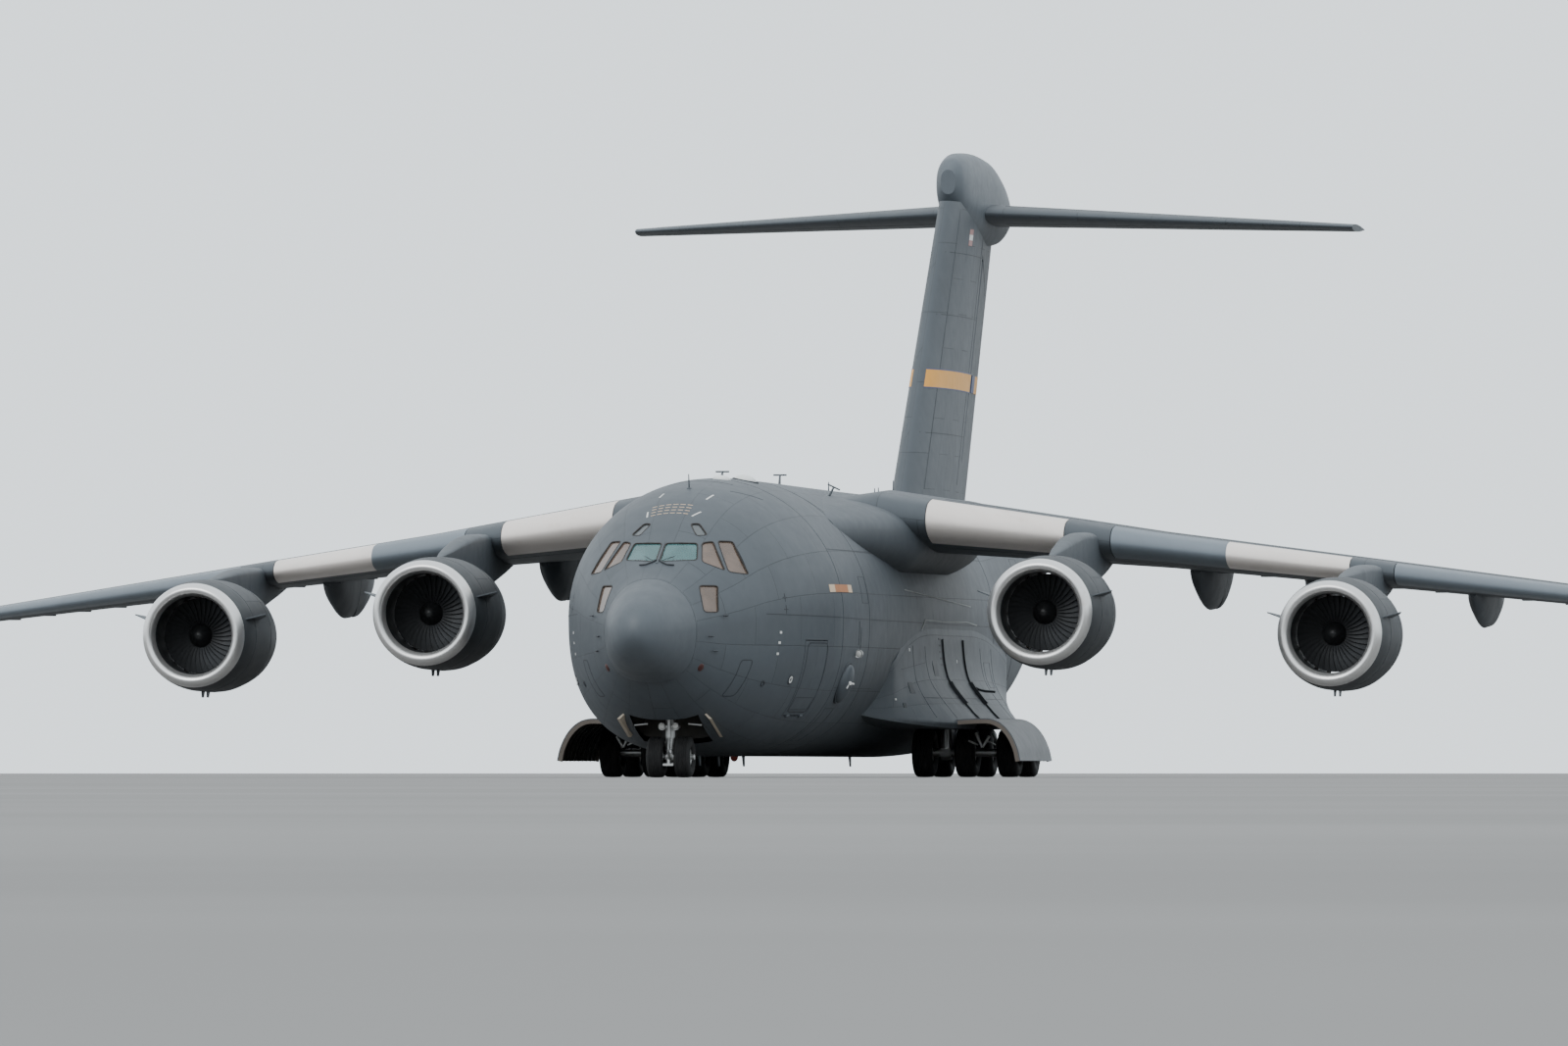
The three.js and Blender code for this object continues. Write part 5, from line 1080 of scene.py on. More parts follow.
def section_rows(table, span):
    """Leading edge, chord, height, thickness and incidence at a span position, straight between rows."""
    table = np.asarray(table, float)
    span = np.asarray(span, float)
    k = np.clip(np.searchsorted(table[:, 0], span, side="right") - 1, 0, len(table) - 2)
    t = (span - table[k, 0]) / (table[k + 1, 0] - table[k, 0])
    values = table[k] + t[..., None] * (table[k + 1] - table[k])
    lead, chord, height, thick, incidence = np.moveaxis(values[..., 1:], -1, 0)
    return lead, chord, height, thick, np.radians(incidence)


class Surface:
    """A wing, tailplane or fin: its table of sections, its upper and lower profiles, and whether its
    span runs up."""

    def __init__(self, table, upper, lower, upright=False):
        self.table, self.upper, self.lower, self.upright = table, upper, lower, upright

    def point(self, span, fraction, height):
        """A point at a span position and chord fraction, with its height off the chord line."""
        lead, chord, base, _, incidence = section_rows(self.table, span)
        y = lead + fraction * chord * np.cos(incidence)
        h = base - fraction * chord * np.sin(incidence) + height
        span, y, h = np.broadcast_arrays(span, y, h)
        return np.stack([h, y, span] if self.upright else [span, y, h], -1)

    def height(self, span, fraction, profile):
        """The skin's height off the chord line."""
        return profile_at(profile, fraction) * section_rows(self.table, span)[3]

    def middle(self, span, fraction):
        """The height of mid thickness off the chord line."""
        return (self.height(span, fraction, self.upper) + self.height(span, fraction, self.lower)) / 2

    def radius(self, span, fraction):
        """Half the thickness."""
        return (self.height(span, fraction, self.upper) - self.height(span, fraction, self.lower)) / 2

    def solid(self, spans, start=0.0, end=1.0, columns=26, drop=0.0):
        """The surface as a closed form between two chord fractions: upper side aft, then lower side
        forward. Points gather at the leading edge as the square of an even step."""
        fraction = np.linspace(math.sqrt(start), math.sqrt(end), columns)[None, :] ** 2
        span = np.asarray(spans, float)[:, None]
        top = self.point(span, fraction, self.height(span, fraction, self.upper) - drop)
        low = self.point(span, fraction, self.height(span, fraction, self.lower) - drop)
        under = low[:, ::-1] if start > 0 else low[:, :0:-1]
        points = np.concatenate([top, under], axis=1)
        step = np.linalg.norm(np.diff(points, axis=1, append=points[:, :1]), axis=-1)
        girth = np.concatenate([np.zeros((len(points), 1)), np.cumsum(step, axis=1)], axis=1)
        uv = np.stack([np.broadcast_to(span, girth.shape), girth + 60], -1)
        return skin(points, uv=uv)


wing_surface = Surface(WING, WING_UPPER, WING_LOWER)
TAIL_LOWER = [[fraction, -height] for fraction, height in TAIL_PROFILE]
tail_surface = Surface(TAILPLANE, TAIL_PROFILE, TAIL_LOWER)
fin_surface = Surface(FIN, TAIL_PROFILE, TAIL_LOWER, upright=True)
WING_SPANS = np.unique(np.concatenate([np.linspace(WING_ROOT, 2.8, 4), np.linspace(2.8, 9.4, 8),
                                       np.linspace(9.4, WING_TIP, 14)]))
WING_COLUMNS = 34
# How far the blocks that cut out flaps and control surfaces reach beyond them
CUT_REACH = 3.0
# Height above the wing's underside to which a fairing's flat top reaches
FAIRING_TOP = 0.12


class Hinge:
    """A hinge line at mid thickness: its start, its unit axes along, aft and up, and its length."""

    def __init__(self, surface, inner, outer, fraction):
        ends = np.array([inner, outer], float)
        points = surface.point(ends, fraction, surface.middle(ends, fraction))
        self.start = points[0]
        self.length = float(np.linalg.norm(points[1] - points[0]))
        self.along = (points[1] - points[0]) / self.length
        aft = np.array([0.0, 1, 0]) - self.along[1] * self.along
        self.aft = aft / np.linalg.norm(aft)
        self.up = np.cross(self.along, self.aft)

    def placed(self, form):
        """A form drawn with x along the hinge line and y aft, set on the line."""
        return form.moved(np.stack([self.along, self.aft, self.up], 1), self.start)

    def block(self, ahead, behind, side):
        """A block about the hinge line, its ends square to it."""
        low, high = (-side, -ahead, -CUT_REACH), (self.length + side, behind, CUT_REACH)
        return self.placed(block(low, high)).outward()


def control_cut(surface, sizes):
    """The room for a control surface in the fixed one."""
    hinge = Hinge(surface, sizes["inner"], sizes["outer"], sizes["hinge"])
    reach = float(surface.radius(np.array(sizes["inner"]), np.array(sizes["hinge"]))) + DOOR_GAP
    return hinge.block(reach, CUT_REACH, DOOR_GAP)


def slat_plan(inner, outer, side, behind):
    """A slat's outline in plan, out past the leading edge."""
    spans = np.array([inner - side, outer + side])
    lead, chord, *_ = section_rows(WING, spans)
    edge = lead + SLAT_CHORD * chord
    return [[spans[0], edge[0] + behind], [spans[1], edge[1] + behind], [spans[1], edge[1] - 3],
            [spans[0], edge[0] - 3]]


def spoiler_plan(side, ahead, behind):
    """The spoiler's outline in plan."""
    spans = np.array([SPOILER["inner"] - side, SPOILER["outer"] + side])
    lead, chord, *_ = section_rows(WING, spans)
    front, back = lead + SPOILER["front"] * chord - ahead, lead + SPOILER["back"] * chord + behind
    return [[spans[0], front[0]], [spans[1], front[1]], [spans[1], back[1]], [spans[0], back[0]]]


def fairing_form(x, depth, half, flap_index):
    """A flap hinge fairing: a canoe whose section is a rounded keel under the wing, its depth and
    width following the table along its length."""
    _, inner, outer, front, _ = FLAPS[flap_index]
    ends = np.array([inner, outer])
    lead, chord, *_ = section_rows(WING, ends)
    line = lead + front * chord
    hinge_station = line[0] + (x - inner) / (outer - inner) * (line[1] - line[0])
    distance = np.linspace(FAIRING_FORM[0, 0], FAIRING_FORM[-1, 0], 40)
    drop, width = smooth_rows(FAIRING_FORM, distance)
    station = hinge_station + distance
    lead, chord, *_ = section_rows(WING, np.array(x))
    fraction = np.minimum(1.0, (station - lead) / chord)
    span = np.full(distance.shape, float(x))
    under = wing_surface.point(span, fraction, wing_surface.height(span, fraction, WING_LOWER))[:, 2]
    angle = np.linspace(0, np.pi, 17)
    across, down = power_ring(-angle, 1.0, 1.0, 1.75)
    ring_x = np.concatenate([across, [-1.0, 1.0]])
    ring_z = np.concatenate([down, [FAIRING_TOP, FAIRING_TOP]])
    points = np.empty((len(distance), len(ring_x), 3))
    points[..., 0] = x + ring_x * half * width[:, None]
    points[..., 1] = station[:, None]
    points[..., 2] = under[:, None] + np.where(ring_z > 0, FAIRING_TOP, ring_z * depth * drop[:, None])
    return skin(points)


def flap_knuckle(hinge, x, drop, grow=0.0):
    """The knuckle in a fairing on which a flap turns."""
    distance = (x - hinge.start[0] + drop * hinge.up[0]) / hinge.along[0]
    pivot = hinge.start + hinge.along * distance - hinge.up * drop
    reach = hinge.along * (FLAP_KNUCKLE["half"] + grow)
    return rod(pivot - reach, pivot + reach, FLAP_KNUCKLE["radius"] + grow, 64)


def flap_relief(hinge, drop):
    """What the flap's own fairings lack below the pivot, so that they swing clear of the fixed ones."""
    outline = [[-1, -drop], [0, -drop], [FLAP_REACH, -drop - FLAP_REACH], [-1, -drop - FLAP_REACH]]
    return hinge.placed(prism(outline, -1, hinge.length + 1, 0)).outward()


def winglet_form():
    """The winglet, its sections flat rings that lean outwards as they rise."""
    share = np.linspace(0, 1, 24)
    lead, chord, thick = smooth_rows(WINGLET_ROWS, share)
    root = WING_TIP + 0.05
    outer_face = WINGLET_ROWS[-1, 3] / 2
    x = root + share * (HALF_SPAN - root - outer_face) * (1 - WINGLET["cant"] * (1 - share))
    z = WINGLET["low"] + share * (WINGLET["high"] - WINGLET["low"])
    fraction = np.linspace(0, 1, 20) ** 2
    height = profile_at(TAIL_PROFILE, fraction)
    along = np.concatenate([fraction, fraction[:0:-1]])
    across = np.concatenate([height, -height[:0:-1]])
    grid = np.stack([x[:, None] + across * thick[:, None], lead[:, None] + along * chord[:, None],
                     np.broadcast_to(z[:, None], (len(z), len(along)))], -1)
    return skin(grid)


def build_wings():
    """The wing boxes with winglets and fixed fairings, cut for the slats, flaps, spoilers and ailerons."""
    whole = wing_surface.solid(WING_SPANS, columns=WING_COLUMNS)
    fixed = [fairing_form(*row) for row in FAIRINGS]
    cuts = [prism(slat_plan(inner, outer, DOOR_GAP, GAP), -1, 9, 2) for _, inner, outer in SLATS]
    flap_cuts = []
    for index, (_, inner, outer, front, drop) in enumerate(FLAPS):
        hinge = Hinge(wing_surface, inner, outer, front)
        flap_cuts.append(hinge.block(DOOR_GAP, FLAP_REACH, DOOR_GAP))
        flap_cuts += [flap_knuckle(hinge, row[0], drop, GAP) for row in FAIRINGS if row[3] == index]
    bay = carved("spoiler_bay", prism(spoiler_plan(DOOR_GAP, SPOILER["ahead"], SPOILER["behind"]), 0, 9, 2),
                 cuts=[wing_surface.solid(WING_SPANS, columns=WING_COLUMNS, drop=SPOILER["skin"] + GAP)])
    port = carved("wing_skin_port", whole, [*cuts, *flap_cuts, control_cut(wing_surface, AILERON)])
    apply_cuts(port, [("DIFFERENCE", bay)])
    finish_piece(port, "wing", node="wing_port", sharp=24)
    mirror_piece(port, "wing_skin_starboard", "wing", node="wing_starboard")
    make_pair("winglet", winglet_form(), "wing")
    make_pair("flap_fairings", fixed, "composite", cuts=flap_cuts)


def build_slats():
    """The slats, each from the leading edge to a tenth of the chord: bare metal inboard, half bare in the
    middle and painted outboard."""
    finishes = {"inboard": "slat", "middle": "slat_part", "outboard": "lead_edge"}
    for name, inner, outer in SLATS:
        between = WING_SPANS[(WING_SPANS > inner) & (WING_SPANS < outer)]
        form = wing_surface.solid(np.unique([inner, *between, outer]), 0.0, SLAT_CHORD, 22)
        make_pair(f"slat_skin_{name}", form, finishes[name], f"slat_body_{name}_{{}}", f"slat_{name}_{{}}",
                  sharp=40)


def build_flaps():
    """The flaps with the aft halves of their fairings and their knuckles."""
    for index, (name, inner, outer, front, drop) in enumerate(FLAPS):
        hinge = Hinge(wing_surface, inner, outer, front)
        body, room = f"flap_body_{name}_{{}}", hinge.block(0, FLAP_REACH, 0)
        spans = np.unique(np.concatenate([WING_SPANS, [inner - 1, outer + 1]]))
        make_pair(f"flap_skin_{name}", wing_surface.solid(spans, columns=WING_COLUMNS), "composite", body,
                  f"flap_{name}_{{}}", keep=[room], sharp=24)
        rows = [row for row in FAIRINGS if row[3] == index]
        fairings = [fairing_form(*row) for row in rows]
        make_pair(f"flap_fairing_{name}", fairings, "composite", body, keep=[room],
                  cuts=[flap_relief(hinge, drop)])
        make_pair(f"flap_knuckles_{name}", [flap_knuckle(hinge, row[0], drop) for row in rows], "steel", body)


def rounded_body(table, rows, columns, power):
    """A body whose sections are rounded rectangles between low, high and half width at each station."""
    table = np.asarray(table, float)
    station = np.linspace(table[0, 0], table[-1, 0], rows)
    low, high, half = smooth_rows(table, station)
    angle = np.linspace(-np.pi / 2, 1.5 * np.pi, columns, endpoint=False)[None, :]
    x, z = power_ring(angle, half[:, None], (high - low)[:, None] / 2, power)
    y = np.broadcast_to(station[:, None], x.shape)
    return skin(np.stack([x, y, z + (high + low)[:, None] / 2], -1))


def build_wing_fairing():
    """The fairings over the wing roots, each the shoulder of one form through the hull."""
    form = rounded_body(WING_FAIRING, 60, 96, 2.6)
    make_pair("wing_root_fairing", form, "composite", node="wing_fairing_{}",
              keep=[block((0.5, 12, 0), (6, 34, 9))])


# Engines

def curve_through(points, count):
    """A smooth closed-form path through profile points: cubic pieces whose tangents join the
    neighbours, evenly stepped along each piece."""
    points = np.asarray(points, float)
    tangent = np.gradient(points, axis=0)
    k = np.repeat(np.arange(len(points) - 1), count)
    t = np.tile(np.linspace(0, 1, count, endpoint=False), len(points) - 1)[:, None]
    first, first_slope, last, last_slope = cubic_weights(t)
    start = first * points[k] + first_slope * tangent[k]
    end = last * points[k + 1] + last_slope * tangent[k + 1]
    return np.concatenate([start + end, points[-1:]])


def build_engines():
    """The nacelles: polished lips, cowls, inlet ducts, cores and nozzles, with strakes and drains."""
    along = np.linspace(COWL_FRONT, COWL_END, 40)
    inside = curve_through(COWL_INSIDE, 8)
    cowl = closed_profile(np.column_stack([along, smooth_rows(COWL_OUTSIDE, along)[0]]),
                          inside[inside[:, 0] > COWL_DUCT_END], COWL_BACK)
    lip = closed_profile(curve_through(LIP, 6), LIP_BACK)
    duct = closed_profile(curve_through(DUCT, 8), DUCT_BACK)
    core = np.concatenate([[[CORE_FRONT[0][0], 0.0]], curve_through(CORE_FRONT, 8), CORE_BACK])
    plug = np.concatenate([[[PLUG[0][0], 0.0]], curve_through(PLUG, 8)])
    for name, *centre in ENGINES:
        make_pair(f"cowl_{name}", turned(cowl, 96, centre=centre), "cowl", node=f"nacelle_{name}_{{}}")
        make_pair(f"lip_{name}", turned(lip, 96, centre=centre), "lip", sharp=60)
        make_pair(f"duct_{name}", turned(duct, 72, centre=centre), "duct")
        forms = [turned(core, 72, centre=centre), turned(plug, 48, centre=centre)]
        make_pair(f"core_{name}", forms, "exhaust")
        make_pair(f"vanes_{name}", guide_vanes(centre), "exhaust")
        make_pair(f"cowl_fittings_{name}", cowl_fittings(*centre), "fitting", bevel=0.008)


def guide_vanes(centre):
    """Vanes behind the fan, between the core and the cowl."""
    plate = block(VANE_LOW, VANE_HIGH)
    turns = [(math.cos(turn), math.sin(turn)) for turn in np.arange(VANES) * 2 * np.pi / VANES]
    return [plate.moved([[c, 0, s], [0, 1, 0], [-s, 0, c]], centre) for c, s in turns]


def cowl_fittings(x, station, axis):
    """A small strake on each side of a cowl, and the drain masts under it."""
    forms = []
    for degrees in COWL_STRAKE_DEGREES:
        angle = math.radians(degrees)
        out = np.array([math.cos(angle), 0, math.sin(angle)])
        across = np.cross([0, 1, 0], out)
        rings = [[np.array([x, station, axis]) + out * r + np.array([0, y, 0]) + across * half
                  for y, r in COWL_STRAKE] for half in (-COWL_STRAKE_HALF, COWL_STRAKE_HALF)]
        forms.append(skin(np.array(rings)))
    mast = DRAIN_MAST + (station, axis)
    return forms + [prism(mast, x + offset, x + offset + MAST_THICK, 0) for offset in MAST_OFFSETS]


def fan_form(count):
    """The fan: each blade a curved sheet whose pitch grows from root to tip, and a round spinner."""
    share = np.linspace(0, 1, 9)[:, None]
    chord = np.linspace(-1, 1, 7)[None, :]
    radius = FAN["root"] + share * FAN["height"]
    pitch = np.radians(FAN["pitch"] + FAN["twist"] * share)
    half = FAN["half"] + FAN["bulge"] * np.sin(np.pi * share ** 0.8)
    sweep = FAN["sweep"] * share ** 2
    turn = (chord * half * np.sin(pitch) + FAN["camber"] * (1 - chord ** 2)) / radius
    y = FAN["middle"] + chord * half * np.cos(pitch) * FAN["flatten"] + sweep * FAN["rake"]
    y = np.clip(y, FAN["front"], FAN["back"])
    blades = []
    for i in range(count):
        angle = turn + i * 2 * np.pi / count
        face = np.stack([radius * np.cos(angle), np.broadcast_to(y, angle.shape), radius * np.sin(angle)], -1)
        back = face + (0, FAN["thick"], 0)
        blades.append(skin(np.concatenate([face, back[:, ::-1]], axis=1)))
    return merged(blades), turned(np.concatenate([curve_through(SPINNER, 6), SPINNER_BACK]), 48)


def build_fans():
    """The four fans, each on its own body."""
    blades, spinner = fan_form(bpy.context.scene.aircraft_sizes.fan_blades)
    for name, x, station, axis in ENGINES:
        for side, sign in (("port", 1), ("starboard", -1)):
            centre = (sign * x, station, axis)
            body = FAN_BODIES[(name, side)]
            make(f"fan_blades_{name}_{side}", blades.moved(offset=centre), "blade", body,
                 f"fan_{name}_{side}", sharp=50)
            make(f"fan_spinner_{name}_{side}", spinner.moved(offset=centre), "duct", body)


def pylon_form(x, station, axis):
    """A pylon: its sections have flat sides and a rounded crown, following the table behind the lip."""
    lead = wing_surface.point(np.array(x), np.array(0.0), np.array(0.0))
    rise = lead[2] - axis
    nose, neck, heel, end = PYLON[[0, 3, 4, -1], 0]
    behind = np.unique(np.concatenate([np.linspace(nose, neck, 20), np.linspace(neck, heel, 3),
                                       np.linspace(heel, end, 24)]))
    low, share, half = smooth_rows(PYLON, behind)
    high = PYLON_CROWN["front"] + share * (rise + PYLON_CROWN["over"] - PYLON_CROWN["base"])
    crown = PYLON_CROWN["round"] * share + PYLON_CROWN["least"]
    angle = np.linspace(0, np.pi, 13)
    across, up = power_ring(angle, 1.0, 1.0, 2.4)
    ring_x = np.concatenate([across, [-1.0, 1.0]])
    points = np.empty((len(behind), len(ring_x), 3))
    points[..., 0] = x + ring_x * half[:, None]
    points[..., 1] = station + behind[:, None]
    top = (high - crown)[:, None] + up[None, :] * crown[:, None]
    bottom = np.repeat(low[:, None], 2, axis=1)
    points[..., 2] = axis + np.concatenate([top, bottom], axis=1)
    return skin(points)


def build_pylons():
    """The pylons between the wings and the engines."""
    for name, x, station, axis in ENGINES:
        make_pair(f"pylon_skin_{name}", pylon_form(x, station, axis), "composite", node=f"pylon_{name}_{{}}",
                  slot="hull_paint")


# Gear pods and landing gear

def pod_form():
    """A gear pod: its profile hangs between top and bottom and swells out to the reach at each station,
    both smooth between the tables' rows."""
    station = np.linspace(POD[0, 0], POD[-1, 0], POD_ROWS)
    reach, top, bottom = smooth_rows(POD, station)
    start = np.minimum(POD_HULL_X, reach)
    down = np.concatenate([np.linspace(0, 0.86, 18), [0.89, 0.92, 0.95, 0.975, 0.99, 1.0]])
    out = smooth_rows(POD_PROFILE, down)[0]
    x = start[:, None] + (reach - start)[:, None] * out
    z = top[:, None] + (bottom - top)[:, None] * down
    inner = np.full((POD_ROWS, 1), POD_INNER_X)
    x = np.concatenate([x, inner, inner], axis=1)
    z = np.concatenate([z, bottom[:, None], top[:, None]], axis=1)
    y = np.broadcast_to(station[:, None], x.shape)
    length = np.concatenate([[0], np.cumsum(np.hypot(np.diff(out), np.diff(down)) * 2.4)])
    around = np.concatenate([length, [length[-1] + 2, length[-1] + 4, length[-1] + 6]])
    uv = np.stack(np.broadcast_arrays(station[:, None], around[None, :] + 80), -1)
    return skin(np.stack([x, y, z], -1), uv=uv)


def well_forms():
    """The main wheel well and its wide mouth."""
    low, high = (WELL["inner"], WELL["front"], -1), (WELL["outer"], WELL["back"], WELL["roof"])
    mouth_low, mouth_high = (WELL["inner"], WELL["front"], -1), (WELL["mouth"], WELL["back"], WELL["rim"])
    return [block(low, high), block(mouth_low, mouth_high)]


def build_pods():
    """The gear pods with their wheel wells."""
    make_pair("pod_skin", pod_form(), "hull", node="gear_pod_{}", cuts=well_forms())


def wheel_forms(places, station, radius, width, axle):
    """The tyres and rims of one axle: tyres with a round shoulder and grooves, rims dished."""
    height = radius * math.cos(math.pi / CAD_WHEEL_SIDES)
    half = width / 2
    tread = []
    for share in np.linspace(-TREAD["edge"], TREAD["edge"], TREAD["points"]):
        groove = TREAD["groove"] * (abs((share * TREAD["pitch"]) % 1 - 0.5) < TREAD["share"])
        tread.append([share * half, height * (TREAD["top"] - TREAD["crown"] * share ** 2) - groove])
    left = [[-a * half, b * height] for a, b in TYRE_SHOULDER[::-1]]
    right, bore = ([[a * half, b * height] for a, b in shape] for shape in (TYRE_SHOULDER, TYRE_BORE))
    tyre = closed_profile(left, tread, right, bore)
    rim = [[a * half, b * height] for a, b in RIM[::-1]] + [[-a * half, b * height] for a, b in RIM]
    tyres = [turned(tyre, 64, axis=0, centre=(x, station, height)) for x in places]
    rims = [turned(rim, 48, axis=0, centre=(x, station, height)) for x in places]
    ends = (min(places) - half - 0.05, max(places) + half + 0.05)
    return tyres, [*rims, rod((ends[0], station, height), (ends[1], station, height), axle, 24)]


def build_wheels():
    """The nose wheels and the main wheels, each axle on its own body."""
    tyres, rims = wheel_forms(**NOSE_WHEEL)
    make("nose_tyres", tyres, "tyre", "nose_wheel_pair", "nose_wheels", sharp=50)
    make("nose_rims", rims, "steel", "nose_wheel_pair")
    for name, station in MAIN_STATIONS:
        tyres, rims = wheel_forms(station=station, **MAIN_WHEEL)
        body = f"wheels_{name}_{{}}"
        make_pair(f"main_tyres_{name}", tyres, "tyre", body, f"main_wheels_{name}_{{}}", sharp=50)
        make_pair(f"main_rims_{name}", rims, "steel", body)


# Tail

def build_tail():
    """The fin, the tailplane and the fairing where they meet."""
    spans = np.linspace(FIN[0, 0], FIN_TOP, 14)
    make("fin_skin", fin_surface.solid(spans, columns=WING_COLUMNS), "wing", node="fin",
         cuts=[control_cut(fin_surface, RUDDER)], sharp=24)
    half_plane = tail_surface.solid(np.linspace(0, TAILPLANE[1, 0], 14), columns=30)
    port = make("tailplane_skin_port", half_plane, "wing", node="tailplane", sharp=24,
                cuts=[control_cut(tail_surface, ELEVATOR)])
    mirror_piece(port, "tailplane_skin_starboard", "wing")
    make("tail_bullet_skin", rounded_body(BULLET, 70, 64, 2.4), "bullet", node="tail_bullet")


# Finishes of the CAD nodes that stay

NODE_LOOKS = {
    # The flight deck is near-black: painted shade behind the glass.
    "flight_deck": "dark", "cargo_floor": "steel", "main_gear_door": "primer", "nose_gear_door": "primer",
    "spoiler": "composite", "aileron": "composite", "elevator": "composite", "rudder": "composite",
    "nose_gear_leg": "steel", "main_gear_legs": "steel",
}


def finish_nodes():
    """Gives every CAD node that still shows a full material."""
    for name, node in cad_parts.items():
        for start, chosen in NODE_LOOKS.items():
            if name.startswith(start):
                node.data.materials.clear()
                node.data.materials.append(look(chosen))


# Seams, marks and fittings on the skins

LINE_WIDTH, LINE_PROUD = 0.02, 0.004
PATH_STEP = 0.15
RING_POINTS = 160
RING_SEAMS = (9.6, 12.9, 31.0)
RADOME_SEAM = 2.16
# Width of each line on the fuselage's side, and its points as station and height
SIDE_SEAMS = [
    (0.018, [[4.9, 3.96], [11.5, 3.9], [30.9, 3.88]]), (0.014, [[9.7, 2.2], [14.6, 2.2]]),
    (0.014, [[9.7, 5.6], [30.9, 5.6]]), (0.014, [[31.2, 4.6], [42.5, 5.5]]),
]
# Width of each hatch's line, its first and last station, its low and high
SIDE_HATCHES = [
    (0.03, 33.2, 34.2, 1.75, 3.75), (0.014, 9.95, 10.9, 0.9, 1.7), (0.014, 12.0, 12.8, 4.3, 4.95),
    (0.014, 35.0, 35.9, 5.0, 5.7),
]
# The crew door's panel and edge
CREW_DOOR_LINES = [
    {"inset": 0.12, "low": 1.66, "high": 1.95, "width": 0.012},
    {"inset": 0.05, "low": CREW_DOOR["low"] + 0.08, "high": CREW_DOOR["high"] - 0.05, "width": 0.034,
     "corner": 0.2},
]
CHIN_HATCH = [(1.90, 3.92, 2.84), (2.10, 4.40, 2.84), (1.66, 4.18, 1.97), (1.42, 3.77, 1.97)]
SIDE_SLOTS = [(0.03, [[11.5, 3.25], [11.5, 3.85]]), (0.02, [[11.75, 3.1], [11.75, 3.7]])]
ROOF_SEAMS = [
    [(0.9, 7.6, 6.9), (1.5, 8.3, 6.6)], [(1.5, 12.8, 7.0), (2.2, 13.2, 6.5)],
    [(-0.8, 8.6, 7.1), (0.8, 8.6, 7.1)],
]

# Marks: the roof's rows of dashes, and slanted dashes as a start and what the end adds to x and y
DASH_ROWS = {"stations": (5.2, 5.36, 5.52, 5.68), "x": (-0.62, 0.24, 0.17), "height": 6.5, "length": 0.12}
SLANTED_DASHES = [
    ((-0.67, 5.18, 6.3), (0.0, 0.3)), ((-0.6, 6.4, 6.8), (0.06, 0.35)), ((0.44, 5.12, 6.3), (0.14, 0.31)),
    ((0.6, 6.22, 6.8), (0.06, 0.5)),
]
DOTS = {"places": ((5.5, 3.52), (5.46, 3.27), (5.42, 3.0)), "length": 0.1, "width": 0.06}
CROSSES = {"station": 5.82, "heights": (4.37, 4.08), "half": 0.1, "width": 0.025}
BAR_START, BAR_END, BAR_WIDTH = np.array([3.18, 8.63, 4.62]), np.array([3.37, 10.81, 4.64]), 0.19
BAR_SHARES = [("bar_ends", "mark_sand", [(0.0, 0.2), (0.8, 1.0)]),
              ("bar_middle", "mark_orange", [(0.2, 0.8)])]

# Aerials: the station and share of the whip height of each whip, and the station and height of each blade
WHIPS = [(7.1, 0.85), (26.0, 0.6), (32.65, 0.5), (33.2, 0.55), (35.4, 1.0)]
BARRED_BLADES = [(0, 11.35, 9, 0.16), (0, 19.1, 9, 0.26), (1.5, 17.8, 7.03, 0.28)]
BLADE_BASE, BLADE_BAR = 0.26, 0.34
BELLY_BLADES = {"stations": (8.4, 10.9, 14.2, 29.0), "height": 0.25, "base": 0.3}
WHIP_RADIUS = 0.022
SMALL_DOME, LARGE_DOME = (0.3, 9.7, 7.2), (0.65, 11.0, 7.24)

# Places on the port side of the port, the domed panel, the lamps and the air probes
PORT, DOMED_PANEL = (2.64, 6.40, 2.38), (3.19, 10.58, 2.31)
SIDE_LAMP, CHIN_LAMP, RED_LAMP = (3.38, 11.28, 3.04), (2.3, 5.1, 2.2), (1.16, 2.63, 2.64)
PROBES = [(2.75, 3.4), (2.95, 3.05), (3.3, 3.9)]
PROBE_RODS = [((0, 0, -0.02), (0, 0, 0.07), 0.018, 12), ((0.02, 0, 0.07), (-0.18, 0, 0.07), 0.014, 12)]
PANEL_ARMS = {"turns": (0.4, 2.5, 4.6), "length": 0.16, "out": 0.05, "radius": 0.025,
              "facing": (0.8, -0.6, 0.0), "shift": (0.14, -0.16, 0.0)}
PANEL_HUB = ((0, 0, -0.05), (0, 0, 0.1), 0.05)
# How far the side lamp stands out, and distance aft and radius of its case and lens
LAMP_OUT = 0.06
LAMP_CASE = [[0.0, 0.0], [-0.02, 0.1], [0.12, 0.1], [0.25, 0.05], [0.25, 0.0]]
LAMP_LENS = [[-0.05, 0.0], [-0.04, 0.05], [-0.01, 0.075], [0.05, 0.08], [0.05, 0.0]]

# Windscreen trim in front view, the wipers' for one side
POST = [[0.0, 5.16], [0.0, 5.7]]
WIPER_BLADE = [[0.03, 5.24], [0.12, 5.18], [0.26, 5.12], [0.42, 5.11]]
WIPER_ARM = [[0.06, 5.2], [0.36, 5.32]]

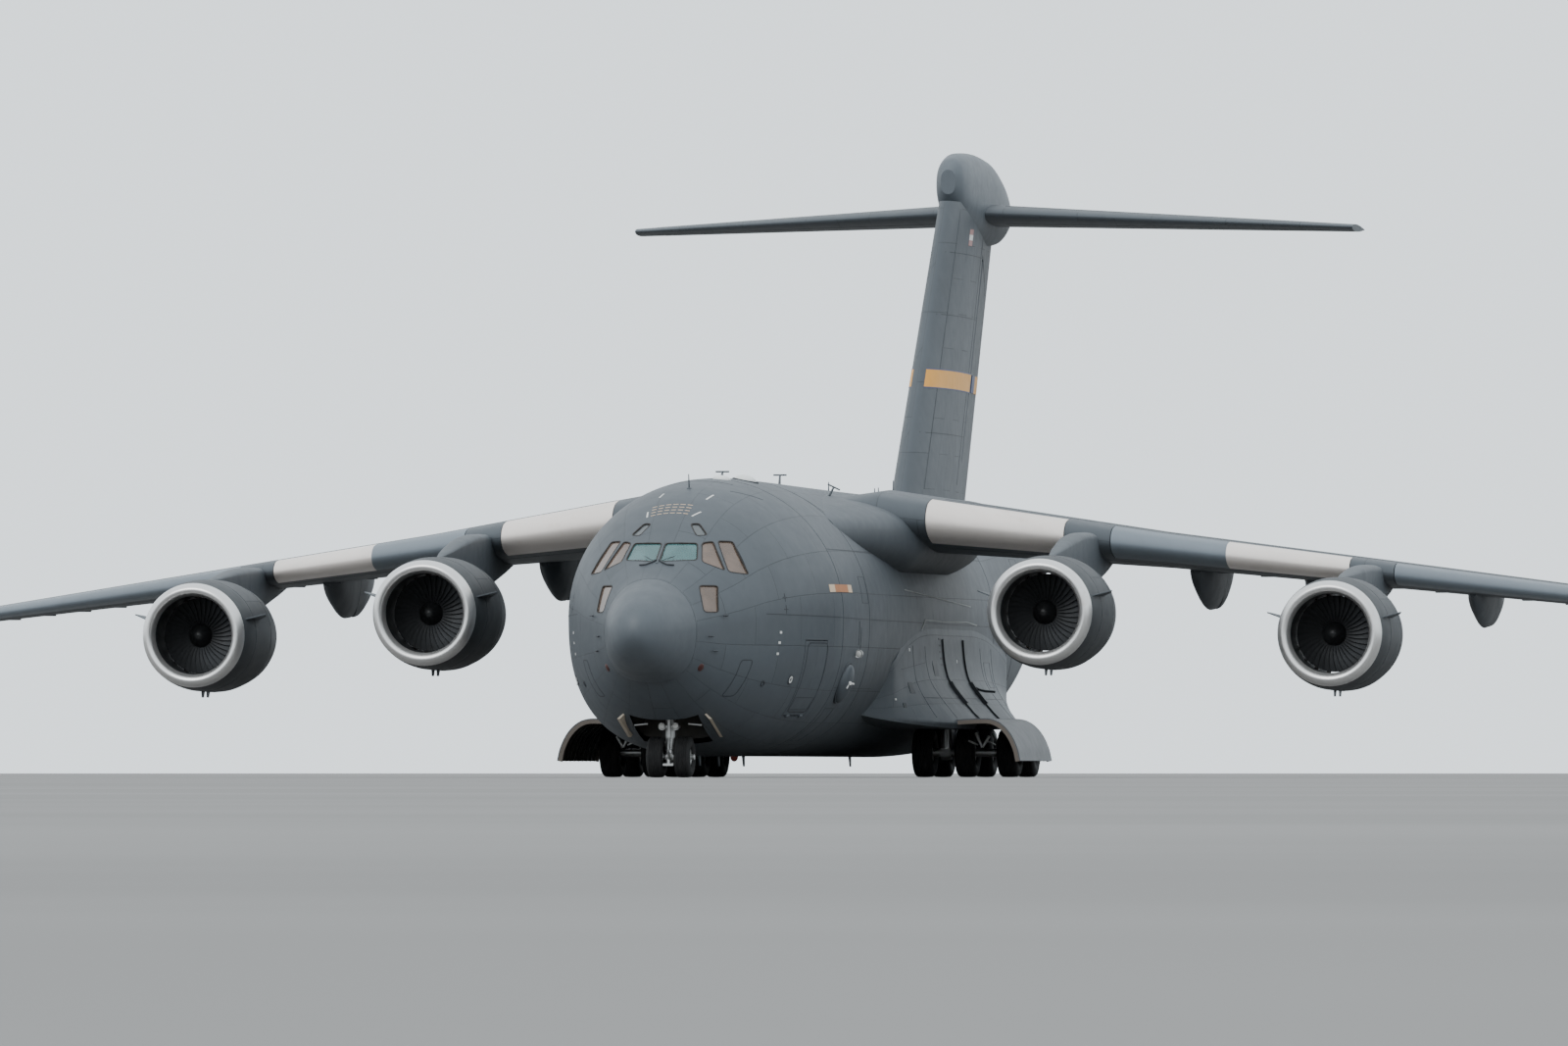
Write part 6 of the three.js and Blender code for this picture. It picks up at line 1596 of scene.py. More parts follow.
# Pod lines: width, height over the skin, and two ends as station and height
POD_SLOTS = [
    (0.06, 0.045, 23.0, 3.5, 23.0, 1.4), (0.2, 0.09, 23.0, 2.4, 23.0, 1.85),
    (0.06, 0.045, 26.0, 3.5, 26.0, 1.4), (0.2, 0.09, 26.0, 2.4, 26.0, 1.85),
    *[(0.05, 0.005, 22.5, height, 22.8, height) for height in np.linspace(2.85, 3.5, 5)],
    (0.3, 0.012, 17.95, 2.24, 18.35, 2.24), (0.4, 0.012, 21.3, 2.75, 21.9, 2.75),
    (0.12, 0.01, 17.1, 1.8, 17.3, 1.8),
]
POD_SEAMS = [
    *[(0.016, 0.005, station, 3.3, station, 1.5) for station in (18.9, 20.5, 28.6, 30.4)],
    (0.014, 0.005, 18.9, 2.0, 30.4, 2.0), (0.014, 0.005, 17.4, 2.7, 20.5, 2.9),
]
POD_HATCH = (29.0, 30.0, 2.3, 2.95)
POD_MARKS = [
    (0.08, 0.005, 18.4, 3.2, 18.52, 3.2), (0.08, 0.005, 24.9, 2.95, 25.0, 2.95),
    (0.05, 0.005, 16.6, 1.95, 16.7, 1.95),
]
POD_EDGE = [[20.2, 3.7], [20.8, 3.97], [23.5, 3.94], [26.8, 3.97], [28.4, 3.9]]
POD_ROOT = [[18.2, 4.70], [27.6, 4.37]]
POD_DRAIN = [(3.66, 26.0, 2.37), (3.98, 26.0, 2.215), (4.33, 26.0, 2.18)]

# The fin's band and mark: name, look, heights and chord fractions of each patch
BAND, BAND_EDGES, FIXED_CHORD = (10.33, 10.8), ((10.3, 10.33), (10.8, 10.83)), (0.02, 0.698)
RUDDER_BANDS = [("rudder_band_blue", "mark_blue", (0.745, 0.85)),
                ("rudder_band_yellow", "mark_yellow", (0.85, 0.985))]
FIN_MARKS = [("fin_mark_top", "mark_pink", (14.55, 14.7)), ("fin_mark_middle", "mark_pale", (14.4, 14.55)),
             ("fin_mark_low", "mark_pink", (14.25, 14.4))]
FIN_MARK_CHORD = (0.3, 0.36)

# Lines on the lifting surfaces: span and chord fraction of both ends
FIN_LINES = [(7.6, 0.12, 15.2, 0.12), (7.8, 0.62, 15.2, 0.62),
             *[(span, 0.03, span, 0.7) for span in (9.1, 12.3, 14.0)]]
TAILPLANE_LINES = [(0.9, 0.14, 9.3, 0.14), (0.9, 0.6, 9.3, 0.6), (3.4, 0.14, 3.4, 0.6), (6.4, 0.14, 6.4, 0.6)]
WING_TOP_LINES = [
    (4.2, 0.6, 9.4, 0.6), (4.2, 0.705, 9.4, 0.705), *[(span, 0.6, span, 0.705) for span in (4.2, 6.7, 9.4)],
    (4.2, 0.16, 23.8, 0.16), (4.2, 0.55, 23.8, 0.55),
    *[(span, 0.16, span, 0.55) for span in (5.6, 8.2, 11.0, 13.8, 16.6, 19.4, 22.2)],
]
WING_LOW_LINES = [(4.2, 0.16, 23.8, 0.16), (4.2, 0.6, 23.8, 0.6),
                  *[(span, 0.16, span, 0.6) for span in (5.6, 11.0, 18.0)]]
TANK_COVERS = {"spans": (10.6, 23.5, 1.05), "fraction": 0.38, "inner": 0.17, "outer": 0.2, "proud": 0.012}
WING_LAMP, WING_LAMP_OUT = (24.7, 29.0, 3.99), (0.3, -1, 0)
DISCHARGERS = [("aileron", wing_surface, (19.0, 23.3, 5)), ("elevator", tail_surface, (1.6, 5.2, 4))]
DISCHARGER_ROOT, DISCHARGER_REACH, DISCHARGER_RADIUS = 0.985, np.array([0, 0.2, -0.02]), 0.008

# Cowl joints: distances behind the lip, and degrees round the axis of the lines along the cowl
COWL_RINGS, COWL_LINES, COWL_LINE_ENDS = (1.25, 2.95, 4.05), (-90, 38, 142), (1.27, 4.05)


def hull_angle(points):
    """The angle round the hull of points on it: the power ring's formula turned round."""
    low, high, half, middle, crown = hull_rows(points[:, 1])
    rise = points[:, 2] - middle
    tall = np.where(rise >= 0, high - middle, middle - low)
    power = np.where(rise >= 0, crown, BELLY_POWER)
    across = np.sign(points[:, 0]) * (np.abs(points[:, 0]) / half) ** (power / 2)
    return np.arctan2(np.sign(rise) * (np.abs(rise) / tall) ** (power / 2), across)


def hull_path(points, closed=False):
    """A path on the hull through rough points: station and angle run evenly between them."""
    points = np.asarray(points, float)
    flat = np.column_stack([points[:, 1], np.unwrap(hull_angle(points)) * UV_RADIUS])
    flat = densified(flat, PATH_STEP, closed)
    return hull_points(flat[:, 0], flat[:, 1] / UV_RADIUS)


def hull_line(points, width=LINE_WIDTH, proud=LINE_PROUD, closed=False):
    """A raised line on the hull through rough points."""
    path = hull_path(points, closed)
    return ribbon(path, hull_normals(path), width, proud, closed)


def side_line(outline, width=LINE_WIDTH, proud=LINE_PROUD, closed=False):
    """A raised line on the hull's side through points given as station and height."""
    return hull_line(on_side(densified(outline, 0.4, closed)), width, proud, closed)


def hull_ring(station, width=0.022, proud=LINE_PROUD):
    """A raised line once round the hull."""
    angle = np.linspace(0, 2 * np.pi, RING_POINTS, endpoint=False)
    path = hull_points(np.full(RING_POINTS, station), angle)
    return ribbon(path, hull_normals(path), width, proud, closed=True)


def seated(form, place, out, along=(0.0, 1.0, 0.0)):
    """A form drawn with z out of a skin and x along it, set at a place on the skin."""
    out = unit(out)
    first = unit(np.asarray(along, float) - out * np.dot(along, out))
    return form.moved(np.stack([first, np.cross(out, first), out], 1), place)


def on_hull(form, place):
    """A form set on the hull at the point nearest to a rough place."""
    point = hull_path([place])
    return seated(form, point[0], hull_normals(point)[0])


def dome(radius, height, sides=32):
    """A round cap: a quarter ellipse turned round its height, with a short wall under it."""
    turn = np.linspace(0, np.pi / 2, 9)
    cap = np.column_stack([height * np.sin(turn), radius * np.cos(turn)])
    return turned(np.concatenate([[[-0.06, 0], [-0.06, radius]], cap]), sides, axis=2)


def washer(inner, outer, high):
    """A flat ring of rectangular section, its top slightly crowned."""
    profile = [[-0.04, inner], [-0.04, outer], [high * 0.7, outer], [high, (inner + outer) / 2],
               [high * 0.7, inner]]
    return turned(closed_profile(profile), 40, axis=2)


def whip(height):
    """A whip aerial on a small foot: a tube that narrows to its tip."""
    path = np.column_stack([np.zeros(6), np.zeros(6), np.linspace(-0.03, height, 6)])
    stem = tube(path, np.linspace(WHIP_RADIUS, WHIP_RADIUS * 0.5, 6), 10)
    return merged([stem, dome(WHIP_RADIUS * 3, 0.03, 16)])


def blade_aerial(height, base, bar=0.0):
    """A swept blade aerial, with a bar across its top where bar is its length."""
    outline = [[-base / 2, -0.04], [base / 2, -0.04], [base * 0.55, height], [base * 0.15, height]]
    forms = [prism(outline, -0.014, 0.014, 1)]
    if bar:
        forms.append(rod((base * 0.35, -bar / 2, height), (base * 0.35, bar / 2, height), 0.02, 12))
    return merged(forms)


def build_aerials():
    """The aerials on the back and belly, two roof domes, one with a rim, and the belly's beacon."""
    tall = bpy.context.scene.aircraft_sizes.whip_height
    forms = [on_hull(whip(tall * share), (0, station, 9)) for station, share in WHIPS]
    forms += [on_hull(blade_aerial(height, BLADE_BASE, BLADE_BAR), place) for *place, height in BARRED_BLADES]
    blade = blade_aerial(BELLY_BLADES["height"], BELLY_BLADES["base"])
    forms += [on_hull(blade, (0, station, 0)) for station in BELLY_BLADES["stations"]]
    make("aerials", forms, "fitting", sharp=40)
    make("roof_dome_rim", on_hull(washer(0.27, 0.33, 0.02), LARGE_DOME), "seam")
    make("roof_domes", [on_hull(dome(0.22, 0.1), SMALL_DOME), on_hull(dome(0.27, 0.14), LARGE_DOME)], "white")
    make("belly_beacon", on_hull(dome(0.1, 0.13), (0, 13.0, 0)), "lamp_red")


def crew_door_line(inset, low, high, width, corner=0.0):
    """A closed line on the crew door's skin, inset from both ends, its corners rounded where asked."""
    station, half = CREW_DOOR["station"], CREW_DOOR["length"] / 2
    outline = rectangle(station - half + inset, station + half - inset, low, high)
    return side_line(rounded(outline, corner) if corner else outline, width, closed=True)


def build_seams():
    """Frame joints, lap lines, hatch outlines and access panels on the fuselage."""
    make("soft_seams", hull_ring(RADOME_SEAM, 0.012, 0.003), "seam_soft")
    side = [side_line(points, width) for width, points in SIDE_SEAMS]
    side += [side_line(rectangle(*sides), width, closed=True) for width, *sides in SIDE_HATCHES]
    side.append(hull_line(rounded(CHIN_HATCH, 0.12), 0.028, closed=True))
    make("hull_seams", [*[hull_ring(station) for station in RING_SEAMS], *both(side)], "seam")
    make("crew_door_seams", [crew_door_line(**line) for line in CREW_DOOR_LINES], "seam", "crew_door_body")
    make_pair("side_slots", [side_line(points, width, 0.006) for width, points in SIDE_SLOTS], "seam")
    make("roof_seams", [hull_line(path, 0.03) for path in ROOF_SEAMS], "seam")


def build_marks():
    """Small plain marks: the roof's dashed rows, slanted dashes, the bar and dots on each side."""
    height, length = DASH_ROWS["height"], DASH_ROWS["length"]
    places = [(x, station) for station in DASH_ROWS["stations"] for x in np.arange(*DASH_ROWS["x"])]
    rows = [hull_line([(x, station, height), (x + length, station, height)], 0.026) for x, station in places]
    make("roof_dashes", rows, "mark_sand")
    pale = [hull_line([(x, y, z), (x + dx, y + dy, z)], 0.04) for (x, y, z), (dx, dy) in SLANTED_DASHES]
    for station, height in DOTS["places"]:
        pale += both([side_line([[station, height], [station + DOTS["length"], height]], DOTS["width"])])
    make("pale_marks", pale, "mark_pale")
    dark = []
    station, half, width = CROSSES["station"], CROSSES["half"], CROSSES["width"]
    for height in CROSSES["heights"]:
        dark += both([side_line([[station - half, height], [station + half, height]], width),
                      side_line([[station, height - half], [station, height + half]], width)])
    make("dark_marks", dark, "mark_dark")
    length = BAR_END - BAR_START
    for name, finish, shares in BAR_SHARES:
        lines = [[BAR_START + a * length, BAR_START + b * length] for a, b in shares]
        make_pair(name, [hull_line(line, BAR_WIDTH, 0.006) for line in lines], finish)


def build_ports():
    """On each side the round port, the domed panel with its rim and arms, a lamp in its case, a dark red
    lens and the air probes."""
    length, out = PANEL_ARMS["length"], PANEL_ARMS["out"]
    arms = [rod((0, 0, out), (length * math.cos(turn), length * math.sin(turn), out), PANEL_ARMS["radius"])
            for turn in PANEL_ARMS["turns"]]
    arms.append(rod(*PANEL_HUB))
    middle = hull_path([DOMED_PANEL])[0] + PANEL_ARMS["shift"]
    arms = [seated(form, middle, PANEL_ARMS["facing"], (0, 0, 1)) for form in arms]
    make_pair("side_rings", [on_hull(washer(0.05, 0.09, 0.02), PORT), *arms], "mark_pale")
    make_pair("domed_panels", on_hull(dome(0.5, 0.2, 40), DOMED_PANEL), "fitting")
    make_pair("panel_rims", on_hull(washer(0.5, 0.54, 0.012), DOMED_PANEL), "seam_soft")
    make_pair("side_ports", [on_hull(washer(0.09, 0.13, 0.018), PORT), on_hull(dome(0.05, 0.008), PORT),
                             on_hull(washer(0.05, 0.08, 0.02), CHIN_LAMP)], "mark_dark")
    place = hull_path([SIDE_LAMP])[0] + (LAMP_OUT, 0.0, 0.0)
    make_pair("side_lamp_cases", turned(LAMP_CASE, 28, centre=place), "steel")
    make_pair("side_lamps", turned(LAMP_LENS, 28, centre=place), "lamp")
    make_pair("red_lamps", on_hull(dome(0.1, 0.03), RED_LAMP), "dark_red")
    probe = merged([rod(*row) for row in PROBE_RODS])
    make_pair("air_probes", [on_hull(probe, place) for place in on_side(PROBES)], "mark_dark")


def build_window_trim():
    """The post between the front panes and the two wipers."""
    post = on_nose(densified(POST, 0.06))
    make("windscreen_post", ribbon(post, hull_normals(post), 0.05, 0.012), "fitting")
    forms = []
    for side in (-1, 1):
        for outline, lift, radius, sides in ((WIPER_BLADE, 0.022, 0.019, 10), (WIPER_ARM, 0.02, 0.009, 8)):
            path = on_nose(densified(np.array(outline) * (side, 1), 0.05))
            forms.append(tube(path + hull_normals(path) * lift, radius, sides))
    make("wipers", forms, "mark_dark")


def pod_points(station, height):
    """Points of the gear pod's side at stations and heights."""
    station, height = np.broadcast_arrays(np.asarray(station, float), np.asarray(height, float))
    reach, top, bottom = smooth_rows(POD, station)
    start = np.minimum(POD_HULL_X, reach)
    share = np.clip((top - height) / (top - bottom), 0, 1)
    return np.stack([start + (reach - start) * smooth_rows(POD_PROFILE, share)[0], station, height], -1)


def pod_line(outline, width, proud=0.005, closed=False):
    """A raised line on the pod's side through points given as station and height. Its normal comes
    from the slopes of the reach along the two."""
    flat = densified(outline, 0.08, closed)
    path = pod_points(flat[:, 0], flat[:, 1])
    tiny = 1e-3
    slope_y = (pod_points(flat[:, 0] + tiny, flat[:, 1]) - path)[:, 0] / tiny
    slope_z = (pod_points(flat[:, 0], flat[:, 1] + tiny) - path)[:, 0] / tiny
    normals = unit(np.column_stack([np.ones(len(path)), -slope_y, -slope_z]))
    return ribbon(path, normals, width, proud, closed)


def pod_lines(rows):
    """The pod's raised lines of a table."""
    return [pod_line(np.reshape(ends, (2, 2)), width, proud) for width, proud, *ends in rows]


def build_pod_details():
    """The pods' slots, vents, panel lines, edge sealant and drain rods."""
    make_pair("pod_slots", pod_lines(POD_SLOTS), "mark_dark")
    hatch = pod_line(rectangle(*POD_HATCH), 0.014, closed=True)
    make_pair("pod_seams", [*pod_lines(POD_SEAMS), hatch], "seam")
    make_pair("pod_marks", pod_lines(POD_MARKS), "mark_pale")
    make_pair("edge_sealant", [side_line(POD_EDGE, 0.035, 0.012), side_line(POD_ROOT, 0.03, 0.01)], "sealant")
    make_pair("pod_drains", tube(curve_through(POD_DRAIN, 6), 0.03, 12), "mark_dark")


def skin_line(surface, row, below=False):
    """A raised line on a lifting surface between the two ends of a table's row."""
    flat = densified(np.reshape(row, (2, 2)), 0.05 if surface.upright else 0.3)
    profile = surface.lower if below else surface.upper
    path = surface.point(flat[:, 0], flat[:, 1], surface.height(flat[:, 0], flat[:, 1], profile))
    out = (-1.0 if below else 1.0) * (np.array([1.0, 0, 0]) if surface.upright else np.array([0.0, 0, 1.0]))
    return ribbon(path, np.broadcast_to(out, path.shape), LINE_WIDTH, LINE_PROUD)


def skin_patch(surface, spans, fractions, below=False, proud=0.008):
    """A thin plate on a lifting surface between two spans and two chord fractions."""
    span, fraction = np.meshgrid(np.linspace(*spans, 4), np.linspace(*fractions, 26), indexing="ij")
    sign = -1.0 if below else 1.0
    height = surface.height(span, fraction, surface.lower if below else surface.upper)
    outer = surface.point(span, fraction, height + sign * proud)
    inner = surface.point(span, fraction, height - sign * 0.01)
    return skin(np.concatenate([outer, inner[:, ::-1]], axis=1))


def build_fin_band():
    """The yellow band on both sides of the fin with dark edges, its blue and yellow run over the rudder,
    and a small plain striped mark."""
    sides = (False, True)
    make("fin_band", [skin_patch(fin_surface, BAND, FIXED_CHORD, side) for side in sides], "mark_yellow")
    edges = [skin_patch(fin_surface, spans, FIXED_CHORD, side, 0.009)
             for side in sides for spans in BAND_EDGES]
    make("fin_band_edges", edges, "mark_blue")
    for name, finish, fractions in RUDDER_BANDS:
        forms = [skin_patch(fin_surface, BAND, fractions, side, 0.016) for side in sides]
        make(name, forms, finish, "rudder_body")
    for name, finish, heights in FIN_MARKS:
        make(name, [skin_patch(fin_surface, heights, FIN_MARK_CHORD, side) for side in sides], finish)
    make("fin_seams", [skin_line(fin_surface, row, side) for side in sides for row in FIN_LINES], "seam")


def build_wing_details():
    """Panel lines, the inboard spoilers' outlines, tank covers and lamps of the wings, and the tailplane's
    panel lines."""
    forms = [skin_line(wing_surface, row) for row in WING_TOP_LINES]
    forms += [skin_line(wing_surface, row, below=True) for row in WING_LOW_LINES]
    make_pair("wing_seams", forms, "seam")
    cover = washer(TANK_COVERS["inner"], TANK_COVERS["outer"], TANK_COVERS["proud"])
    fraction = np.array(TANK_COVERS["fraction"])
    places = [wing_surface.point(span, fraction, wing_surface.height(span, fraction, WING_LOWER))
              for span in np.arange(*TANK_COVERS["spans"])]
    make_pair("tank_covers", [seated(cover, place, (0, 0, -1)) for place in places], "composite")
    tail = [skin_line(tail_surface, row, side) for side in (False, True) for row in TAILPLANE_LINES]
    make_pair("tailplane_seams", tail, "seam")
    lens = seated(dome(0.09, 0.16, 24), WING_LAMP, WING_LAMP_OUT, (0, 0, 1))
    make("wing_lamp_port", lens, "lamp_red")
    make("wing_lamp_starboard", lens.mirrored(), "lamp_green")
    build_dischargers()


def build_dischargers():
    """Static dischargers: thin rods behind the ailerons and the elevators."""
    for name, surface, spans in DISCHARGERS:
        root, middle = np.array(DISCHARGER_ROOT), np.array(0.0)
        starts = [surface.point(span, root, middle) for span in np.linspace(*spans)]
        forms = [rod(start, start + DISCHARGER_REACH, DISCHARGER_RADIUS, 8) for start in starts]
        make_pair(f"{name}_dischargers", forms, "mark_dark", f"{name}_body_{{}}")


def build_cowl_seams():
    """The cowls' joints: thin rings round them and lines along them."""
    for name, x, station, axis in ENGINES:
        forms = []
        for along in COWL_RINGS:
            radius = float(smooth_rows(COWL_OUTSIDE, np.array([along]))[0][0])
            ring = rectangle(along, along + LINE_WIDTH, radius - 0.02, radius + LINE_PROUD)
            forms.append(turned(closed_profile(ring), 96, centre=(x, station, axis)))
        along = np.linspace(*COWL_LINE_ENDS, 24)
        radius = smooth_rows(COWL_OUTSIDE, along)[0]
        for degrees in COWL_LINES:
            c, s = math.cos(math.radians(degrees)), math.sin(math.radians(degrees))
            path = np.column_stack([x + radius * c, station + along, axis + radius * s])
            forms.append(ribbon(path, np.broadcast_to([c, 0.0, s], path.shape), LINE_WIDTH, LINE_PROUD))
        make_pair(f"cowl_seams_{name}", forms, "seam")


# Landing gear fittings

# Nose lamps: places, and distance aft and radius of the case and the lens
NOSE_LAMP = (0.17, 4.45, 1.244)
NOSE_LAMP_CASE = [[0.0, 0.0], [0.0, 0.08], [0.05, 0.085], [0.12, 0.06], [0.14, 0.0]]
NOSE_LAMP_LENS = [[-0.035, 0.0], [-0.028, 0.04], [-0.005, 0.068], [0.01, 0.07], [0.01, 0.0]]
# Rods: start, end, radius and sides. Those of the main gear are measured from an axle's station
NOSE_LAMP_ARM = ((0.17, 4.55, 1.244), (0.06, 4.7, 1.2), 0.025, 12)
NOSE_PISTON = ((0, 4.75, 0.3), (0, 4.75, 0.7), 0.098, 32)
NOSE_RODS = [
    ((0, 4.75, 0.665), (0, 4.75, 0.95), 0.135, 32), ((0, 4.55, 0.97), (0, 4.5, 1.6), 0.045, 16),
    ((-0.16, 4.6, 0.33), (0.1, 4.6, 0.33), 0.03, 12), ((0, 4.56, 0.95), (0, 4.42, 0.66), 0.035, 12),
    ((0, 4.42, 0.66), (0, 4.62, 0.4), 0.035, 12), ((-0.2, 4.72, 0.85), (0.2, 4.72, 0.85), 0.05, 16),
]
NOSE_HOSE = [(0.1, 4.6, 1.5), (0.15, 4.57, 1.05), (0.11, 4.6, 0.72), (0.06, 4.66, 0.4)]
NOSE_DOOR_RODS = [((0.5, 4.4, 1.3), (0.83, 4.4, 1.27), 0.022, 10),
                  ((0.55, 4.6, 1.6), (0.84, 4.6, 1.55), 0.022, 10)]
MAIN_RODS = [
    ((4.46, -1.2, 1.13), (4.63, -1.2, 0.76), 0.04, 12), ((4.63, -1.2, 0.76), (4.81, -1.2, 1.05), 0.04, 12),
    ((4.27, -1.2, 0.93), (4.52, -1.2, 0.82), 0.025, 10), ((3.5, -0.25, 1.7), (3.5, -0.1, 0.75), 0.06, 16),
    ((3.3, 0.3, 1.75), (3.5, 0.1, 0.8), 0.04, 12),
]
MAIN_HOSE_PLACES = (3.2, 3.75)
MAIN_HOSE = [(0, -0.35, 1.7), (0.06, -0.42, 1.25), (0, -0.3, 0.85), (0, -0.12, 0.66)]


def build_nose_fittings():
    """Lamps, piston, collar, links and hoses of the nose gear, which turn with its leg, and door rods."""
    arm = rod(*NOSE_LAMP_ARM)
    shells = both([turned(NOSE_LAMP_CASE, 32, centre=NOSE_LAMP), arm])
    make("nose_lamp_cases", shells, "steel", "nose_leg")
    make("nose_lamp_lenses", both([turned(NOSE_LAMP_LENS, 32, centre=NOSE_LAMP)]), "lamp", "nose_leg")
    make("nose_piston", rod(*NOSE_PISTON), "chrome", "nose_leg")
    make("nose_links", [rod(*row) for row in NOSE_RODS], "steel", "nose_leg")
    make("nose_hoses", both([tube(curve_through(NOSE_HOSE, 8), 0.013, 8)]), "tyre", "nose_leg")
    make_pair("nose_door_rods", [rod(*row) for row in NOSE_DOOR_RODS], "steel")


def build_main_fittings():
    """Struts and brake hoses of the main gear."""
    forms, hoses = [], []
    for _, station in MAIN_STATIONS:
        shift = np.array([0, station, 0])
        forms += [rod(start + shift, end + shift, radius, sides) for start, end, radius, sides in MAIN_RODS]
        routes = [np.array(MAIN_HOSE) + shift + (x, 0, 0) for x in MAIN_HOSE_PLACES]
        hoses += [tube(curve_through(route, 8), 0.014, 8) for route in routes]
    make_pair("main_gear_rods", forms, "steel")
    make_pair("main_gear_hoses", hoses, "tyre")


# Depths under the gear door's outer face of its sheet, lining, stiffeners and rims
DOOR_SHEET, DOOR_LINING, DOOR_RIBS, DOOR_RIMS = (0.0, 0.03), (0.031, 0.05), (0.05, 0.085), (0.031, 0.13)
RIB_COUNT, RIB_WIDTH, RIM_WIDTH, LINING_INSET = 9, 0.05, 0.11, 0.12


def gear_door_sheet(start, end, stations):
    """A curved sheet between two depths under the gear door's outer face."""
    path = curve_through(GEAR_DOOR, 7)
    along = unit(np.gradient(path, axis=0))
    inward = np.column_stack([along[:, 1], -along[:, 0]])
    ring = np.concatenate([path + inward * start, (path + inward * end)[::-1]])
    return skin(np.stack([np.insert(ring, 1, station, axis=1) for station in np.linspace(*stations, 12)]))


def build_gear_doors():
    """The main gear doors: a painted outer sheet, a lining with stiffeners whose dark colour is painted
    shade, and sand-coloured rims.
    """
    start, end = GEAR_DOOR_STATIONS
    make_pair("gear_door_sheet", gear_door_sheet(*DOOR_SHEET, (start, end)), "door_paint",
              node="main_gear_door_{}", sharp=50)
    places = np.linspace(start + 0.3, end - 0.3 - RIB_WIDTH, RIB_COUNT)
    ribs = [gear_door_sheet(*DOOR_RIBS, (station, station + RIB_WIDTH)) for station in places]
    lining = gear_door_sheet(*DOOR_LINING, (start + LINING_INSET, end - LINING_INSET))
    # The lining and stiffeners are dark: painted shade on the door's inner face.
    make_pair("gear_door_lining", [lining, *ribs], "bay", sharp=50)
    ends = [(station, station + RIM_WIDTH) for station in (start, end - RIM_WIDTH)]
    make_pair("gear_door_rims", [gear_door_sheet(*DOOR_RIMS, stations) for stations in ends], "rim", sharp=50)


# Stage

# The camera, fitted to the photograph, in the frame's metres and degrees
CAMERA = {"place": (35.03, -191.66, 0.06), "azimuth": 10.54, "elevation": 0.9406, "lens": 348.9,
          "sensor": 36.0, "far": 3000.0}
FLOOR_HALF = 900.0
SUN = {"energy": 1.5, "angle": 40, "colour": (1.0, 0.98, 0.95), "turn": (38, -14, 0)}
SKY_COLOUR, SKY_STRENGTH = (0.70, 0.76, 0.80, 1.0), 2.1


def placed_object(name, data):
    """A new object with that data in the scene."""
    made = bpy.data.objects.new(name, data)
    bpy.context.scene.collection.objects.link(made)
    return made


def build_stage():
    """The camera of the photograph, a plain pale floor, a pale sky and soft light from above."""
    scene = bpy.context.scene
    camera = placed_object("camera", bpy.data.cameras.new("camera"))
    camera.data.lens = CAMERA["lens"]
    camera.data.sensor_width = CAMERA["sensor"]
    camera.data.clip_end = CAMERA["far"]
    camera.location = CAMERA["place"]
    azimuth, elevation = math.radians(CAMERA["azimuth"]), math.radians(CAMERA["elevation"])
    direction = Vector((-math.sin(azimuth) * math.cos(elevation), math.cos(azimuth) * math.cos(elevation),
                        math.sin(elevation)))
    camera.rotation_euler = direction.to_track_quat("-Z", "Y").to_euler()
    scene.camera = camera
    mesh = bpy.data.meshes.new("floor")
    corners = rectangle(-FLOOR_HALF, FLOOR_HALF, -FLOOR_HALF, FLOOR_HALF)
    mesh.from_pydata([(x, y, 0) for x, y in corners], [], [(0, 1, 2, 3)])
    mesh.materials.append(floor_look())
    placed_object("floor", mesh)
    sun = placed_object("soft_sun", bpy.data.lights.new("soft_sun", "SUN"))
    sun.data.energy = SUN["energy"]
    sun.data.angle = math.radians(SUN["angle"])
    sun.data.color = SUN["colour"]
    sun.rotation_euler = [math.radians(turn) for turn in SUN["turn"]]
    world = bpy.data.worlds.new("pale_sky")
    world.use_nodes = True
    background = world.node_tree.nodes["Background"]
    background.inputs["Color"].default_value = SKY_COLOUR
    background.inputs["Strength"].default_value = SKY_STRENGTH
    scene.world = world


def floor_look():
    """Plain pale concrete."""
    surface = Look("floor_concrete", Metallic=0.0, Roughness=0.9)
    cloud = surface.noise(0.15, 4.0).above(0.3, 0.7)
    return surface.set(Base_Color=surface.mix(cloud, (0.155, 0.15, 0.146, 1), (0.19, 0.185, 0.18, 1)))


# Settings

def colour_property(label, what, default):
    """A colour that the panel shows."""
    return FloatVectorProperty(name=label, description=what, default=default, subtype="COLOR", min=0, max=1)


class AircraftColours(bpy.types.PropertyGroup):
    """Colours of the main finishes."""

    paint: colour_property("Paint", "Hull and wing paint", (0.068, 0.079, 0.09))
    radome: colour_property("Radome", "Radome paint", (0.071, 0.082, 0.093))
    composite: colour_property("Composite", "Paint on flaps, fairings and controls", (0.061, 0.071, 0.081))
    slat: colour_property("Slats", "Bare metal of the slats", (0.8, 0.73, 0.68))
    lip: colour_property("Lips", "Polished inlet lips", (0.68, 0.67, 0.66))
    steel: colour_property("Gear", "Legs, rims and rods", (0.5, 0.5, 0.49))
    primer: colour_property("Lining", "Inner faces of doors and bays", (0.5, 0.43, 0.34))
    front_glass: colour_property("Front glass", "Tint of the front panes", (0.068, 0.155, 0.158))
    side_glass: colour_property("Side glass", "Tint of the side panes", (0.15, 0.105, 0.08))


class AircraftSizes(bpy.types.PropertyGroup):
    """Sizes and counts of fittings that the CAD part leaves open."""

    fan_blades: IntProperty(name="Fan blades", description="Blades of each fan", default=36, min=12, max=48)
    whip_height: FloatProperty(name="Whip aerials", description="Full-size height of the tallest whip aerial",
                               default=0.42, min=0.1, max=1.0, unit="LENGTH")


# Operators

class Step:
    """What the operators share: each runs its builders in order."""

    builds = ()

    def execute(self, context):
        """Runs the builders of the operator's group."""
        for build in self.builds:
            build()
        return {"FINISHED"}


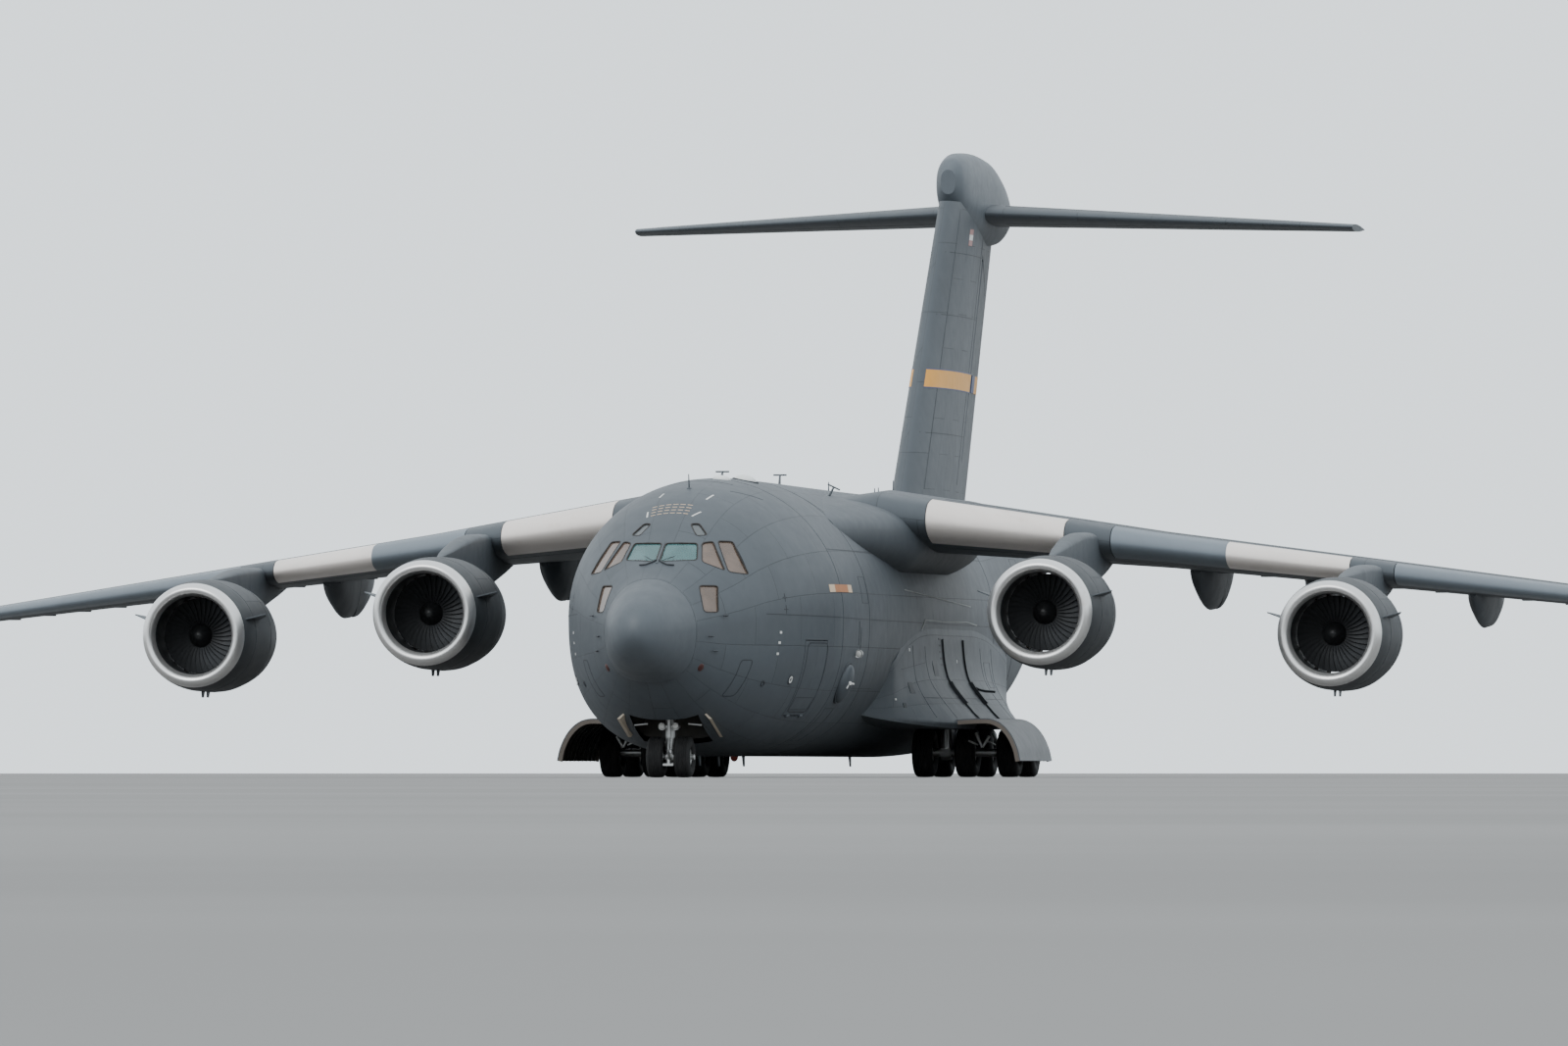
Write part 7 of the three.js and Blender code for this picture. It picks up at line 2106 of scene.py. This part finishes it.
class AIRCRAFT_OT_stage(Step, bpy.types.Operator):
    """Set up the camera, floor and light"""

    bl_idname = "aircraft.stage"
    bl_label = "Stage"
    builds = (build_stage,)


class AIRCRAFT_OT_hull(Step, bpy.types.Operator):
    """Make the fuselage skins"""

    bl_idname = "aircraft.hull"
    bl_label = "Fuselage"
    builds = (build_hull, build_tail_hull)


class AIRCRAFT_OT_doors(Step, bpy.types.Operator):
    """Make the crew door, the cargo ramp and the cargo door"""

    bl_idname = "aircraft.doors"
    bl_label = "Doors and ramp"
    builds = (build_crew_door, build_cargo_doors)


class AIRCRAFT_OT_glass(Step, bpy.types.Operator):
    """Make the cockpit's panes and their seals"""

    bl_idname = "aircraft.glass"
    bl_label = "Cockpit glass"
    builds = (build_glass,)


class AIRCRAFT_OT_wings(Step, bpy.types.Operator):
    """Make the wing boxes, winglets and fixed fairings"""

    bl_idname = "aircraft.wings"
    bl_label = "Wings"
    builds = (build_wings, build_wing_fairing)


class AIRCRAFT_OT_slats(Step, bpy.types.Operator):
    """Make the slats and flaps"""

    bl_idname = "aircraft.slats"
    bl_label = "Slats and flaps"
    builds = (build_slats, build_flaps)


class AIRCRAFT_OT_engines(Step, bpy.types.Operator):
    """Make the nacelles, pylons and fans"""

    bl_idname = "aircraft.engines"
    bl_label = "Engines"
    builds = (build_engines, build_pylons, build_fans)


class AIRCRAFT_OT_pods(Step, bpy.types.Operator):
    """Make the gear pods"""

    bl_idname = "aircraft.pods"
    bl_label = "Gear pods"
    builds = (build_pods,)


class AIRCRAFT_OT_wheels(Step, bpy.types.Operator):
    """Make the tyres and rims"""

    bl_idname = "aircraft.wheels"
    bl_label = "Wheels"
    builds = (build_wheels,)


class AIRCRAFT_OT_tail(Step, bpy.types.Operator):
    """Make the fin, tailplane and tail fairing"""

    bl_idname = "aircraft.tail"
    bl_label = "Tail"
    builds = (build_tail,)


class AIRCRAFT_OT_seams(Step, bpy.types.Operator):
    """Make the seams, plain marks, slots and sealant"""

    bl_idname = "aircraft.seams"
    bl_label = "Seams and marks"
    builds = (build_seams, build_marks, build_pod_details, build_fin_band, build_wing_details,
              build_cowl_seams)


class AIRCRAFT_OT_fittings(Step, bpy.types.Operator):
    """Make the aerials, lamps, probes, wipers and window trim"""

    bl_idname = "aircraft.fittings"
    bl_label = "Aerials and lamps"
    builds = (build_aerials, build_ports, build_window_trim)


class AIRCRAFT_OT_gear(Step, bpy.types.Operator):
    """Make the rods, lamps, hoses and doors of the landing gear"""

    bl_idname = "aircraft.gear"
    bl_label = "Landing gear fittings"
    builds = (build_nose_fittings, build_main_fittings, build_gear_doors)


class AIRCRAFT_OT_nodes(Step, bpy.types.Operator):
    """Finish the CAD nodes that still show"""

    bl_idname = "aircraft.nodes"
    bl_label = "CAD finishes"
    builds = (finish_nodes,)


STEPS = (AIRCRAFT_OT_stage, AIRCRAFT_OT_hull, AIRCRAFT_OT_doors, AIRCRAFT_OT_glass, AIRCRAFT_OT_wings,
         AIRCRAFT_OT_slats, AIRCRAFT_OT_engines, AIRCRAFT_OT_pods, AIRCRAFT_OT_wheels, AIRCRAFT_OT_tail,
         AIRCRAFT_OT_seams, AIRCRAFT_OT_fittings, AIRCRAFT_OT_gear, AIRCRAFT_OT_nodes)


class AIRCRAFT_PT_panel(bpy.types.Panel):
    """Settings and steps of the aircraft"""

    bl_label = "Transport aircraft"
    bl_space_type = "VIEW_3D"
    bl_region_type = "UI"
    bl_category = "Aircraft"

    def draw(self, context):
        for group in (context.scene.aircraft_colours, context.scene.aircraft_sizes):
            for key in group.bl_rna.properties.keys():
                if key not in ("rna_type", "name"):
                    self.layout.prop(group, key)
        for step in STEPS:
            self.layout.operator(step.bl_idname)


CLASSES = (AircraftColours, AircraftSizes, *STEPS, AIRCRAFT_PT_panel)


def register():
    """Registers the classes and hangs the settings on the scene."""
    for item in CLASSES:
        bpy.utils.register_class(item)
    bpy.types.Scene.aircraft_colours = PointerProperty(type=AircraftColours)
    bpy.types.Scene.aircraft_sizes = PointerProperty(type=AircraftSizes)


def unregister():
    """Takes the settings and classes away again."""
    del bpy.types.Scene.aircraft_sizes
    del bpy.types.Scene.aircraft_colours
    for item in reversed(CLASSES):
        bpy.utils.unregister_class(item)


def main():
    register()
    for step in STEPS:
        group, name = step.bl_idname.split(".")
        getattr(getattr(bpy.ops, group), name)()


if __name__ == "__main__":
    main()
